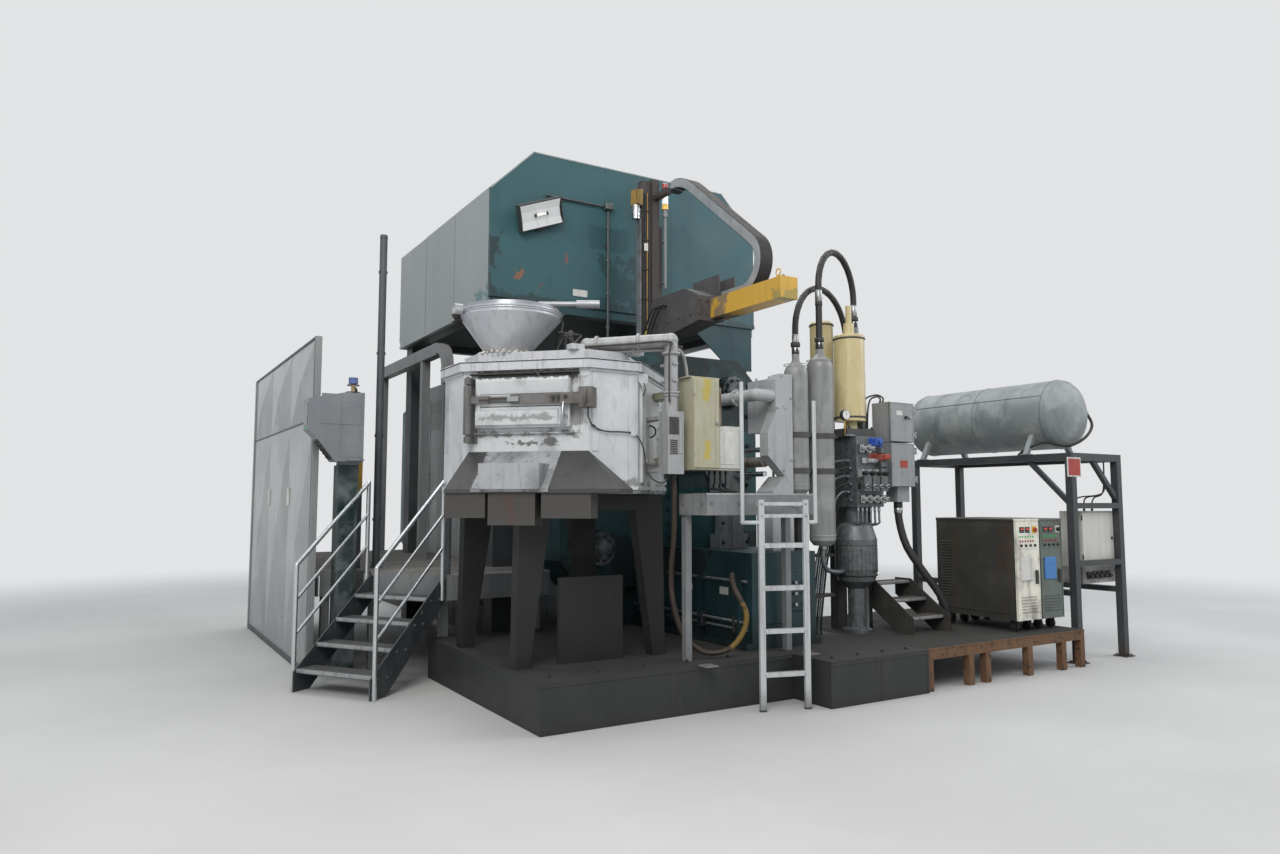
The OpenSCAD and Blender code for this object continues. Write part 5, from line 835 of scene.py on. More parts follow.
def make_hood(context):
    k = metal_kit()
    # side is the hood's enamel painted pale grey as painted light, with dust on the roof.
    sheet, side = MADE["smoked_teal_enamel"], MADE["dusty_hood_enamel"]
    # Enamelled folded edge strip: paler than the hood, slightly streaked
    trim = coat("folded_trim_enamel", "#8d9795", fade="#a1a9a7", streak="#6f7776", rough=0.5, patch=200)
    p = Piece()
    roof = [(-1.85, 5.19), (-1.33, 5.7), (1.33, 5.7), (1.85, 5.19)]
    for (x0, z0), (x1, z1) in zip(roof, roof[1:]):
        down = Vector((z1 - z0, 0, x0 - x1)).normalized() * 0.014
        a, b = Vector((x0, 0.051, z0)), Vector((x1, 0.051, z1))
        p.sheet([a, b, b + down, a + down], (0, -0.005, 0), trim)
    for x in (-0.39, 0.55):
        p.box((x - 0.006, 0.048, 4.02), (x + 0.006, 0.051, 5.68), sheet, 0.001)
    p.discs(grid((-1.78, 0.0475, 3.985), (0.324, 0, 0), 12), k.steel, 0.006, 0.003, 12, SOUTH)
    p.box((-0.82, 0.044, 4.085), (-0.63, 0.0505, 4.165), k.white, 0.002)
    p.make("hood_front_trim")
    p = Piece()
    for sign in (-1, 1):
        x = 1.851 * sign
        for y in (1.2, 2.3):
            p.box((x, y - 0.008, 3.88), (x + 0.004 * sign, y + 0.008, 5.18), side, 0.001)
        p.box((x, 0.1, 3.861), (x + 0.012 * sign, 3.4, 3.89), side)
        run = Vector((-0.52 * sign, 0, 0.51)).normalized()
        out = Vector((0.51 * sign, 0, 0.52)).normalized()
        for y in (1.2, 2.3):
            a = Vector((1.85 * sign, y, 5.19)) + run * 0.02
            b = a + run * 0.68
            p.sheet([a, b, b + Vector((0, 0.016, 0)), a + Vector((0, 0.016, 0))], out * 0.005, side)
    for x in (-0.7, 0.7):
        p.box((x - 0.01, 0.1, 5.699), (x + 0.01, 3.4, 5.706), side, 0.002)
        p.box((x - 0.01, 3.449, 3.9), (x + 0.01, 3.456, 5.6), side, 0.002)
    p.box((-0.35, 3.449, 4.5), (0.35, 3.47, 5.1), side, 0.004)
    p.slats(grid((0, 3.478, 4.54), (0, 0, 0.045), 12), side, (0.62, 0.03, 0.006), (math.radians(-35), 0, 0))
    p.make("hood_side_ribs")


def make_lamp(context):
    """The flood lamp's bezel, reflector, tube and pane, in the lamp's own tilt."""
    k = metal_kit()
    # Polished aluminium with a faint glow of its own: a painted reflection of the tube's light
    shiny = glow("polished_reflector_sheet", "#dcdedc", 0.12, 0.25)
    # Frosted glass tube: warm white, the brightest spot of the lamp
    tube = glow("frosted_lamp_glass", "#f4f1e6", 0.5)
    tilt = Euler((math.radians(25), math.radians(-21), 0)).to_matrix().to_4x4()
    turn = Matrix.Translation((-1.299, -0.09, 4.93)) @ tilt
    case = MADE["die_cast_aluminium"]
    p = Piece()
    p.border((-0.275, -0.022, -0.15), (0.275, 0.002, 0.15), 0.012, k.steel, 0.003, turn)
    for side in (-1, 1):
        p.sheet([(-0.262, -0.0195, 0.137 * side), (0.262, -0.0195, 0.137 * side), (0.25, -0.004, 0.05 * side),
                (-0.25, -0.004, 0.05 * side)], (0, 0.001, 0), shiny, turn)
        p.box((0.06 * side - 0.004, -0.019, -0.13), (0.06 * side + 0.004, -0.003, 0.13), shiny, 0.001, turn)
    p.box((-0.25, -0.005, -0.05), (0.25, -0.002, 0.05), shiny, 0.001, turn)
    p.rod((-0.05, -0.014, 0), (0.05, -0.014, 0), 0.012, tube, 16, 0.002, turn)
    for x in (-0.075, 0.075):
        p.box((x - 0.012, -0.02, -0.02), (x + 0.012, -0.003, 0.02), case, 0.002, turn)
    p.slats(grid((-0.2, 0.072, 0), (0.05, 0, 0), 9), case, (0.006, 0.03, 0.2), turn=turn)
    p.box((-0.05, 0.02, -0.19), (0.05, 0.045, -0.149), k.steel, 0.003, turn)
    p.make("lamp_front")
    # Pressed and plated clips: grey metal, soft shine
    clip = coat("pressed_clip_steel", "#6e7473", fade="#858a89", rough=0.4, metal=0.5, patch=60)
    p = Piece()
    for z in (3.75, 4.15, 4.55, 4.95):
        p.box((-0.39, 0.01, z), (-0.35, 0.0505, z + 0.022), clip, 0.002)
    p.box((-0.42, -0.03, 5.17), (-0.32, 0.0505, 5.245), clip, 0.005)
    for x in (-1.02, -0.62):
        p.ring((x, 0.0224, 5.206), (1, 0, 0), 0.014, 0.004, clip, 24)
    p.make("lamp_conduit_clips")


# Furnace

FX, FY = -1.85, -1.72
PLUG = Vector((-2.07, -2.757, 2.315))
FACET_OUT = 0.8697


def facet(turn_deg, out=FACET_OUT):
    """Frame of one furnace side: x to the right, y out of the side reversed, as for the door."""
    spin = Matrix.Rotation(math.radians(turn_deg), 4, "Z")
    return Matrix.Translation((FX, FY, 0)) @ spin @ Matrix.Translation((0, -out, 0))


DOOR = facet(-45)


def plan_ring(grow, z):
    """The furnace's eight corners, grown by a margin."""
    half, c = 1.0 + grow, 0.77 + grow * 0.586
    pts = [(-half, half - c), (-half, -half + c), (-half + c, -half), (half - c, -half), (half, -half + c),
        (half, half - c), (half - c, half), (-half + c, half)]
    return [Vector((FX + x, FY + y, z)) for x, y in pts]


def along(points, pitch, closed=True):
    """Points every pitch along a line."""
    out = []
    pts = list(points) + ([points[0]] if closed else [])
    for a, b in zip(pts, pts[1:]):
        n = max(1, round((b - a).length / pitch))
        out += [a + (b - a) * (i + 0.5) / n for i in range(n)]
    return out


def make_furnace(context):
    s = context.scene.casting_sizes
    k = metal_kit()
    silver, top = MADE["heatproof_silver_paint"], MADE["crusted_silver_paint"]
    # Dross that dried in lumps: off-white, very rough, dark pits
    dross = coat("dried_dross", "#d3d1ca", fade="#e0ded8", streak="#9c9890", chips="#7f7b73", rough=0.9, patch=40,
        grain=4, bump=0.8, chip_mm=18, chip_at=0.6)
    # Iron under soot and scale: black brown, grainy, no shine
    soot = coat("sooty_scale", "#3b3936", fade="#5b5752", streak="#2b2927", rough=0.7, patch=60, bump=0.4)
    p = Piece()
    for z, thick, high in ((1.8, 0.01, 0.035), (2.757, 0.008, 0.02)):
        ring = plan_ring(0.003, z)
        for i, a in enumerate(ring):
            b = ring[(i + 1) % 8]
            if i == 1 and z > 2.2:
                continue
            d = (b - a).normalized()
            up = Vector((0, 0, high))
            p.sheet([a, b, b + up, a + up], Vector((d.y, -d.x, 0)) * thick, silver)
    for angle in (45, 90, 135, 180):
        f = facet(angle, FACET_OUT if angle % 90 else 1.0)
        wide = 0.44 if angle % 90 else 0.2
        for x in (-wide, wide):
            p.box((x - 0.025, -0.022, 1.86), (x + 0.025, 0.003, 2.74), silver, 0.004, f)
    f = facet(45)
    p.box((-0.34, -0.018, 2.02), (0.34, 0.003, 2.6), silver, 0.005, f)
    p.bolts(grid((-0.31, -0.018, 2.05), (0.155, 0, 0), 5, (0, 0, 0.52), 2), silver, 0.008, 0.008, SOUTH, turn=f)
    for x in (-0.16, 0.16):
        p.tube(arc((x, -0.018, 2.31), (0, 0, 1), (0, -1, 0), 0.05, 0, 180, 10), 0.007, k.steel, 10, f)
    p.sheet([(-1.62, -2.724, 2.77), (-1.52, -2.724, 2.77), (-1.52, -2.724, 2.7), (-1.57, -2.724, 2.66),
            (-1.61, -2.724, 2.7)], (0, 0.006, 0), silver)
    p.tube([(-1.565, -2.728, 2.69), (-1.545, -2.728, 2.64), (-1.575, -2.728, 2.58)], 0.005, k.steel, 8)
    cable = [PLUG, (-1.99, -2.742, 2.28), (-1.9, -2.742, 2.268), (-1.78, -2.742, 2.27), (-1.66, -2.744, 2.255),
        (-1.58, -2.742, 2.15), (-1.55, -2.742, 1.98), (-1.5, -2.76, 1.89), (-1.42, -2.8, 1.86), (-1.36, -2.83, 1.93)]
    p.cable(cable, 0.0065, soot)
    p.rod(PLUG, PLUG + Vector((0.03, 0.004, -0.012)), 0.011, k.steel, 14)
    p.box((-1.7, -2.755, 2.24), (-1.655, -2.722, 2.285), silver, 0.004)
    p.make("furnace_bands")

    p = Piece()
    p.border((-0.385, -0.078, 2.318), (0.385, -0.064, 2.69), 0.022, silver, 0.003, DOOR)
    p.box((-0.375, -0.07, 2.598), (0.375, -0.064, 2.606), soot, 0.001, DOOR)
    p.box((-0.375, -0.07, 2.47), (0.375, -0.064, 2.476), soot, 0.001, DOOR)
    p.make("cleaning_door_frame", "furnace_door")

    bar = MADE["forged_bar_steel"]
    p = Piece()
    p.box((-0.36, -0.119, 2.52), (-0.1, -0.117, 2.532), soot, 0.001, DOOR)
    p.box((-0.11, -0.122, 2.508), (-0.01, -0.117, 2.548), k.zinc, 0.003, DOOR)
    p.rod((0.556, -0.165, 2.475), (0.556, -0.165, 2.6), 0.014, bar, 16, 0.002, DOOR)
    p.rod((0.556, -0.165, 2.537), (0.556, -0.129, 2.537), 0.01, k.steel, 12, 0.001, DOOR)
    p.rod((0.36, -0.135, 2.28), (0.37, -0.12, 2.5), 0.012, k.zinc, 14, 0.002, DOOR)
    for x in (0.28, 0.33, 0.39):
        p.rod((x, -0.14, 2.535), (x, -0.117, 2.535), 0.017, k.steel, 6, 0.002, DOOR)
    p.cable([(-2.125, -2.8, 2.465), (-2.115, -2.78, 2.38), PLUG], 0.0065, soot)
    p.make("door_bar_bolts", "furnace_door")

    p = Piece()
    p.box((-0.47, -0.05, 2.742), (0.47, 0.003, 2.755), soot, 0.003, DOOR)
    p.box((-0.43, -0.03, 2.252), (0.43, 0.003, 2.262), silver, 0.003, DOOR)
    for x in (-0.485, 0.455):
        p.box((x, -0.012, 2.272), (x + 0.016, 0.003, 2.74), silver, 0.003, DOOR)
    p.rod((0.1, -0.055, 2.765), (0.22, -0.03, 2.64), 0.009, k.steel, 10, 0.001, DOOR)
    p.make("door_surround")

    p = Piece()
    edge = plan_ring(0.0405, 2.851)
    for a, b in zip(edge, edge[1:] + edge[:1]):
        p.rod(a, b, 0.0045, soot, 8, 0.001)
    near = [q for q in along(plan_ring(0.018, 2.86), 0.045) if q.x < -2.2 and q.y < -1.3]
    p.crumbs(near, dross, 0.012, s.seed)
    heap = [Vector((-2.43 + 0.36 * math.cos(0.27 * i), -1.86 + 0.36 * math.sin(0.27 * i), 2.862)) for i in range(24)]
    heap = [q for q in heap if abs(q.x - FX) < 0.92 and abs(q.y - FY) < 0.92 and abs(q.x - FX) + abs(q.y - FY) < 1.18]
    p.crumbs(heap, dross, 0.024, s.seed + 1)
    p.crumbs(along(plan_ring(-0.1, 2.86), 0.16), top, 0.014, s.seed + 2)
    for i, (x, y) in enumerate(((-1.3, -1.55), (-1.52, -2.22), (-1.12, -1.9), (-1.62, -1.05))):
        p.box((x, y, 2.958), (x + 0.14, y + 0.09, 2.985 + 0.01 * (i % 3)), top if i % 2 else soot, 0.006)
    for x, y, h in ((-1.44, -1.62, 0.16), (-1.7, -1.38, 0.12), (-1.34, -1.86, 0.1)):
        p.rod((x, y, 2.956), (x, y, 2.956 + h), 0.024, soot, 16)
        p.ring((x, y, 2.965), (0, 0, 1), 0.03, 0.008, k.steel, 20, 6)
        p.rod((x, y, 2.956 + h), (x, y, 2.976 + h), 0.034, k.steel, 6, 0.003)
    p.make("furnace_top_crust")

    apron = MADE["scorched_plate_steel"]
    p = Piece()
    p.box((-0.31, -0.338, 1.8), (0.31, -0.329, 1.812), apron, 0.002, DOOR)
    for x in (-0.02, 0.11):
        p.box((x - 0.002, -0.331, 1.82), (x + 0.002, -0.3285, 1.95), soot, 0.0005, DOOR)
    p.make("apron_seams")


def make_hopper(context):
    s = context.scene.casting_sizes
    k = metal_kit()
    dross, soot, funnel = MADE["dried_dross"], MADE["sooty_scale"], MADE["rolled_stainless_sheet"]
    c = Vector((-2.373, -1.803, 3.338))
    p = Piece()
    p.ring(c + Vector((0, 0, -0.01)), (0, 0, 1), 0.44, 0.01, funnel, 64)
    p.crumbs(circle(c + Vector((0, 0, 0.004)), (0, 0, 1), 0.44, 26), dross, 0.009, s.seed + 5)
    base = Vector((-2.43, -1.86, 2.966))
    p.bolts(circle(base + Vector((0, 0, 0.012)), (0, 0, 1), 0.21, 12), funnel, 0.011, 0.012)
    p.crumbs(circle(base, (0, 0, 1), 0.245, 30), dross, 0.014, s.seed + 6)
    knob = Vector((-2.815, -1.665, 3.285))
    p.rod(knob + Vector((0.08, -0.02, 0)), knob, 0.022, k.steel, 14)
    p.crumbs([knob, knob + Vector((-0.012, -0.01, 0.03)), knob + Vector((-0.015, 0.01, -0.03))], soot, 0.036,
        s.seed + 8)
    for a, b in (((-0.36, -0.22, 0.02), (0.02, -0.3, 0.055)), ((0.02, -0.3, 0.055), (0.3, -0.1, 0.035)),
            ((-0.08, -0.28, 0.05), (-0.16, 0.2, 0.035)), ((-0.3, 0.1, 0.02), (0.25, 0.16, 0.03))):
        p.rod(c + Vector(a), c + Vector(b), 0.01, soot, 10)
    stand = [((-1.99, -2.12, 2.96), (-1.99, -2.12, 3.17), 0.011), ((-2.05, -2.05, 2.96), (-2.0, -2.09, 3.26), 0.008),
        ((-1.9, -2.02, 2.96), (-1.89, -2.03, 3.18), 0.012), ((-2.06, -2.12, 3.17), (-1.8, -2.0, 3.19), 0.01),
        ((-1.78, -1.95, 2.96), (-1.8, -1.97, 3.15), 0.009), ((-2.0, -2.09, 3.26), (-2.02, -2.05, 3.325), 0.005)]
    for a, b, r in stand:
        p.rod(a, b, r, soot, 12)
    p.rod((-1.94, -2.07, 3.12), (-1.9, -2.05, 3.2), 0.026, soot, 14)
    p.make("hopper_lever")


def make_burner(context):
    k = metal_kit()
    pipe, soot = MADE["sprayed_pipe_paint"], MADE["sooty_scale"]
    p = Piece()
    up, over = Vector((-1.9, -2.35, 3.035)), Vector((-1.36, -2.83, 3.055))
    run = (over - up).normalized()
    for t in (0.12, 0.62):
        q = up.lerp(over, t)
        p.tube([q - run * 0.012, q + run * 0.012], 0.074, pipe, 24)
    for z in (2.93, 2.6):
        p.tube([(-1.36, -2.83, z), (-1.36, -2.83, z + 0.02)], 0.078, pipe, 24)
    side = Vector((run.y, -run.x, 0))
    for off, r, skin in ((0.075, 0.01, pipe), (0.1, 0.008, soot)):
        a = up + side * off + Vector((0, 0, -0.03))
        b = over + side * off + Vector((0, 0, -0.03))
        p.cable([a, a.lerp(b, 0.5), b, b + Vector((0, 0, -0.1)), b + Vector((0, 0, -0.5))], r, skin, 10)
    low = Vector((0, 0, -0.075))
    p.cable([up + low + Vector((-0.05, 0.06, 0.0)), up.lerp(over, 0.4) + low, over + low + Vector((0.02, 0.03, 0)),
            (-1.22, -2.78, 2.97), (-1.15, -2.74, 2.88), (-1.12, -2.72, 2.762)], 0.013, pipe, 12)
    for z in (2.7, 2.84):
        p.box((-1.385, -2.905, z), (-1.335, -2.7, z + 0.02), pipe, 0.002)
    p.box((-1.425, -2.912, 2.26), (-1.335, -2.899, 2.4), soot)
    p.box((-1.325, -2.906, 2.1), (-1.295, -2.899, 2.38), pipe)
    p.slats(grid((-1.38, -2.904, 2.1), (0, 0, 0.018), 7), soot, (0.07, 0.008, 0.006), (math.radians(25), 0, 0))
    for x in (-1.41, -1.34):
        p.rod((x, -2.83, 1.93), (x, -2.83, 1.885), 0.02, k.black, 6)
    for a, b in (((-1.95, -2.2, 2.962), (-1.95, -2.2, 3.05)), ((-1.78, -2.28, 2.962), (-1.78, -2.28, 3.02))):
        p.rod(a, b, 0.022, soot, 6)
        p.rod(Vector(b), Vector(b) + Vector((0, 0, 0.03)), 0.014, k.steel, 16)
    wires = [[(-1.95, -2.2, 3.07), (-1.93, -2.12, 3.13), (-1.85, -2.05, 3.1), (-1.8, -2.02, 2.99),
            (-1.79, -2.0, 2.965)], [(-1.78, -2.28, 3.04), (-1.74, -2.2, 3.1), (-1.66, -2.12, 3.07),
            (-1.62, -2.08, 2.966)], [(-1.95, -2.2, 3.06), (-2.02, -2.16, 3.14), (-2.06, -2.1, 3.1),
            (-2.05, -2.04, 3.02)], [(-2.14, -2.22, 2.965), (-2.08, -2.18, 3.05), (-2.0, -2.12, 3.14),
            (-1.92, -2.08, 3.15), (-1.86, -2.08, 3.08), (-1.85, -2.12, 2.965)],
        [(-2.04, -2.28, 2.965), (-1.99, -2.24, 3.03), (-1.9, -2.16, 3.11), (-1.83, -2.1, 3.16), (-1.8, -2.0, 3.19)],
        [(-1.88, -2.26, 2.965), (-1.82, -2.24, 3.02), (-1.72, -2.22, 3.01), (-1.62, -2.22, 2.965)]]
    for w in wires:
        p.cable(w, 0.007, k.black)
    p.make("burner_fittings")


# Shot end

def make_shot_end(context):
    s = context.scene.casting_sizes
    k = metal_kit()
    teal, cast = MADE["oily_enamel_casting"], MADE["lacquered_sand_casting"]
    # Drawn steel tube: grey metal, brown where the plating is gone
    hyd = coat("drawn_hydraulic_tube", "#7b8183", fade="#666b6c", streak="#45484a", chips="#5b4a3c", rough=0.35,
        metal=0.6, patch=80, chip_mm=25, chip_at=0.64, bump=0.1)
    p = Piece()
    for x in (-0.89, 0.89):
        for z in (1.21, 2.99):
            p.bolts(circle((x, -0.781, z), (0, -1, 0), 0.125, 10, 18), teal, 0.016, 0.016, SOUTH)
            p.ring((x, -0.648, z), (0, 1, 0), 0.19, 0.012, teal, 40, 6)
    for x in (-1.18, 1.18):
        p.bolts(grid((x, -0.6405, 0.92), (0, 0, 0.36), 7), teal, s.bolt, 0.02, SOUTH)
    p.bolts(grid((-0.24, -1.0605, 1.34), (0, 0, 0.14), 4, (0.48, 0, 0), 2), teal, 0.02, 0.018, SOUTH)
    p.bolts(circle((0, -1.652, 2.1), (0, -1, 0), 0.155, 10), teal, 0.015, 0.016, SOUTH)
    for y in (-1.6, -1.36, -1.12):
        p.ring((0, y, 2.1), (0, 1, 0), 0.19, 0.008, teal, 48, 6)
    p.bolts(grid((-0.1, -1.851, 1.3), (0, 0, 0.19), 5, (0.3, 0, 0), 2), teal, 0.015, 0.015, SOUTH)
    p.make("shot_end_bolts")

    p = Piece()
    for x, h in ((-0.396, 0.55), (-0.424, 0.62), (-0.396, 0.98)):
        p.rod((x, -2.6, h), (x, -0.7, h), 0.014, hyd, 14)
    for y in (-2.45, -1.95, -1.45, -0.95):
        p.box((-0.445, y - 0.018, 0.52), (-0.379, y + 0.018, 0.66), k.steel)
        p.box((-0.418, y - 0.018, 0.955), (-0.379, y + 0.018, 1.005), k.steel)
    for y, z, w, h in ((-2.3, 0.84, 0.13, 0.07), (-1.72, 0.84, 0.1, 0.06)):
        p.box((-0.386, y, z), (-0.3795, y + w, z + h), k.white, 0.002)
    for y in (-2.56, -2.06, -1.56, -1.06):
        p.bolts([(-0.41, y, 0.42), (0.41, y, 0.42)], teal, 0.018, 0.018)
    p.box((-0.3, -2.662, 0.6), (-0.02, -2.6495, 1.12), teal, 0.006)
    p.box((0.05, -2.665, 0.7), (0.31, -2.6495, 1.08), teal, 0.006)
    for z in (0.76, 0.86, 0.96):
        p.rod((0.11, -2.69, z), (0.11, -2.664, z), 0.018, k.zinc, 6)
        p.rod((0.21, -2.69, z), (0.21, -2.664, z), 0.014, hyd, 16)
    p.make("pedestal_pipes")

    p = Piece()
    rim = [(-0.01, 2.2), (0.02, 2.4), (0.11, 2.6), (0.12, 2.82), (0.17, 2.91), (0.28, 2.91), (0.28, 2.7), (0.28, 2.4),
        (0.28, 2.1), (0.28, 1.86), (0.18, 2.0), (0.08, 2.08)]
    p.bolts([(x, -2.4505, z) for x, z in rim[::2]], cast, 0.009, 0.009, SOUTH)
    p.rod((0.22, -2.456, 2.62), (0.22, -2.449, 2.62), 0.03, cast, 28, 0.003)
    p.bolts(grid((0.14, -2.3, 2.8965), (0.12, 0, 0), 2, (0, 0.2, 0), 2), cast, 0.014, 0.02)
    for y in (-2.12, -0.9):
        p.tube([(-0.1, y, 2.72), (-0.1, y + 0.025, 2.72)], 0.083, cast, 28)
        p.bolts(circle((-0.1, y, 2.72), (0, -1, 0), 0.072, 8), k.zinc, 0.006, 0.008, SOUTH)
    p.cable([(0.301, -2.15, 2.6), (0.36, -2.15, 2.6), (0.4, -2.15, 2.54), (0.4, -2.15, 1.4), (0.4, -2.1, 1.22),
            (0.379, -2.05, 1.1)], 0.016, hyd, 14)
    p.cable([(0.301, -2.08, 2.5), (0.34, -2.08, 2.5), (0.36, -2.08, 2.46), (0.36, -2.08, 1.3), (0.372, -2.02, 1.18)],
        0.012, hyd, 12)
    for z in (2.2, 1.7):
        p.box((0.335, -2.17, z), (0.425, -2.06, z + 0.025), k.steel)
    p.make("valve_housing_bolts")


# Accumulators and valve block

def make_accumulators(context):
    k = metal_kit()
    rack, hyd = MADE["dusty_angle_steel"], MADE["drawn_hydraulic_tube"]
    # Printed card behind glass, without its figures: plain off-white
    dial = coat("printed_gauge_card", "#e2e2dc", fade="#cfcfc6", rough=0.3, patch=20, bump=0.02)
    p = Piece()
    bottles = ((0.44, -2.35, 0.1175, 1.77, 3.16), (0.76, -2.35, 0.13, 1.27, 3.24), (1.58, -2.02, 0.11, 1.9, 3.6))
    for x, y, r, lo, hi in bottles:
        p.ring((x, y, hi - r * 0.9), (0, 0, 1), r, 0.004, k.grey, 48, 6)
        p.ring((x, y, lo + 0.1), (0, 0, 1), r, 0.005, k.grey, 48, 6)
        p.rod((x, y, hi + 0.02), (x, y, hi + 0.07), 0.042, k.zinc, 6, 0.003)
        p.rod((x, y, hi + 0.075), (x, y, hi + 0.12), 0.047, k.steel, 24, 0.003)
        p.rod((x, y, lo - 0.045), (x, y, lo + 0.01), 0.045, k.zinc, 6, 0.003)
    for x in (0.44, 0.76):
        for z in (1.98, 2.33):
            p.ring((x, -2.35, z + 0.025), (0, 0, 1), 0.135 if x > 0.5 else 0.122, 0.007, rack, 48, 6)
            for dx in (-0.155, 0.155):
                p.rod((x + dx, -2.4, z + 0.025), (x + dx, -2.25, z + 0.025), 0.008, k.zinc, 10)
                p.rod((x + dx, -2.415, z + 0.025), (x + dx, -2.395, z + 0.025), 0.015, k.steel, 6)
    for x, y, r, hi in ((1.29, -2.23, 0.16, 3.45), (1.23, -1.88, 0.125, 3.65)):
        for z in (2.58, hi - 0.04):
            p.ring((x, y, z), (0, 0, 1), r, 0.01, rack, 48)
            p.bolts(circle((x, y, z + 0.012), (0, 0, 1), r - 0.03, 10), rack, 0.01, 0.012)
    gauge = Vector((1.02, -2.4, 2.58))
    p.rod(gauge, gauge + Vector((0, -0.045, 0)), 0.052, k.steel, 32, 0.003)
    p.rod(gauge + Vector((0, -0.045, 0)), gauge + Vector((0, -0.047, 0)), 0.046, dial, 32, 0.0005)
    p.box(gauge + Vector((-0.002, -0.0485, -0.005)), gauge + Vector((0.002, -0.047, 0.036)), k.black, 0.0004)
    p.rod(gauge + Vector((0, -0.02, -0.21)), gauge + Vector((0, -0.02, -0.05)), 0.009, k.brass, 12)
    p.rod((1.02, -2.42, 2.376), (1.16, -2.42, 2.376), 0.012, hyd, 12)
    p.cable([(0.76, -2.35, 1.24), (0.76, -2.35, 1.12), (0.82, -2.34, 1.03), (0.95, -2.33, 1.0), (1.07, -2.32, 1.0)],
        0.024, hyd, 16)
    p.cable([(0.44, -2.35, 1.74), (0.44, -2.35, 1.66), (0.48, -2.3, 1.6), (0.56, -2.28, 1.58), (0.6, -2.22, 1.58)],
        0.02, hyd, 16)
    p.cable([(1.58, -2.02, 1.87), (1.58, -2.02, 1.72), (1.56, -2.06, 1.62), (1.5, -2.14, 1.6), (1.44, -2.2, 1.6),
            (1.42, -2.2, 1.66)], 0.022, hyd, 16)
    p.bolts(grid((1.1, -2.4, 2.4505), (0.32, 0, 0), 2, (0, 0.62, 0), 2), k.steel, 0.014, 0.016)
    p.bolts(grid((0.56, -2.221, 0.44), (0.08, 0, 0), 2, (0, 0, 0.05), 2), k.steel, 0.012, 0.012, SOUTH)
    p.make("accumulator_fittings")

    p = Piece()
    for a, b, z, r in (((0.44, -2.35), (1.42, -2.06), 3.4, 0.034), ((0.76, -2.35), (1.58, -2.02), 3.89, 0.036)):
        for x, y in (a, b):
            p.rod((x, y, z - 0.16), (x, y, z - 0.04), r, k.zinc, 24, 0.003)
            p.rod((x, y, z - 0.2), (x, y, z - 0.16), r * 1.15, k.steel, 6, 0.003)
        c = Vector(((a[0] + b[0]) / 2, (a[1] + b[1]) / 2, z))
        u = (Vector((b[0], b[1], 0)) - Vector((a[0], a[1], 0)))
        rad = u.length / 2
        u.normalize()
        for w in range(15, 180, 15):
            t = math.radians(w)
            at = c + u * math.cos(t) * rad + Vector((0, 0, 1)) * math.sin(t) * rad
            along_it = -u * math.sin(t) + Vector((0, 0, 1)) * math.cos(t)
            p.ring(at, along_it, r - 0.003, 0.0025, k.black, 24, 6)
    p.make("arched_hose_ends")


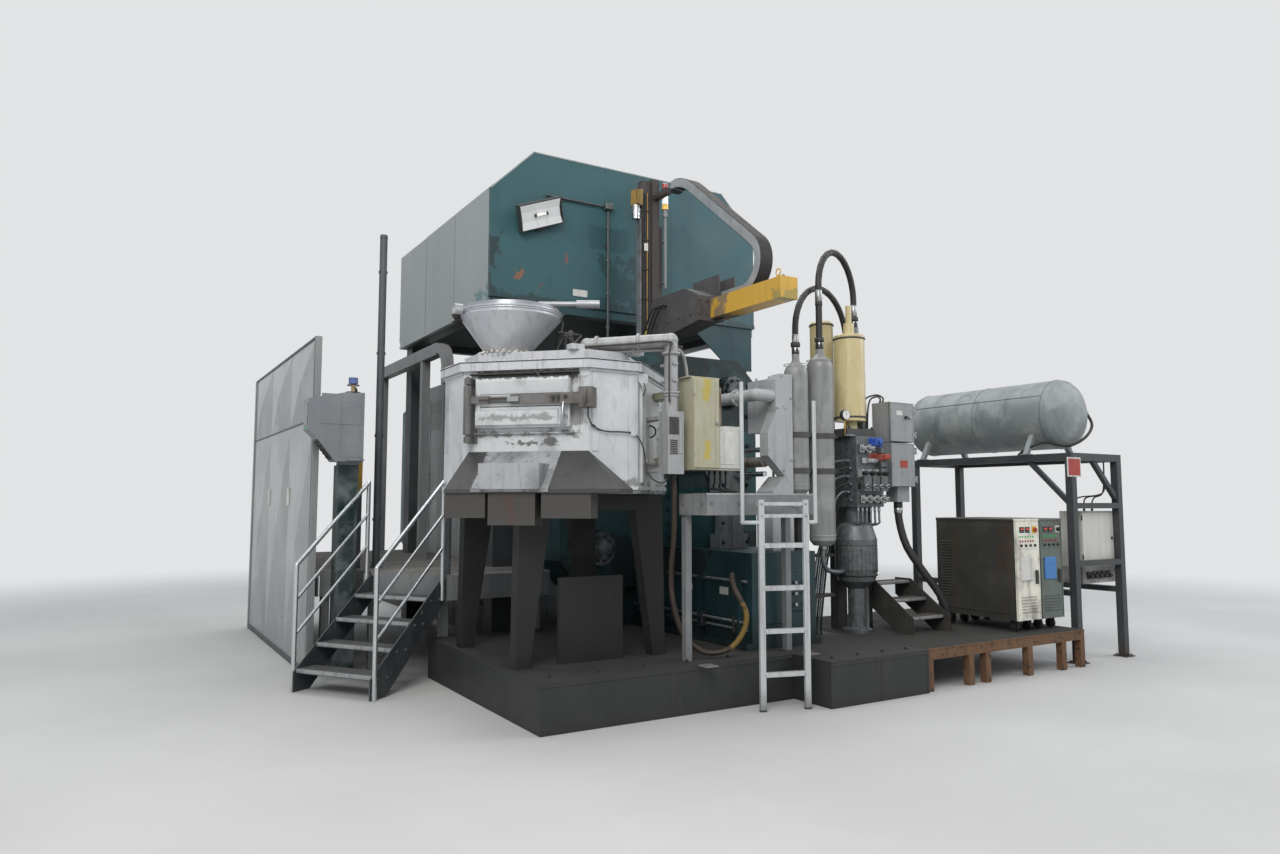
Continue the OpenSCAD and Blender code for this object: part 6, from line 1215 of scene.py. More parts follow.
def make_valve_block(context):
    """Solenoid valves, coils, plugs and pipe screwings on the valve block."""
    k = metal_kit()
    hyd = MADE["drawn_hydraulic_tube"]
    # Moulded resin coil: blue, satin, dirty in runs
    blue = coat("moulded_blue_resin", "#2f55a8", fade="#3f62a6", streak="#1f3560", rough=0.4, patch=40, bump=0.05)
    # Moulded resin coil: red, browned by heat
    red = coat("moulded_red_resin", "#a8402c", fade="#8a3a2c", streak="#5d2a22", rough=0.45, patch=40, bump=0.05)
    p = Piece()
    rows = ((1.73, 0.043, k.zinc, k.grey), (1.86, 0.035, k.black, k.zinc), (1.99, 0.043, k.grey, k.black),
        (2.24, 0.043, k.zinc, k.grey))
    for z, tall, body, coil in rows:
        for i, x in enumerate((1.17, 1.27, 1.37, 1.455)):
            if z > 2.2 and x > 1.3:
                continue
            p.box((x - 0.032, -2.515, z - tall), (x + 0.032, -2.469, z + tall), body, 0.004)
            p.rod((x, -2.515, z), (x, -2.575 - 0.01 * (i % 2), z), 0.022, coil, 20, 0.003)
            p.rod((x, -2.575, z), (x, -2.59 - 0.01 * (i % 2), z), 0.01, k.steel, 6)
            p.bolts(grid((x - 0.024, -2.5155, z - tall + 0.008), (0.048, 0, 0), 2, (0, 0, 2 * tall - 0.016), 2),
                k.steel, 0.004, 0.004, SOUTH)
    p.box((1.345, -2.53, 2.275), (1.445, -2.499, 2.345), blue, 0.005)
    p.rod((1.395, -2.56, 2.31), (1.395, -2.529, 2.31), 0.022, blue, 24, 0.003)
    p.box((1.4, -2.6, 2.137), (1.48, -2.569, 2.183), red, 0.005)
    p.rod((1.25, -2.5, 2.12), (1.38, -2.5, 2.12), 0.024, k.grey, 24, 0.003)
    p.box((1.18, -2.5, 2.09), (1.25, -2.469, 2.15), k.zinc, 0.004)
    for i, x in enumerate((1.16, 1.22, 1.28, 1.34, 1.4, 1.46)):
        top = Vector((x, -2.44, 1.652))
        p.rod(top, top + Vector((0, 0, -0.05)), 0.017, k.zinc, 6)
        foot = Vector((1.14 + 0.052 * i, -2.36 + 0.02 * (i % 3), 1.335))
        p.cable([top + Vector((0, 0, -0.04)), top + Vector((0, 0, -0.12)), (x, -2.43, 1.48),
                foot + Vector((0, 0, 0.1)), foot], 0.011, hyd, 12)
    for i, z in enumerate((1.72, 1.8, 1.88, 1.96, 2.04, 2.12)):
        a = Vector((1.119, -2.4 + 0.03 * (i % 2), z))
        p.rod(a, a + Vector((-0.03, 0, 0)), 0.015, k.zinc, 6)
        p.cable([a + Vector((-0.02, 0, 0)), a + Vector((-0.09, 0.01, 0)), (0.98 - 0.025 * i, -2.33, z - 0.1),
                (0.96 - 0.03 * i, -2.3, 1.4), (0.9 - 0.03 * i, -2.26, 1.1), (0.86 - 0.03 * i, -2.2, 0.5),
                (0.86 - 0.03 * i, -2.2, PLINTH_TOP)], 0.01, hyd if i % 2 else k.black, 10, 5)
    for z in (1.15, 0.75):
        p.box((0.69, -2.285, z), (0.98, -2.175, z + 0.03), k.steel)
    for z in (1.26, 0.96):
        p.ring((1.27, -2.29, z), (0, 0, 1), 0.205, 0.012, k.steel, 48)
    p.bolts(circle((1.27, -2.29, 1.3205), (0, 0, 1), 0.175, 10), k.steel, 0.012, 0.014)
    p.slats(circle((1.27, -2.29, 1.11), (0, 0, 1), 0.214, 30), k.steel, (0.004, 0.004, 0.24))
    p.make("solenoid_valves")


# Switch boxes

def make_switch_boxes(context):
    k = metal_kit()
    grey = MADE["powder_coated_sheet"]
    for name, body, lo, hi, plate in (("upper", "upper_box_door", 2.335, 2.745, None),
            ("lower", "lower_box_door", 1.865, 2.315, k.red)):
        label = plate or k.white
        p = Piece()
        p.border((1.628, -2.4785, lo), (1.967, -2.475, hi), 0.012, grey, 0.001)
        mid = (lo + hi) / 2
        if plate:
            p.box((1.75, -2.4785, mid - 0.03), (1.86, -2.4755, mid + 0.045), label, 0.001)
        else:
            p.box((1.71, -2.4785, mid + 0.07), (1.8, -2.4755, mid + 0.12), label, 0.001)
            p.rod((1.845, -2.498, mid + 0.05), (1.845, -2.475, mid + 0.05), 0.018, k.black, 24)
            p.rod((1.905, -2.498, mid + 0.05), (1.905, -2.475, mid + 0.05), 0.014, k.zinc, 24)
        p.make(name + "_door_trim", body)
    p = Piece()
    for lo, hi in ((1.86, 2.32), (2.33, 2.75)):
        p.box((1.6165, -2.4, lo + 0.05), (1.6205, -2.27, hi - 0.05), grey, 0.001)
        for x, way in ((1.6205, WEST), (1.9795, EAST)):
            spots = grid((x, -2.43, lo + 0.02), (0, 0.19, 0), 2, (0, 0, hi - lo - 0.04), 2)
            p.discs(spots, k.zinc, 0.005, 0.003, 10, way)
    for x in (1.66, 1.7, 1.79, 1.89, 1.93):
        p.rod((x, -2.3, 2.75), (x, -2.3, 2.775), 0.013, k.black, 6)
    left = [(1.66, -2.3, 2.77), (1.66, -2.3, 2.8), (1.63, -2.28, 2.82), (1.59, -2.22, 2.78), (1.575, -2.197, 2.6)]
    right = [(1.7, -2.3, 2.77), (1.7, -2.3, 2.81), (1.64, -2.26, 2.84), (1.56, -2.18, 2.79), (1.555, -2.197, 2.6)]
    for bow, x in ((left, 1.575), (right, 1.553)):
        p.cable([*bow, *((x, -2.197, z) for z in (2.2, 1.2, PLINTH_TOP))], 0.009, k.black, 10)
    for z in (2.3, 1.8, 1.3, 0.8):
        p.box((1.54, -2.21, z), (1.59, -2.188, z + 0.018), k.steel, 0.002)
    p.rod((1.84, -2.35, 1.64), (1.84, -2.35, 1.7), 0.052, k.steel, 6, 0.003)
    p.rod((1.84, -2.35, 1.58), (1.84, -2.35, 1.64), 0.046, k.zinc, 24, 0.003)
    p.discs(grid((1.77, -2.4205, 1.72), (0.15, 0, 0), 2, (0, 0, 0.12), 2), k.zinc, 0.005, 0.003, 10, SOUTH)
    p.make("switch_box_trim")


# Furnace cabinets

def make_cabinets(context):
    k = metal_kit()
    # Aged door seal that shows as a darker beige line
    seam = coat("rubber_door_seal", "#8f8a6c", fade="#a39d7e", streak="#6f6a50", rough=0.5, patch=120)
    beige = MADE["beige_stove_enamel"]
    p = Piece()
    for x0, x1, y, z0, z1 in ((-1.195, -0.935, -2.921, 1.985, 2.735), (-0.925, -0.655, -2.881, 1.985, 2.335)):
        p.box((x0, y - 0.012, z0), (x1, y + 0.001, z1), beige, 0.005)
        p.box((x1 - 0.045, y - 0.0135, z0 + 0.015), (x1 - 0.042, y - 0.011, z1 - 0.015), seam, 0.001)
        for z in (z0 + 0.1, z1 - 0.14):
            p.rod((x0 - 0.002, y - 0.012, z), (x0 - 0.002, y - 0.012, z + 0.05), 0.007, beige, 12, 0.001)
    p.rod((-0.963, -2.955, 2.36), (-0.963, -2.933, 2.36), 0.012, k.zinc, 16, 0.001)
    p.box((-1.225, -2.9, 2.748), (-0.905, -2.6, 2.757), beige)
    p.box((-0.905, -2.897, 2.02), (-0.75, -2.892, 2.3), k.white, 0.002)
    for i, x in enumerate((-0.88, -0.82, -0.76, -0.7)):
        p.rod((x, -2.7, 1.97), (x, -2.7, 1.94), 0.014, k.black, 6)
        p.cable([(x, -2.7, 1.95), (x, -2.7, 1.87), (x + 0.01, -2.685, 1.82),
                (-0.63 + 0.02 * i, -2.69, 1.79 + 0.001 * i)], 0.008, k.black, 8, 5)
    p.make("cabinet_doors")


# Temperature units on the side deck

def make_units(context):
    s = context.scene.casting_sizes
    k = metal_kit()
    dark = MADE["oily_unit_enamel"]
    # Tinted acrylic: almost black, mirror smooth
    glass = coat("acrylic_display_pane", "#15181a", fade="#22272a", rough=0.12, patch=50, bump=0.01)
    # Lit green lens
    green = glow("green_lens_plastic", "#2f9a4e", 0.35)
    # Lit red segments
    digit = glow("red_lit_segments", "#d8452c", 0.8)
    # Moulded yellow plate of the main switch
    amber = coat("yellow_switch_plastic", "#d8b02c", fade="#c79f28", rough=0.4, patch=40, bump=0.03)
    # Thermoformed blue document pocket, slightly faded
    blue = coat("blue_pocket_plastic", "#3a76b4", fade="#5a8cbc", rough=0.45, patch=60, bump=0.05)
    p = Piece()
    for x0 in (2.57, 2.96):
        x1 = x0 + 0.37
        p.box((x0 - 0.006, -3.238, 1.505), (x1 + 0.006, -2.225, 1.528), dark, 0.004)
        p.box((x0 - 0.004, -3.236, 0.498), (x1 + 0.004, -3.208, 0.512), dark)
        for x in (x0 + 0.002, x1 - 0.014):
            p.box((x, -3.236, 0.52), (x + 0.012, -3.229, 1.5), dark, 0.002)
        p.box((x0 + 0.03, -3.236, 1.22), (x1 - 0.03, -3.229, 1.47), dark)
        for col, z in ((0.05, 1.385), (0.14, 1.385)):
            p.box((x0 + col, -3.241, z), (x0 + col + 0.075, -3.235, z + 0.06), k.black, 0.002)
            p.box((x0 + col + 0.007, -3.2425, z + 0.024), (x0 + col + 0.068, -3.24, z + 0.053), glass, 0.001)
            p.slats(grid((x0 + col + 0.018, -3.2425, z + 0.038), (0.0125, 0, 0), 4), digit, (0.007, 0.001, 0.016))
            p.discs(grid((x0 + col + 0.015, -3.2405, z + 0.012), (0.015, 0, 0), 4), k.zinc, 0.004, 0.002, 10, SOUTH)
        p.discs(grid((x0 + 0.055, -3.2355, 1.345), (0.042, 0, 0), 6), green, 0.009, 0.006, 16, SOUTH)
        p.discs(grid((x0 + 0.055, -3.2355, 1.3), (0.042, 0, 0), 6), k.red, 0.01, 0.008, 4, SOUTH)
        p.discs(grid((x0 + 0.07, -3.2355, 1.255), (0.075, 0, 0), 4), k.black, 0.014, 0.012, 20, SOUTH)
        p.box((x0 + 0.255, -3.24, 1.378), (x0 + 0.325, -3.235, 1.452), amber if x0 < 2.7 else k.white, 0.002)
        p.rod((x0 + 0.29, -3.262, 1.415), (x0 + 0.29, -3.239, 1.415), 0.022, k.red if x0 < 2.7 else k.black, 24,
            0.003)
        p.box((x0 + 0.284, -3.27, 1.395), (x0 + 0.296, -3.261, 1.435), k.red if x0 < 2.7 else k.black, 0.002)
        p.box((x0 + 0.06, -3.245, 0.9), (x0 + 0.25, -3.229, 1.13), k.white if x0 < 2.7 else blue, 0.006)
        p.box((x0 + 0.07, -3.246, 0.91), (x0 + 0.24, -3.243, 1.02), k.white if x0 < 2.7 else blue, 0.002)
        p.slats(grid((x0 + 0.185, -3.232, 0.58), (0, 0, s.slat), 6), dark, (0.26, 0.01, 0.012),
            (math.radians(35), 0, 0))
        p.box((x0 + 0.295, -3.25, 0.86), (x0 + 0.33, -3.229, 1.0), k.steel, 0.004)
        p.discs(grid((x0 + 0.017, -3.2365, 0.56), (0.336, 0, 0), 2, (0, 0, 0.28), 4), k.zinc, 0.005, 0.002, 10, SOUTH)
        for x, z in ((x0 + 0.09, 0.62), (x0 + 0.19, 0.62), (x0 + 0.28, 0.62)):
            p.rod((x, -2.232, z), (x, -2.19, z), 0.024, k.zinc, 6, 0.003)
            p.rod((x, -2.19, z), (x, -2.15, z), 0.017, k.brass, 16)
    for x, sign in ((2.57, -1), (3.33, 1)):
        p.box((x, -3.17, 0.56), (x + 0.005 * sign, -2.27, 1.46), dark, 0.002)
        p.slats(grid((x + 0.007 * sign, -2.36, 0.7), (0, 0, s.slat), 20), dark, (0.01, 0.12, 0.012),
            (0, math.radians(35 * sign), 0))
    p.make("unit_panels")


# Vessel, its frame and the cabinet below

def make_vessel(context):
    k = metal_kit()
    frame_coat, pale = MADE["painted_box_section"], MADE["ivory_stove_enamel"]
    # Weld bead ground by hand: grey metal, fine ripples
    bead = coat("ground_weld_bead", "#6d7478", fade="#8a8f90", streak="#555b5e", rough=0.4, metal=0.3, patch=20,
        grain=3, bump=0.5)
    x, z, r = 3.955, 2.7, 0.395
    p = Piece()
    for y in (-2.87, -1.97, -1.06):
        p.ring((x, y, z), (0, 1, 0), r + 0.0005, 0.005, bead, 96, 6)
    seam = arc((x, 0, z), (1, 0, 0), (0, 0, 1), r + 0.001, 150, 150.01, 1)[0]
    p.rod((seam.x, -2.86, seam.z), (seam.x, -1.07, seam.z), 0.005, bead, 8)
    p.rod((4.31, -2.92, 2.72), (4.335, -2.975, 2.72), 0.026, k.zinc, 6)
    drop = [(4.33, -2.96, 2.72), (4.24, -3.07, 2.57), (4.04, -3.1, 2.42), (3.82, -3.03, 2.325), (3.66, -2.86, 2.37),
        (3.56, -2.7, 2.3), (3.55, -2.6, 2.232)]
    p.cable(drop, 0.016, k.black, 12)
    p.make("vessel_welds")

    p = Piece()
    for px in (3.53, 4.38):
        for py in (-3.24, -1.11):
            p.bolts(grid((px - 0.052, py - 0.052, 0.0095), (0.104, 0, 0), 2, (0, 0.104, 0), 2), k.steel, 0.01, 0.012)
            for dx, dy in ((0.036, 0), (-0.036, 0), (0, 0.036), (0, -0.036)):
                q = Vector((px + dx, py + dy, 0.011))
                side = Vector((dy, dx, 0)).normalized() * 0.003
                outw = Vector((dx, dy, 0)).normalized() * 0.028
                p.sheet([q - side, q + outw - side, q + Vector((0, 0, 0.05)) - side], side * 2, frame_coat)
    p.box((3.41, -3.284, 1.97), (3.65, -3.2755, 2.18), k.white, 0.002)
    p.box((3.425, -3.2855, 1.985), (3.635, -3.2835, 2.165), k.red, 0.002)
    p.make("vessel_frame_bolts")

    p = Piece()
    p.box((3.752, -3.212, 1.012), (4.328, -3.199, 1.588), pale, 0.004)
    p.rod((4.29, -3.225, 1.3), (4.29, -3.21, 1.3), 0.017, k.black, 24)
    p.box((4.283, -3.232, 1.285), (4.297, -3.224, 1.315), k.zinc, 0.002)
    for z in (1.08, 1.5):
        p.rod((3.748, -3.206, z), (3.748, -3.206, z + 0.05), 0.008, k.steel, 12, 0.001)
    for x in (3.8, 3.89, 3.98, 4.07, 4.16):
        p.box((x, -3.225, 0.865), (x + 0.06, -3.206, 0.945), k.black, 0.004)
        p.rod((x + 0.03, -3.225, 0.9), (x + 0.03, -3.262, 0.89), 0.019, k.black, 20, 0.003)
    for x in (3.9, 4.05, 4.2):
        p.rod((x, -3.05, 1.6), (x, -3.05, 1.625), 0.014, k.black, 6)
        p.cable([(x, -3.05, 1.62), (x, -3.05, 1.68), (x + 0.04, -3.06, 1.75), (4.335, -3.1, 1.8), (4.345, -3.12, 2.0),
                (4.345, -3.12, 2.22)], 0.008, k.black)
    p.make("frame_cabinet_door")


# Steps, ladder and platforms

def make_access(context):
    s = context.scene.casting_sizes
    k = metal_kit()
    tread = MADE["walked_platform_paint"]
    # Steel edges worn bare by feet: light metal with dark nicks
    bright = coat("walked_bare_steel", "#a9abac", fade="#85878a", streak="#5a5c5e", rough=0.4, metal=0.6, patch=70,
        chips="#4d4f51", chip_mm=30)
    pitch = s.grip
    p = Piece()
    n, m = int(1.12 / pitch), int(0.34 / pitch)
    a = grid((-1.18 + pitch / 2, -3.09, 1.771), (pitch, 0, 0), n, (0, pitch, 0), m)
    p.lozenges(a, tread, 45)
    p.lozenges([q + Vector((pitch / 2, pitch / 2, 0)) for q in a], tread, -45)
    p.bolts(grid((-1.16, -3.1205, 1.69), (0.28, 0, 0), 5), tread, 0.01, 0.01, SOUTH)
    p.bolts(grid((-1.2105, -3.06, 1.69), (0, 0.28, 0), 2), tread, 0.01, 0.01, WEST)
    p.box((-1.208, -3.123, 1.755), (-0.022, -3.115, 1.772), bright, 0.002)
    for x in (-1.16, -0.07):
        p.box((x - 0.06, -3.12, 0.381), (x + 0.06, -3.0, 0.392), tread)
    p.make("service_tread")

    lad = Matrix.Translation((-0.742, -3.206, 0)) @ Matrix.Rotation(math.radians(-16), 4, "Z")
    white = MADE["brushed_ladder_paint"]
    p = Piece()
    for x in (0.025, 0.425):
        p.bolts(grid((x, -0.0005, 1.585), (0, 0, 0.1), 2), white, 0.009, 0.008, SOUTH, turn=lad)
        p.box((x - 0.027, -0.004, 0.0), (x + 0.027, 0.034, 0.012), k.steel, 0.002, lad)
        for i in range(4):
            z = 0.27 + 0.35 * i
            p.ring((x + (0.023 if x < 0.2 else -0.023), 0.015, z + 0.02), (1, 0, 0), 0.02, 0.004, white, 20, 6, lad)
    for i in range(4):
        z = 0.27 + 0.35 * i
        p.box((0.055, 0.0045, z + 0.0395), (0.395, 0.0255, z + 0.0425), bright, 0.001, lad)
    for x in (-0.14, 0.52):
        p.ring((x, 0.015, 1.535), (0, 0, 1), 0.017, 0.005, white, 24, 6, lad)
    p.make("ladder_rungs")

    stair = Matrix.Translation((-3.58, -0.78, 0)) @ Matrix.Rotation(math.radians(34), 4, "Z")
    plate = MADE["walked_stair_steel"]
    p = Piece()
    for i in range(4):
        x, z = 0.24 * i, 0.2 * (i + 1)
        p.box((x - 0.004, -0.432, z - 0.03), (x + 0.03, 0.432, z + 0.0025), bright, 0.003, stair)
        p.slats(grid((x + 0.06, 0, z + 0.001), (0.03, 0, 0), 6), plate, (0.006, 0.82, 0.004), turn=stair)
        for side in (-0.447, 0.447):
            p.bolts(grid((x + 0.06, side, z - 0.03), (0.12, 0, 0), 2), plate, 0.009, 0.008, facing((0, side, 0)),
                turn=stair)
    p.make("stair_nosing")

    p = Piece()
    a = [q for q in grid((-3.44, -0.5, 1.001), (pitch, 0, 0), 34, (0, pitch, 0), 76) if q.y > 0.45 or q.x > -2.3]
    a = [q for q in a if not (q.x > -1.8 and (0.03 < q.y < 0.38 or 3.1 < q.y < 3.46))]
    posts = [q for q in a if -2.0 < q.x < -1.86 and (1.86 < q.y < 2.02 or 3.77 < q.y < 3.93)]
    near = [q for q in a if (q - Vector((-2.85, 0.65, 1.0))).length > 0.11 and q not in posts]
    p.lozenges(near, tread, 45, 0.0045)
    p.lozenges([q + Vector((pitch / 2, pitch / 2, 0)) for q in near if q.y < 4.0 and q.x < -1.45], tread, -45, 0.0045)
    p.box((-2.45, -0.616, 0.985), (-1.4, -0.608, 1.001), bright, 0.002)
    for y in (1.1, 2.25, 3.4):
        p.box((-3.46, y - 0.004, 0.999), (-1.86, y + 0.004, 1.0015), k.steel, 0.001)
    p.make("walkway_tread")

    step = MADE["oily_step_plate"]
    p = Piece()
    for y, z in ((-2.7, 0.54), (-2.48, 0.7), (-2.26, 0.86)):
        p.box((1.602, y - 0.003, z - 0.026), (2.078, y + 0.022, z + 0.0025), bright)
        p.lozenges(grid((1.63, y + 0.06, z + 0.001), (0.05, 0, 0), 9, (0, 0.05, 0), 3), step, 45)
    p.make("inner_step_nosing")

    rust = MADE["rusted_rolled_steel"]
    p = Piece()
    p.box((1.001, -3.4045, 0.366), (3.402, -3.3985, 0.381), rust, 0.002)
    p.box((3.3985, -3.4, 0.366), (3.4045, -1.2, 0.381), rust, 0.002)
    for x in (1.8, 2.6):
        p.box((x - 0.004, -3.39, PLINTH_TOP), (x + 0.004, -1.21, 0.3815), k.steel, 0.001)
    p.make("deck_edge")
    paint = MADE["oiled_floor_paint"]
    # Sealant in the joints: black, matt
    seal = coat("joint_sealant", "#2a2a29", fade="#3b3a38", rough=0.7, patch=80)
    p = Piece()
    p.box((-0.18, -3.434, 0.34), (1.0, -3.428, 0.362), paint)
    p.box((-2.6, -2.974, 0.34), (-0.19, -2.968, 0.362), paint)
    p.box((-2.604, -2.96, 0.34), (-2.598, -0.41, 0.362), paint)
    p.bolts(grid((-2.45, -2.8, 0.3805), (0.42, 0, 0), 5), paint, 0.014, 0.014)
    p.bolts(grid((-0.05, -3.3, 0.3805), (0.3, 0, 0), 4), paint, 0.014, 0.014)
    for x in (0.4, 0.98):
        p.box((x - 0.003, -3.4325, 0.01), (x + 0.003, -3.4285, 0.34), seal, 0.001)
    for x in (-1.4, -0.6):
        p.box((x - 0.003, -2.9725, 0.01), (x + 0.003, -2.9685, 0.34), seal, 0.001)
    p.make("plinth_edges")


# Die sprayer

def make_sprayer(context):
    k = metal_kit()
    # PVC sheath browned by oil and heat
    gold = coat("oiled_cable_sheath", "#a8823c", fade="#8a6c36", streak="#5c4a2a", rough=0.5, patch=60, bump=0.1)
    # Plastic cable tag, off-white
    tag = coat("white_cable_tag", "#d9d9d2", fade="#c2c2ba", rough=0.5, patch=30, bump=0.03)
    # Plastic cable tag, yellow green
    lime = coat("yellow_cable_tag", "#b4a83a", fade="#9a9434", rough=0.5, patch=30, bump=0.03)
    yellow = MADE["yellow_beam_enamel"]
    p = Piece()
    p.box((-0.058, -2.718, 3.606), (0.155, -2.709, 3.819), yellow, 0.004)
    p.ring((0.048, -2.64, 3.832), (0, 1, 0), 0.018, 0.005, k.steel, 24)
    p.make("beam_plates")

    brown = MADE["burnt_carriage_paint"]
    p = Piece()
    p.bolts(grid((-0.2, -1.6005, 3.65), (0.1, 0, 0), 3, (0, 0, 0.14), 2), brown, 0.012, 0.012, SOUTH)
    p.bolts(grid((-0.2005, -1.45, 3.66), (0, 0.22, 0), 5), brown, 0.012, 0.01, WEST)
    for i, y in enumerate((-0.98, -0.9, -0.82)):
        p.rod((-0.199, y, 3.84), (-0.235, y, 3.84), 0.016, k.steel, 6)
        p.cable([(-0.23, y, 3.84), (-0.262, y, 3.84), (-0.275, y + 0.03, 3.8), (-0.275, y + 0.16, 3.62),
                (-0.262, y + 0.24, 3.5), (-0.24, y + 0.27, 3.46)], 0.01, k.black, 10)
    p.cable([(0.165, -1.6, 3.82), (0.165, -1.66, 3.815), (0.13, -1.72, 3.74), (0.06, -1.7, 3.62), (0.0, -1.61, 3.6)],
        0.013, k.black, 10)
    p.make("carriage_fittings")

    # Woven glass fibre sleeve: yellowed, fuzzy, no shine
    rope = coat("woven_glass_fibre", "#a88a48", fade="#c4a868", streak="#6b5630", rough=0.9, patch=20, grain=2,
        bump=0.8)
    p = Piece()
    for i, x in enumerate((-0.115, -0.098, -0.081, -0.064, -0.047)):
        sway = [(x + 0.003 * math.sin(3 * i + z), -0.367 - 0.004 * (i % 2), 3.52 + z * 0.3) for z in range(7)]
        p.cable(sway, 0.007, gold if i == 3 else k.black, 8, 4)
    p.slats(grid((-0.081, -0.37, 3.7), (0, 0, 0.35), 5), k.black, (0.094, 0.022, 0.014))
    for z, skin in ((4.62, tag), (3.58, lime)):
        p.box((-0.112, -0.384, z), (-0.06, -0.38, z + 0.09), skin, 0.001)
    for z in (5.03, 5.14):
        p.ring((-0.181, -0.31, z), (0, 0, 1), 0.05, 0.004, k.zinc, 32, 6)
    p.slats(grid((-0.205, -0.372, 5.26), (0.011, 0, 0), 8), rope, (0.005, 0.006, 0.17), (0, 0.05, 0))
    p.slats(grid((-0.217, -0.36, 5.26), (0, 0.012, 0), 9), rope, (0.006, 0.005, 0.16), (0.06, 0, 0))
    p.make("mast_cables")

    y, z = Vector((0, 1, 0)), Vector((0, 0, 1))
    line = [Vector((0, -1.19, 3.8628)), Vector((0, -1.555, 3.8628))]
    line += arc((0, -1.92, 4.1378), y, z, 0.275, 270, 129, 28)
    line += [Vector((0, -1.55, 4.792))]
    line += arc((0, -0.6275, 4.7662), y, z, 0.6, 129, 96, 10)
    # Polyamide rubbed pale and shiny at the chain's sides
    band = coat("rubbed_polyamide", "#a4a7a9", fade="#b9bbbc", streak="#7d8082", rough=0.38, metal=0.5, patch=120,
        bump=0.05)
    p = Piece()
    for low, high, x0, x1, skin in ((0.049, 0.052, 0.099, 0.251, k.black), (-0.052, -0.049, 0.099, 0.251, k.black),
            (-0.046, 0.046, 0.0965, 0.0985, band), (-0.046, 0.046, 0.2515, 0.2535, band)):
        points, m = [], len(line)
        corners = (x0, low), (x1, low), (x1, high), (x0, high)
        for i, q in enumerate(line):
            d = (line[min(i + 1, m - 1)] - line[max(i - 1, 0)]).normalized()
            points += [q + Vector((x, d.z * off, -d.y * off)) for x, off in corners]
        faces = [[4 * i + k, 4 * i + (k + 1) % 4, 4 * i + 4 + (k + 1) % 4, 4 * i + 4 + k]
                 for i in range(m - 1) for k in range(4)]
        p.put(points, faces + [[3, 2, 1, 0], [4 * m - 4, 4 * m - 3, 4 * m - 2, 4 * m - 1]], skin)
    p.make("chain_covers")

    lens = MADE["moulded_lens_plastic"]
    p = Piece()
    at = Vector((0.1646, -0.405, 0))
    for z in (5.146, 5.208, 5.27, 5.332, 5.394):
        p.ring(at + Vector((0, 0, z)), (0, 0, 1), 0.0365, 0.0022, k.zinc, 40, 6)
        for dz in (0.018, 0.031, 0.044):
            p.ring(at + Vector((0, 0, z + dz)), (0, 0, 1), 0.0358, 0.0015, lens, 40, 6)
    p.tube([at + Vector((0, 0, 5.4545)), at + Vector((0, 0, 5.466)), at + Vector((0, 0, 5.472))],
        [0.036, 0.033, 0.012], k.zinc, 32)
    p.make("signal_ribs")


# Guarding and console

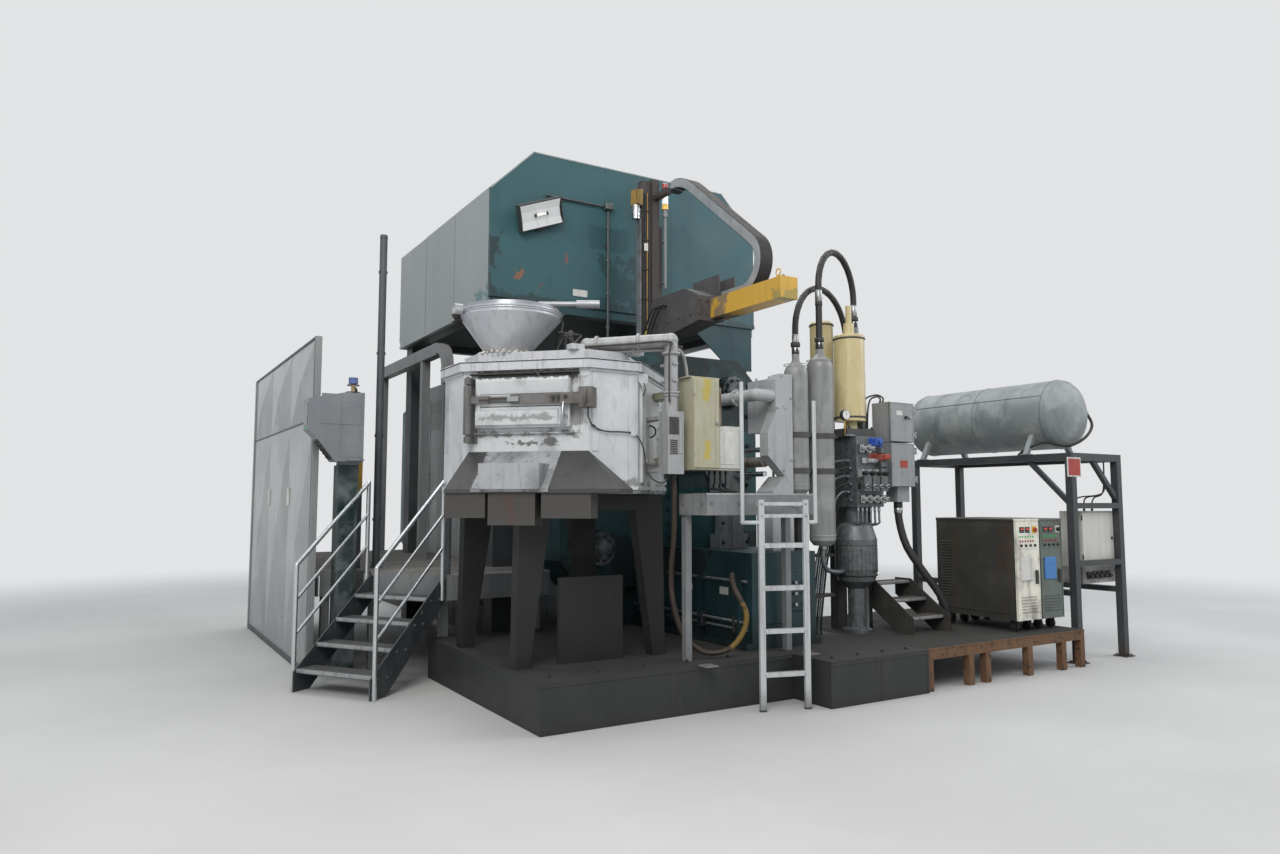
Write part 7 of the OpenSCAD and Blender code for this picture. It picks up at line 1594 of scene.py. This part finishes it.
def make_guarding(context):
    k = metal_kit()
    # Painted folded edge profile: dark grey, chipped light
    dark = coat("painted_edge_profile", "#3b3f41", fade="#4e5254", streak="#2c2f31", chips="#74787a", rough=0.5,
        patch=200)
    p = Piece()
    x0 = -3.6
    p.box((x0 - 0.012, 0.25, 3.345), (x0 + 0.042, 4.15, 3.372), dark)
    p.box((x0 - 0.012, 0.25, 0.0), (x0 - 0.001, 4.15, 0.06), dark)
    p.box((x0 - 0.008, 0.25, 2.522), (x0 - 0.001, 4.15, 2.538), dark, 0.002)
    p.box((x0 - 0.01, 0.25, 0.06), (x0 - 0.001, 0.3, 3.345), dark, 0.002)
    for y in (1.46, 2.76):
        p.box((x0 - 0.03, y, 1.66), (x0 - 0.006, y + 0.026, 1.86), k.white, 0.004)
    p.make("guard_wall_frame")

    desk = MADE["console_powder_coat"]
    # Lit green keys
    lamp = glow("green_key_plastic", "#3f9a52", 0.4)
    # Glass screen that is switched off: almost black, mirror smooth
    screen = coat("glass_screen", "#161a1d", fade="#20262a", rough=0.1, patch=80, bump=0.01)
    p = Piece()
    p.box((-3.6, -0.064, 2.46), (-3.22, -0.059, 2.76), desk)
    p.box((-3.42, -0.063, 2.14), (-3.21, -0.059, 2.42), desk)
    a, b = Vector((-3.46, 0, 2.097)), Vector((-3.638, 0, 2.33))
    run = (b - a).normalized()
    out = Vector((-run.z, 0, run.x))
    corners = (0.03, -0.02), (0.27, -0.02), (0.27, 0.15), (0.03, 0.15)
    plate = [a + run * u + out * 0.004 + Vector((0, y, 0)) for u, y in corners]
    p.sheet(plate, out * -0.006, k.steel)
    keys = [(0.06 + 0.045 * i, 0.045 * j) for i in range(5) for j in range(4)]
    p.discs([a + run * u + out * 0.004 + Vector((0, y, 0)) for u, y in keys], k.steel, 0.01, 0.008, 16, facing(out))
    p.sheet([(-3.7165, -0.02, 2.45), (-3.7165, 0.155, 2.45), (-3.7165, 0.155, 2.66), (-3.7165, -0.02, 2.66)],
        (-0.003, 0, 0), screen)
    p.discs(grid((-3.7165, 0.0, 2.425), (0, 0.045, 0), 4), lamp, 0.007, 0.004, 14, WEST)
    p.rod((-3.29, 0, 2.784), (-3.29, 0, 2.792), 0.072, k.steel, 32)
    p.ring((-3.29, 0, 2.86), (0, 0, 1), 0.056, 0.005, k.steel, 32, 6)
    p.cable([(-3.23, 0.17, 2.785), (-3.23, 0.17, 2.83), (-3.22, 0.19, 2.86), (-3.2, 0.21, 2.8), (-3.19, 0.215, 2.6),
            (-3.187, 0.21, 2.1)], 0.009, k.black, 10)
    p.box((-3.36, 0.088, 0.9), (-3.22, 0.096, 1.5), desk)
    p.make("console_panels")

    pole = MADE["painted_round_tube"]
    p = Piece()
    p.ring((-2.85, 0.65, 4.6), (0, 0, 1), 0.04, 0.005, pole, 32, 6)
    p.tube([(-2.85, 0.65, 4.628), (-2.85, 0.65, 4.634), (-2.85, 0.65, 4.637)], [0.039, 0.036, 0.012], pole, 24)
    p.bolts(circle((-2.85, 0.65, 1.0125), (0, 0, 1), 0.058, 4, 45), k.steel, 0.008, 0.01)
    for z in (1.5, 2.4, 3.3, 4.2):
        p.box((-2.895, 0.63, z), (-2.805, 0.67, z + 0.03), k.steel)
    p.make("pole_fittings")

    p = Piece()
    for y in grid((0, 1.55, 0), (0, 0.32, 0), 8):
        p.box((-1.8705, y.y - 0.02, 3.5), (-1.862, y.y + 0.02, 3.62), k.steel)
    p.tube([(-1.855, 1.45, 3.6), (-1.855, 4.05, 3.6)], 0.012, k.black)
    p.tube([(-1.855, 1.45, 3.53), (-1.855, 4.05, 3.53)], 0.009, k.zinc)
    p.make("door_rail_clips")


# Clamping unit, seen from the sides and the back

def make_clamp_unit(context):
    s = context.scene.casting_sizes
    k = metal_kit()
    teal, cover = MADE["sprayed_enamel_casting"], MADE["grey_enamel_sheet"]
    # Milled platen face: dark metal with rust spots
    groove = coat("milled_die_face", "#55595a", fade="#6d7071", streak="#3a3d3e", chips="#7a5a40", rough=0.4,
        metal=0.7, patch=150, chip_mm=30)
    p = Piece()
    for y, turn in ((0.0005, NORTH), (1.6995, SOUTH)):
        p.slats(grid((-0.66, y, 2.1), (0.22, 0, 0), 7), groove, (0.036, 0.006, 1.5))
        p.slats(grid((0, y, 1.46), (0, 0, 0.256), 6), groove, (1.44, 0.006, 0.036))
        p.discs(grid((-0.55, y, 1.59), (0.22, 0, 0), 6, (0, 0, 0.256), 5), k.black, 0.02, 0.002, 20, turn)
    for x in (-0.89, 0.89):
        for z in (1.21, 2.99):
            p.bolts(circle((x, 5.2205, z), (0, 1, 0), 0.125, 10, 18), teal, 0.016, 0.016, NORTH)
            for y in (0.012, 1.688, 2.272, 4.548):
                p.ring((x, y, z), (0, 1, 0), 0.135, 0.014, k.steel, 40, 6)
    p.bolts(circle((0, 6.3805, 2.1), (0, 1, 0), 0.21, 14), teal, 0.018, 0.018, NORTH)
    p.ring((0, 6.36, 2.1), (0, 1, 0), 0.262, 0.012, teal, 56, 6)
    p.ring((0, 5.12, 2.1), (0, 1, 0), 0.272, 0.02, teal, 56, 6)
    p.bolts(circle((0, 5.0805, 2.1), (0, 1, 0), 0.34, 14), teal, 0.02, 0.02, NORTH)
    p.rod((0, 6.379, 2.1), (0, 6.39, 2.1), 0.12, teal, 40, 0.004)
    for sign in (-1, 1):
        spots = grid((0.9 * sign, 5.0805, 1.6), (-0.45 * sign, 0, 0), 2, (0, 0, 1.0), 2)
        p.bolts(spots, teal, s.bolt, 0.02, NORTH)
    p.cable([(0.12, 5.4, 2.36), (0.12, 5.4, 2.5), (0.2, 5.3, 2.56), (0.45, 5.14, 2.56), (0.6, 5.1, 2.5),
            (0.62, 5.095, 2.3), (0.62, 5.095, 1.0)], 0.022, k.steel, 14)
    for z in (2.2, 1.6, 1.1):
        p.box((0.57, 5.079, z), (0.67, 5.12, z + 0.03), k.steel)
    p.make("clamp_unit_bolts")

    p = Piece()
    for sign in (-1, 1):
        x = 1.3005 * sign
        for y0 in (2.3, 3.05, 3.8):
            p.box((x, y0, 0.86), (x + 0.006 * sign, y0 + 0.71, 3.3), cover, 0.002)
            p.slats(grid((x + 0.008 * sign, y0 + 0.355, 2.75), (0, 0, 0.035), 12), cover, (0.012, 0.5, 0.008),
                (0, math.radians(35 * sign), 0))
            p.tube([(x + 0.005 * sign, y0 + 0.6, 1.9), (x + 0.045 * sign, y0 + 0.6, 1.9),
                    (x + 0.045 * sign, y0 + 0.6, 2.1), (x + 0.005 * sign, y0 + 0.6, 2.1)], 0.008, k.steel, 10)
            p.discs(grid((x + 0.006 * sign, y0 + 0.03, 0.9), (0, 0.65, 0), 2, (0, 0, 0.78), 4), k.zinc, 0.008, 0.003,
                12, facing((sign, 0, 0)))
    for y in (2.6, 3.4, 4.2):
        p.box((-1.25, y - 0.015, 3.3745), (1.25, y + 0.015, 3.384), cover)
    p.make("toggle_cover_doors")

    p = Piece()
    for sign in (-1, 1):
        x = 0.9505 * sign
        p.bolts(grid((0.725 * sign, -0.6405, 0.45), (0, 0, 0.13), 3), teal, 0.018, 0.018, SOUTH)
        for y in (-0.3, 0.9, 2.6, 3.6, 4.8):
            p.box((x, y - 0.02, 0.39), (x + 0.03 * sign, y + 0.02, 0.775), teal, 0.004)
        p.box((x, 1.2, 0.5), (x + 0.005 * sign, 1.9, 0.7), teal, 0.002)
        p.bolts(grid((x, -0.1, 0.43), (0, 0.5, 0), 10), teal, 0.012, 0.012, facing((sign, 0, 0)))
    p.make("bed_ribs")

    post = MADE["primed_post_steel"]
    p = Piece()
    for x in (-1.63, 1.63):
        for y in (0.21, 3.29):
            if x > 0:
                p.box((x - 0.16, y - 0.16, 0.0), (x + 0.16, y + 0.16, 0.014), post, 0.004)
            p.bolts(grid((x - 0.1, y - 0.121, 3.8), (0.2, 0, 0), 2), post, 0.012, 0.012, SOUTH)
    p.make("post_bolts")


# Camera, floor and light

PHOTO_LENS = 24.81
PHOTO_PLACE = (-5.4, -8.95, 1.7)
PHOTO_TURN = (94.86, 0.0, -31.4)
FLOOR_RIM = 18.0
FLOOR_SIDES = 96
LIGHTS = [
    # name, place, aimed at, size, watts, colour
    ("key", (-9.0, -11.0, 11.0), (0.0, -1.0, 2.0), 7.0, 1250.0, (1.0, 0.98, 0.95)),
    ("side", (12.0, -8.0, 9.0), (1.0, 0.0, 2.0), 8.0, 600.0, (0.95, 0.97, 1.0)),
    ("above", (0.0, 2.0, 13.0), (0.0, 1.0, 0.0), 10.0, 800.0, (1.0, 1.0, 1.0)),
]


def make_camera(context):
    data = bpy.data.cameras.new("photo_camera")
    data.lens = PHOTO_LENS
    data.sensor_width = 36.0
    data.clip_end = 200.0
    o = bpy.data.objects.new("photo_camera", data)
    o.location = PHOTO_PLACE
    o.rotation_euler = [math.radians(a) for a in PHOTO_TURN]
    context.scene.collection.objects.link(o)
    context.scene.camera = o


def make_stage(context):
    """Pale round floor whose rim fades into a pale world, so that no horizon shows."""
    # Trowelled concrete: pale, matt, with wide soft clouds
    m = bpy.data.materials.new("trowelled_concrete")
    m.use_nodes = True
    t = m.node_tree
    at = add(t, "TexCoord", out="Object")
    wear = add(t, "MapRange", {0: speckle(t, at, 2500, 5.0), 1: 0.3, 2: 0.7}, **SMOOTH)
    plain = t.nodes["Principled BSDF"]
    shade = add(t, "Mix", {0: wear, 6: rgb("#bdbdba"), 7: rgb("#c6c6c3")}, 2, data_type="RGBA")
    feed(t, plain, {"Base Color": shade, "Roughness": 0.75})
    away = add(t, "VectorMath", {0: at}, "Value", operation="LENGTH")
    gone = add(t, "MapRange", {0: away, 1: 8.5, 2: 17.0}, **SMOOTH)
    both = add(t, "MixShader", {0: gone, 1: plain.outputs[0], 2: add(t, "BsdfTransparent")})
    feed(t, t.nodes["Material Output"], {"Surface": both})
    mesh = bpy.data.meshes.new("studio_floor")
    turns = [2 * math.pi * i / FLOOR_SIDES for i in range(FLOOR_SIDES)]
    rim = [(math.cos(w) * FLOOR_RIM, math.sin(w) * FLOOR_RIM, -0.002) for w in turns]
    mesh.from_pydata(rim, [], [list(range(FLOOR_SIDES))])
    mesh.materials.append(m)
    floor = bpy.data.objects.new("studio_floor", mesh)
    context.scene.collection.objects.link(floor)
    world = bpy.data.worlds.new("studio")
    context.scene.world = world
    world.use_nodes = True
    t = world.node_tree
    t.nodes.clear()
    path = add(t, "LightPath").node.outputs
    seen = add(t, "Math", {0: path["Is Camera Ray"], 1: path["Is Glossy Ray"]}, operation="MAXIMUM")
    seen = add(t, "Math", {0: seen, 1: path["Is Transmission Ray"]}, operation="MAXIMUM")
    fill = add(t, "Background", {"Color": (0.86, 0.9, 1.0, 1.0), "Strength": 0.55})
    back = add(t, "Background", {"Color": (0.76, 0.77, 0.78, 1.0), "Strength": 1.0})
    add(t, "OutputWorld", {0: add(t, "MixShader", {0: seen, 1: fill, 2: back})})
    for name, at, aim, size, watts, tint in LIGHTS:
        data = bpy.data.lights.new(name, "AREA")
        data.size = size
        data.energy = watts
        data.color = tint
        o = bpy.data.objects.new(name, data)
        o.location = at
        o.rotation_euler = (Vector(aim) - Vector(at)).to_track_quat("-Z", "Y").to_euler()
        context.scene.collection.objects.link(o)
    context.scene.view_settings.view_transform = "Standard"


# Operators, one for each group of pieces

def operator(name, label, text, work):
    """An operator that runs work(context)."""
    def execute(self, context):
        work(context)
        return {"FINISHED"}
    return type("CASTING_OT_" + name, (bpy.types.Operator,), {"bl_idname": "casting." + name, "bl_label": label,
            "bl_options": {"REGISTER", "UNDO"}, "__doc__": text, "execute": execute})


STEPS = [operator(*step) for step in (
    ("camera", "Camera", "Camera at the photograph's place", make_camera),
    ("hoses", "Hoses", "The two free hoses", make_hoses),
    ("finishes", "Finishes", "Finishes of the CAD nodes", finish_nodes),
    ("hood", "Hood trim", "Seams, ribs and trim of the fume hood", make_hood),
    ("lamp", "Flood lamp", "Bezel, reflector and pane of the flood lamp", make_lamp),
    ("furnace", "Furnace fittings", "Bands, door frame and crust of the furnace", make_furnace),
    ("hopper", "Hopper fittings", "Rim, crust and lever of the hopper", make_hopper),
    ("burner", "Burner fittings", "Flanges, pipes and motor parts of the burner", make_burner),
    ("shot_end", "Shot end", "Bolts, pipes and caps of the shot end", make_shot_end),
    ("accumulators", "Accumulators", "Clamps, valves and hose ends of the bottles", make_accumulators),
    ("valve_block", "Valve block", "Solenoid valves and pipes of the valve block", make_valve_block),
    ("switch_boxes", "Switch boxes", "Folds, knobs and glands of the switch boxes", make_switch_boxes),
    ("cabinets", "Furnace cabinets", "Doors, handles and cables of the furnace cabinets", make_cabinets),
    ("units", "Temperature units", "Panels, louvres and switches of the two units", make_units),
    ("vessel", "Vessel", "Welds, nozzles and frame parts of the vessel", make_vessel),
    ("access", "Access", "Tread plates, nosings and bolts of steps and platforms", make_access),
    ("sprayer", "Sprayer", "Plates, cables and lenses of the die sprayer", make_sprayer),
    ("guarding", "Guarding", "Wall frame, console panels and pole parts", make_guarding),
    ("clamp_unit", "Clamping unit", "Die faces, bolts and cover doors of the clamping unit", make_clamp_unit),
    ("stage", "Stage", "Floor, backdrop and light", make_stage),
)]


class CASTING_PT_panel(bpy.types.Panel):
    bl_label = "Die casting machine"
    bl_idname = "CASTING_PT_panel"
    bl_space_type = "VIEW_3D"
    bl_region_type = "UI"
    bl_category = "Casting"

    def draw(self, context):
        for group in (context.scene.casting_sizes, context.scene.casting_colours):
            for key in group.bl_rna.properties.keys():
                if key not in ("rna_type", "name"):
                    self.layout.prop(group, key)
        for step in STEPS:
            self.layout.operator(step.bl_idname)


CLASSES = [CASTING_PG_sizes, CASTING_PG_colours, *STEPS, CASTING_PT_panel]


def register():
    for c in CLASSES:
        bpy.utils.register_class(c)
    bpy.types.Scene.casting_sizes = PointerProperty(type=CASTING_PG_sizes)
    bpy.types.Scene.casting_colours = PointerProperty(type=CASTING_PG_colours)


def unregister():
    del bpy.types.Scene.casting_sizes
    del bpy.types.Scene.casting_colours
    for c in reversed(CLASSES):
        bpy.utils.unregister_class(c)


def main():
    register()
    make_trees()
    for step in STEPS:
        getattr(bpy.ops.casting, step.bl_idname.split(".")[1])()


if __name__ == "__main__":
    main()
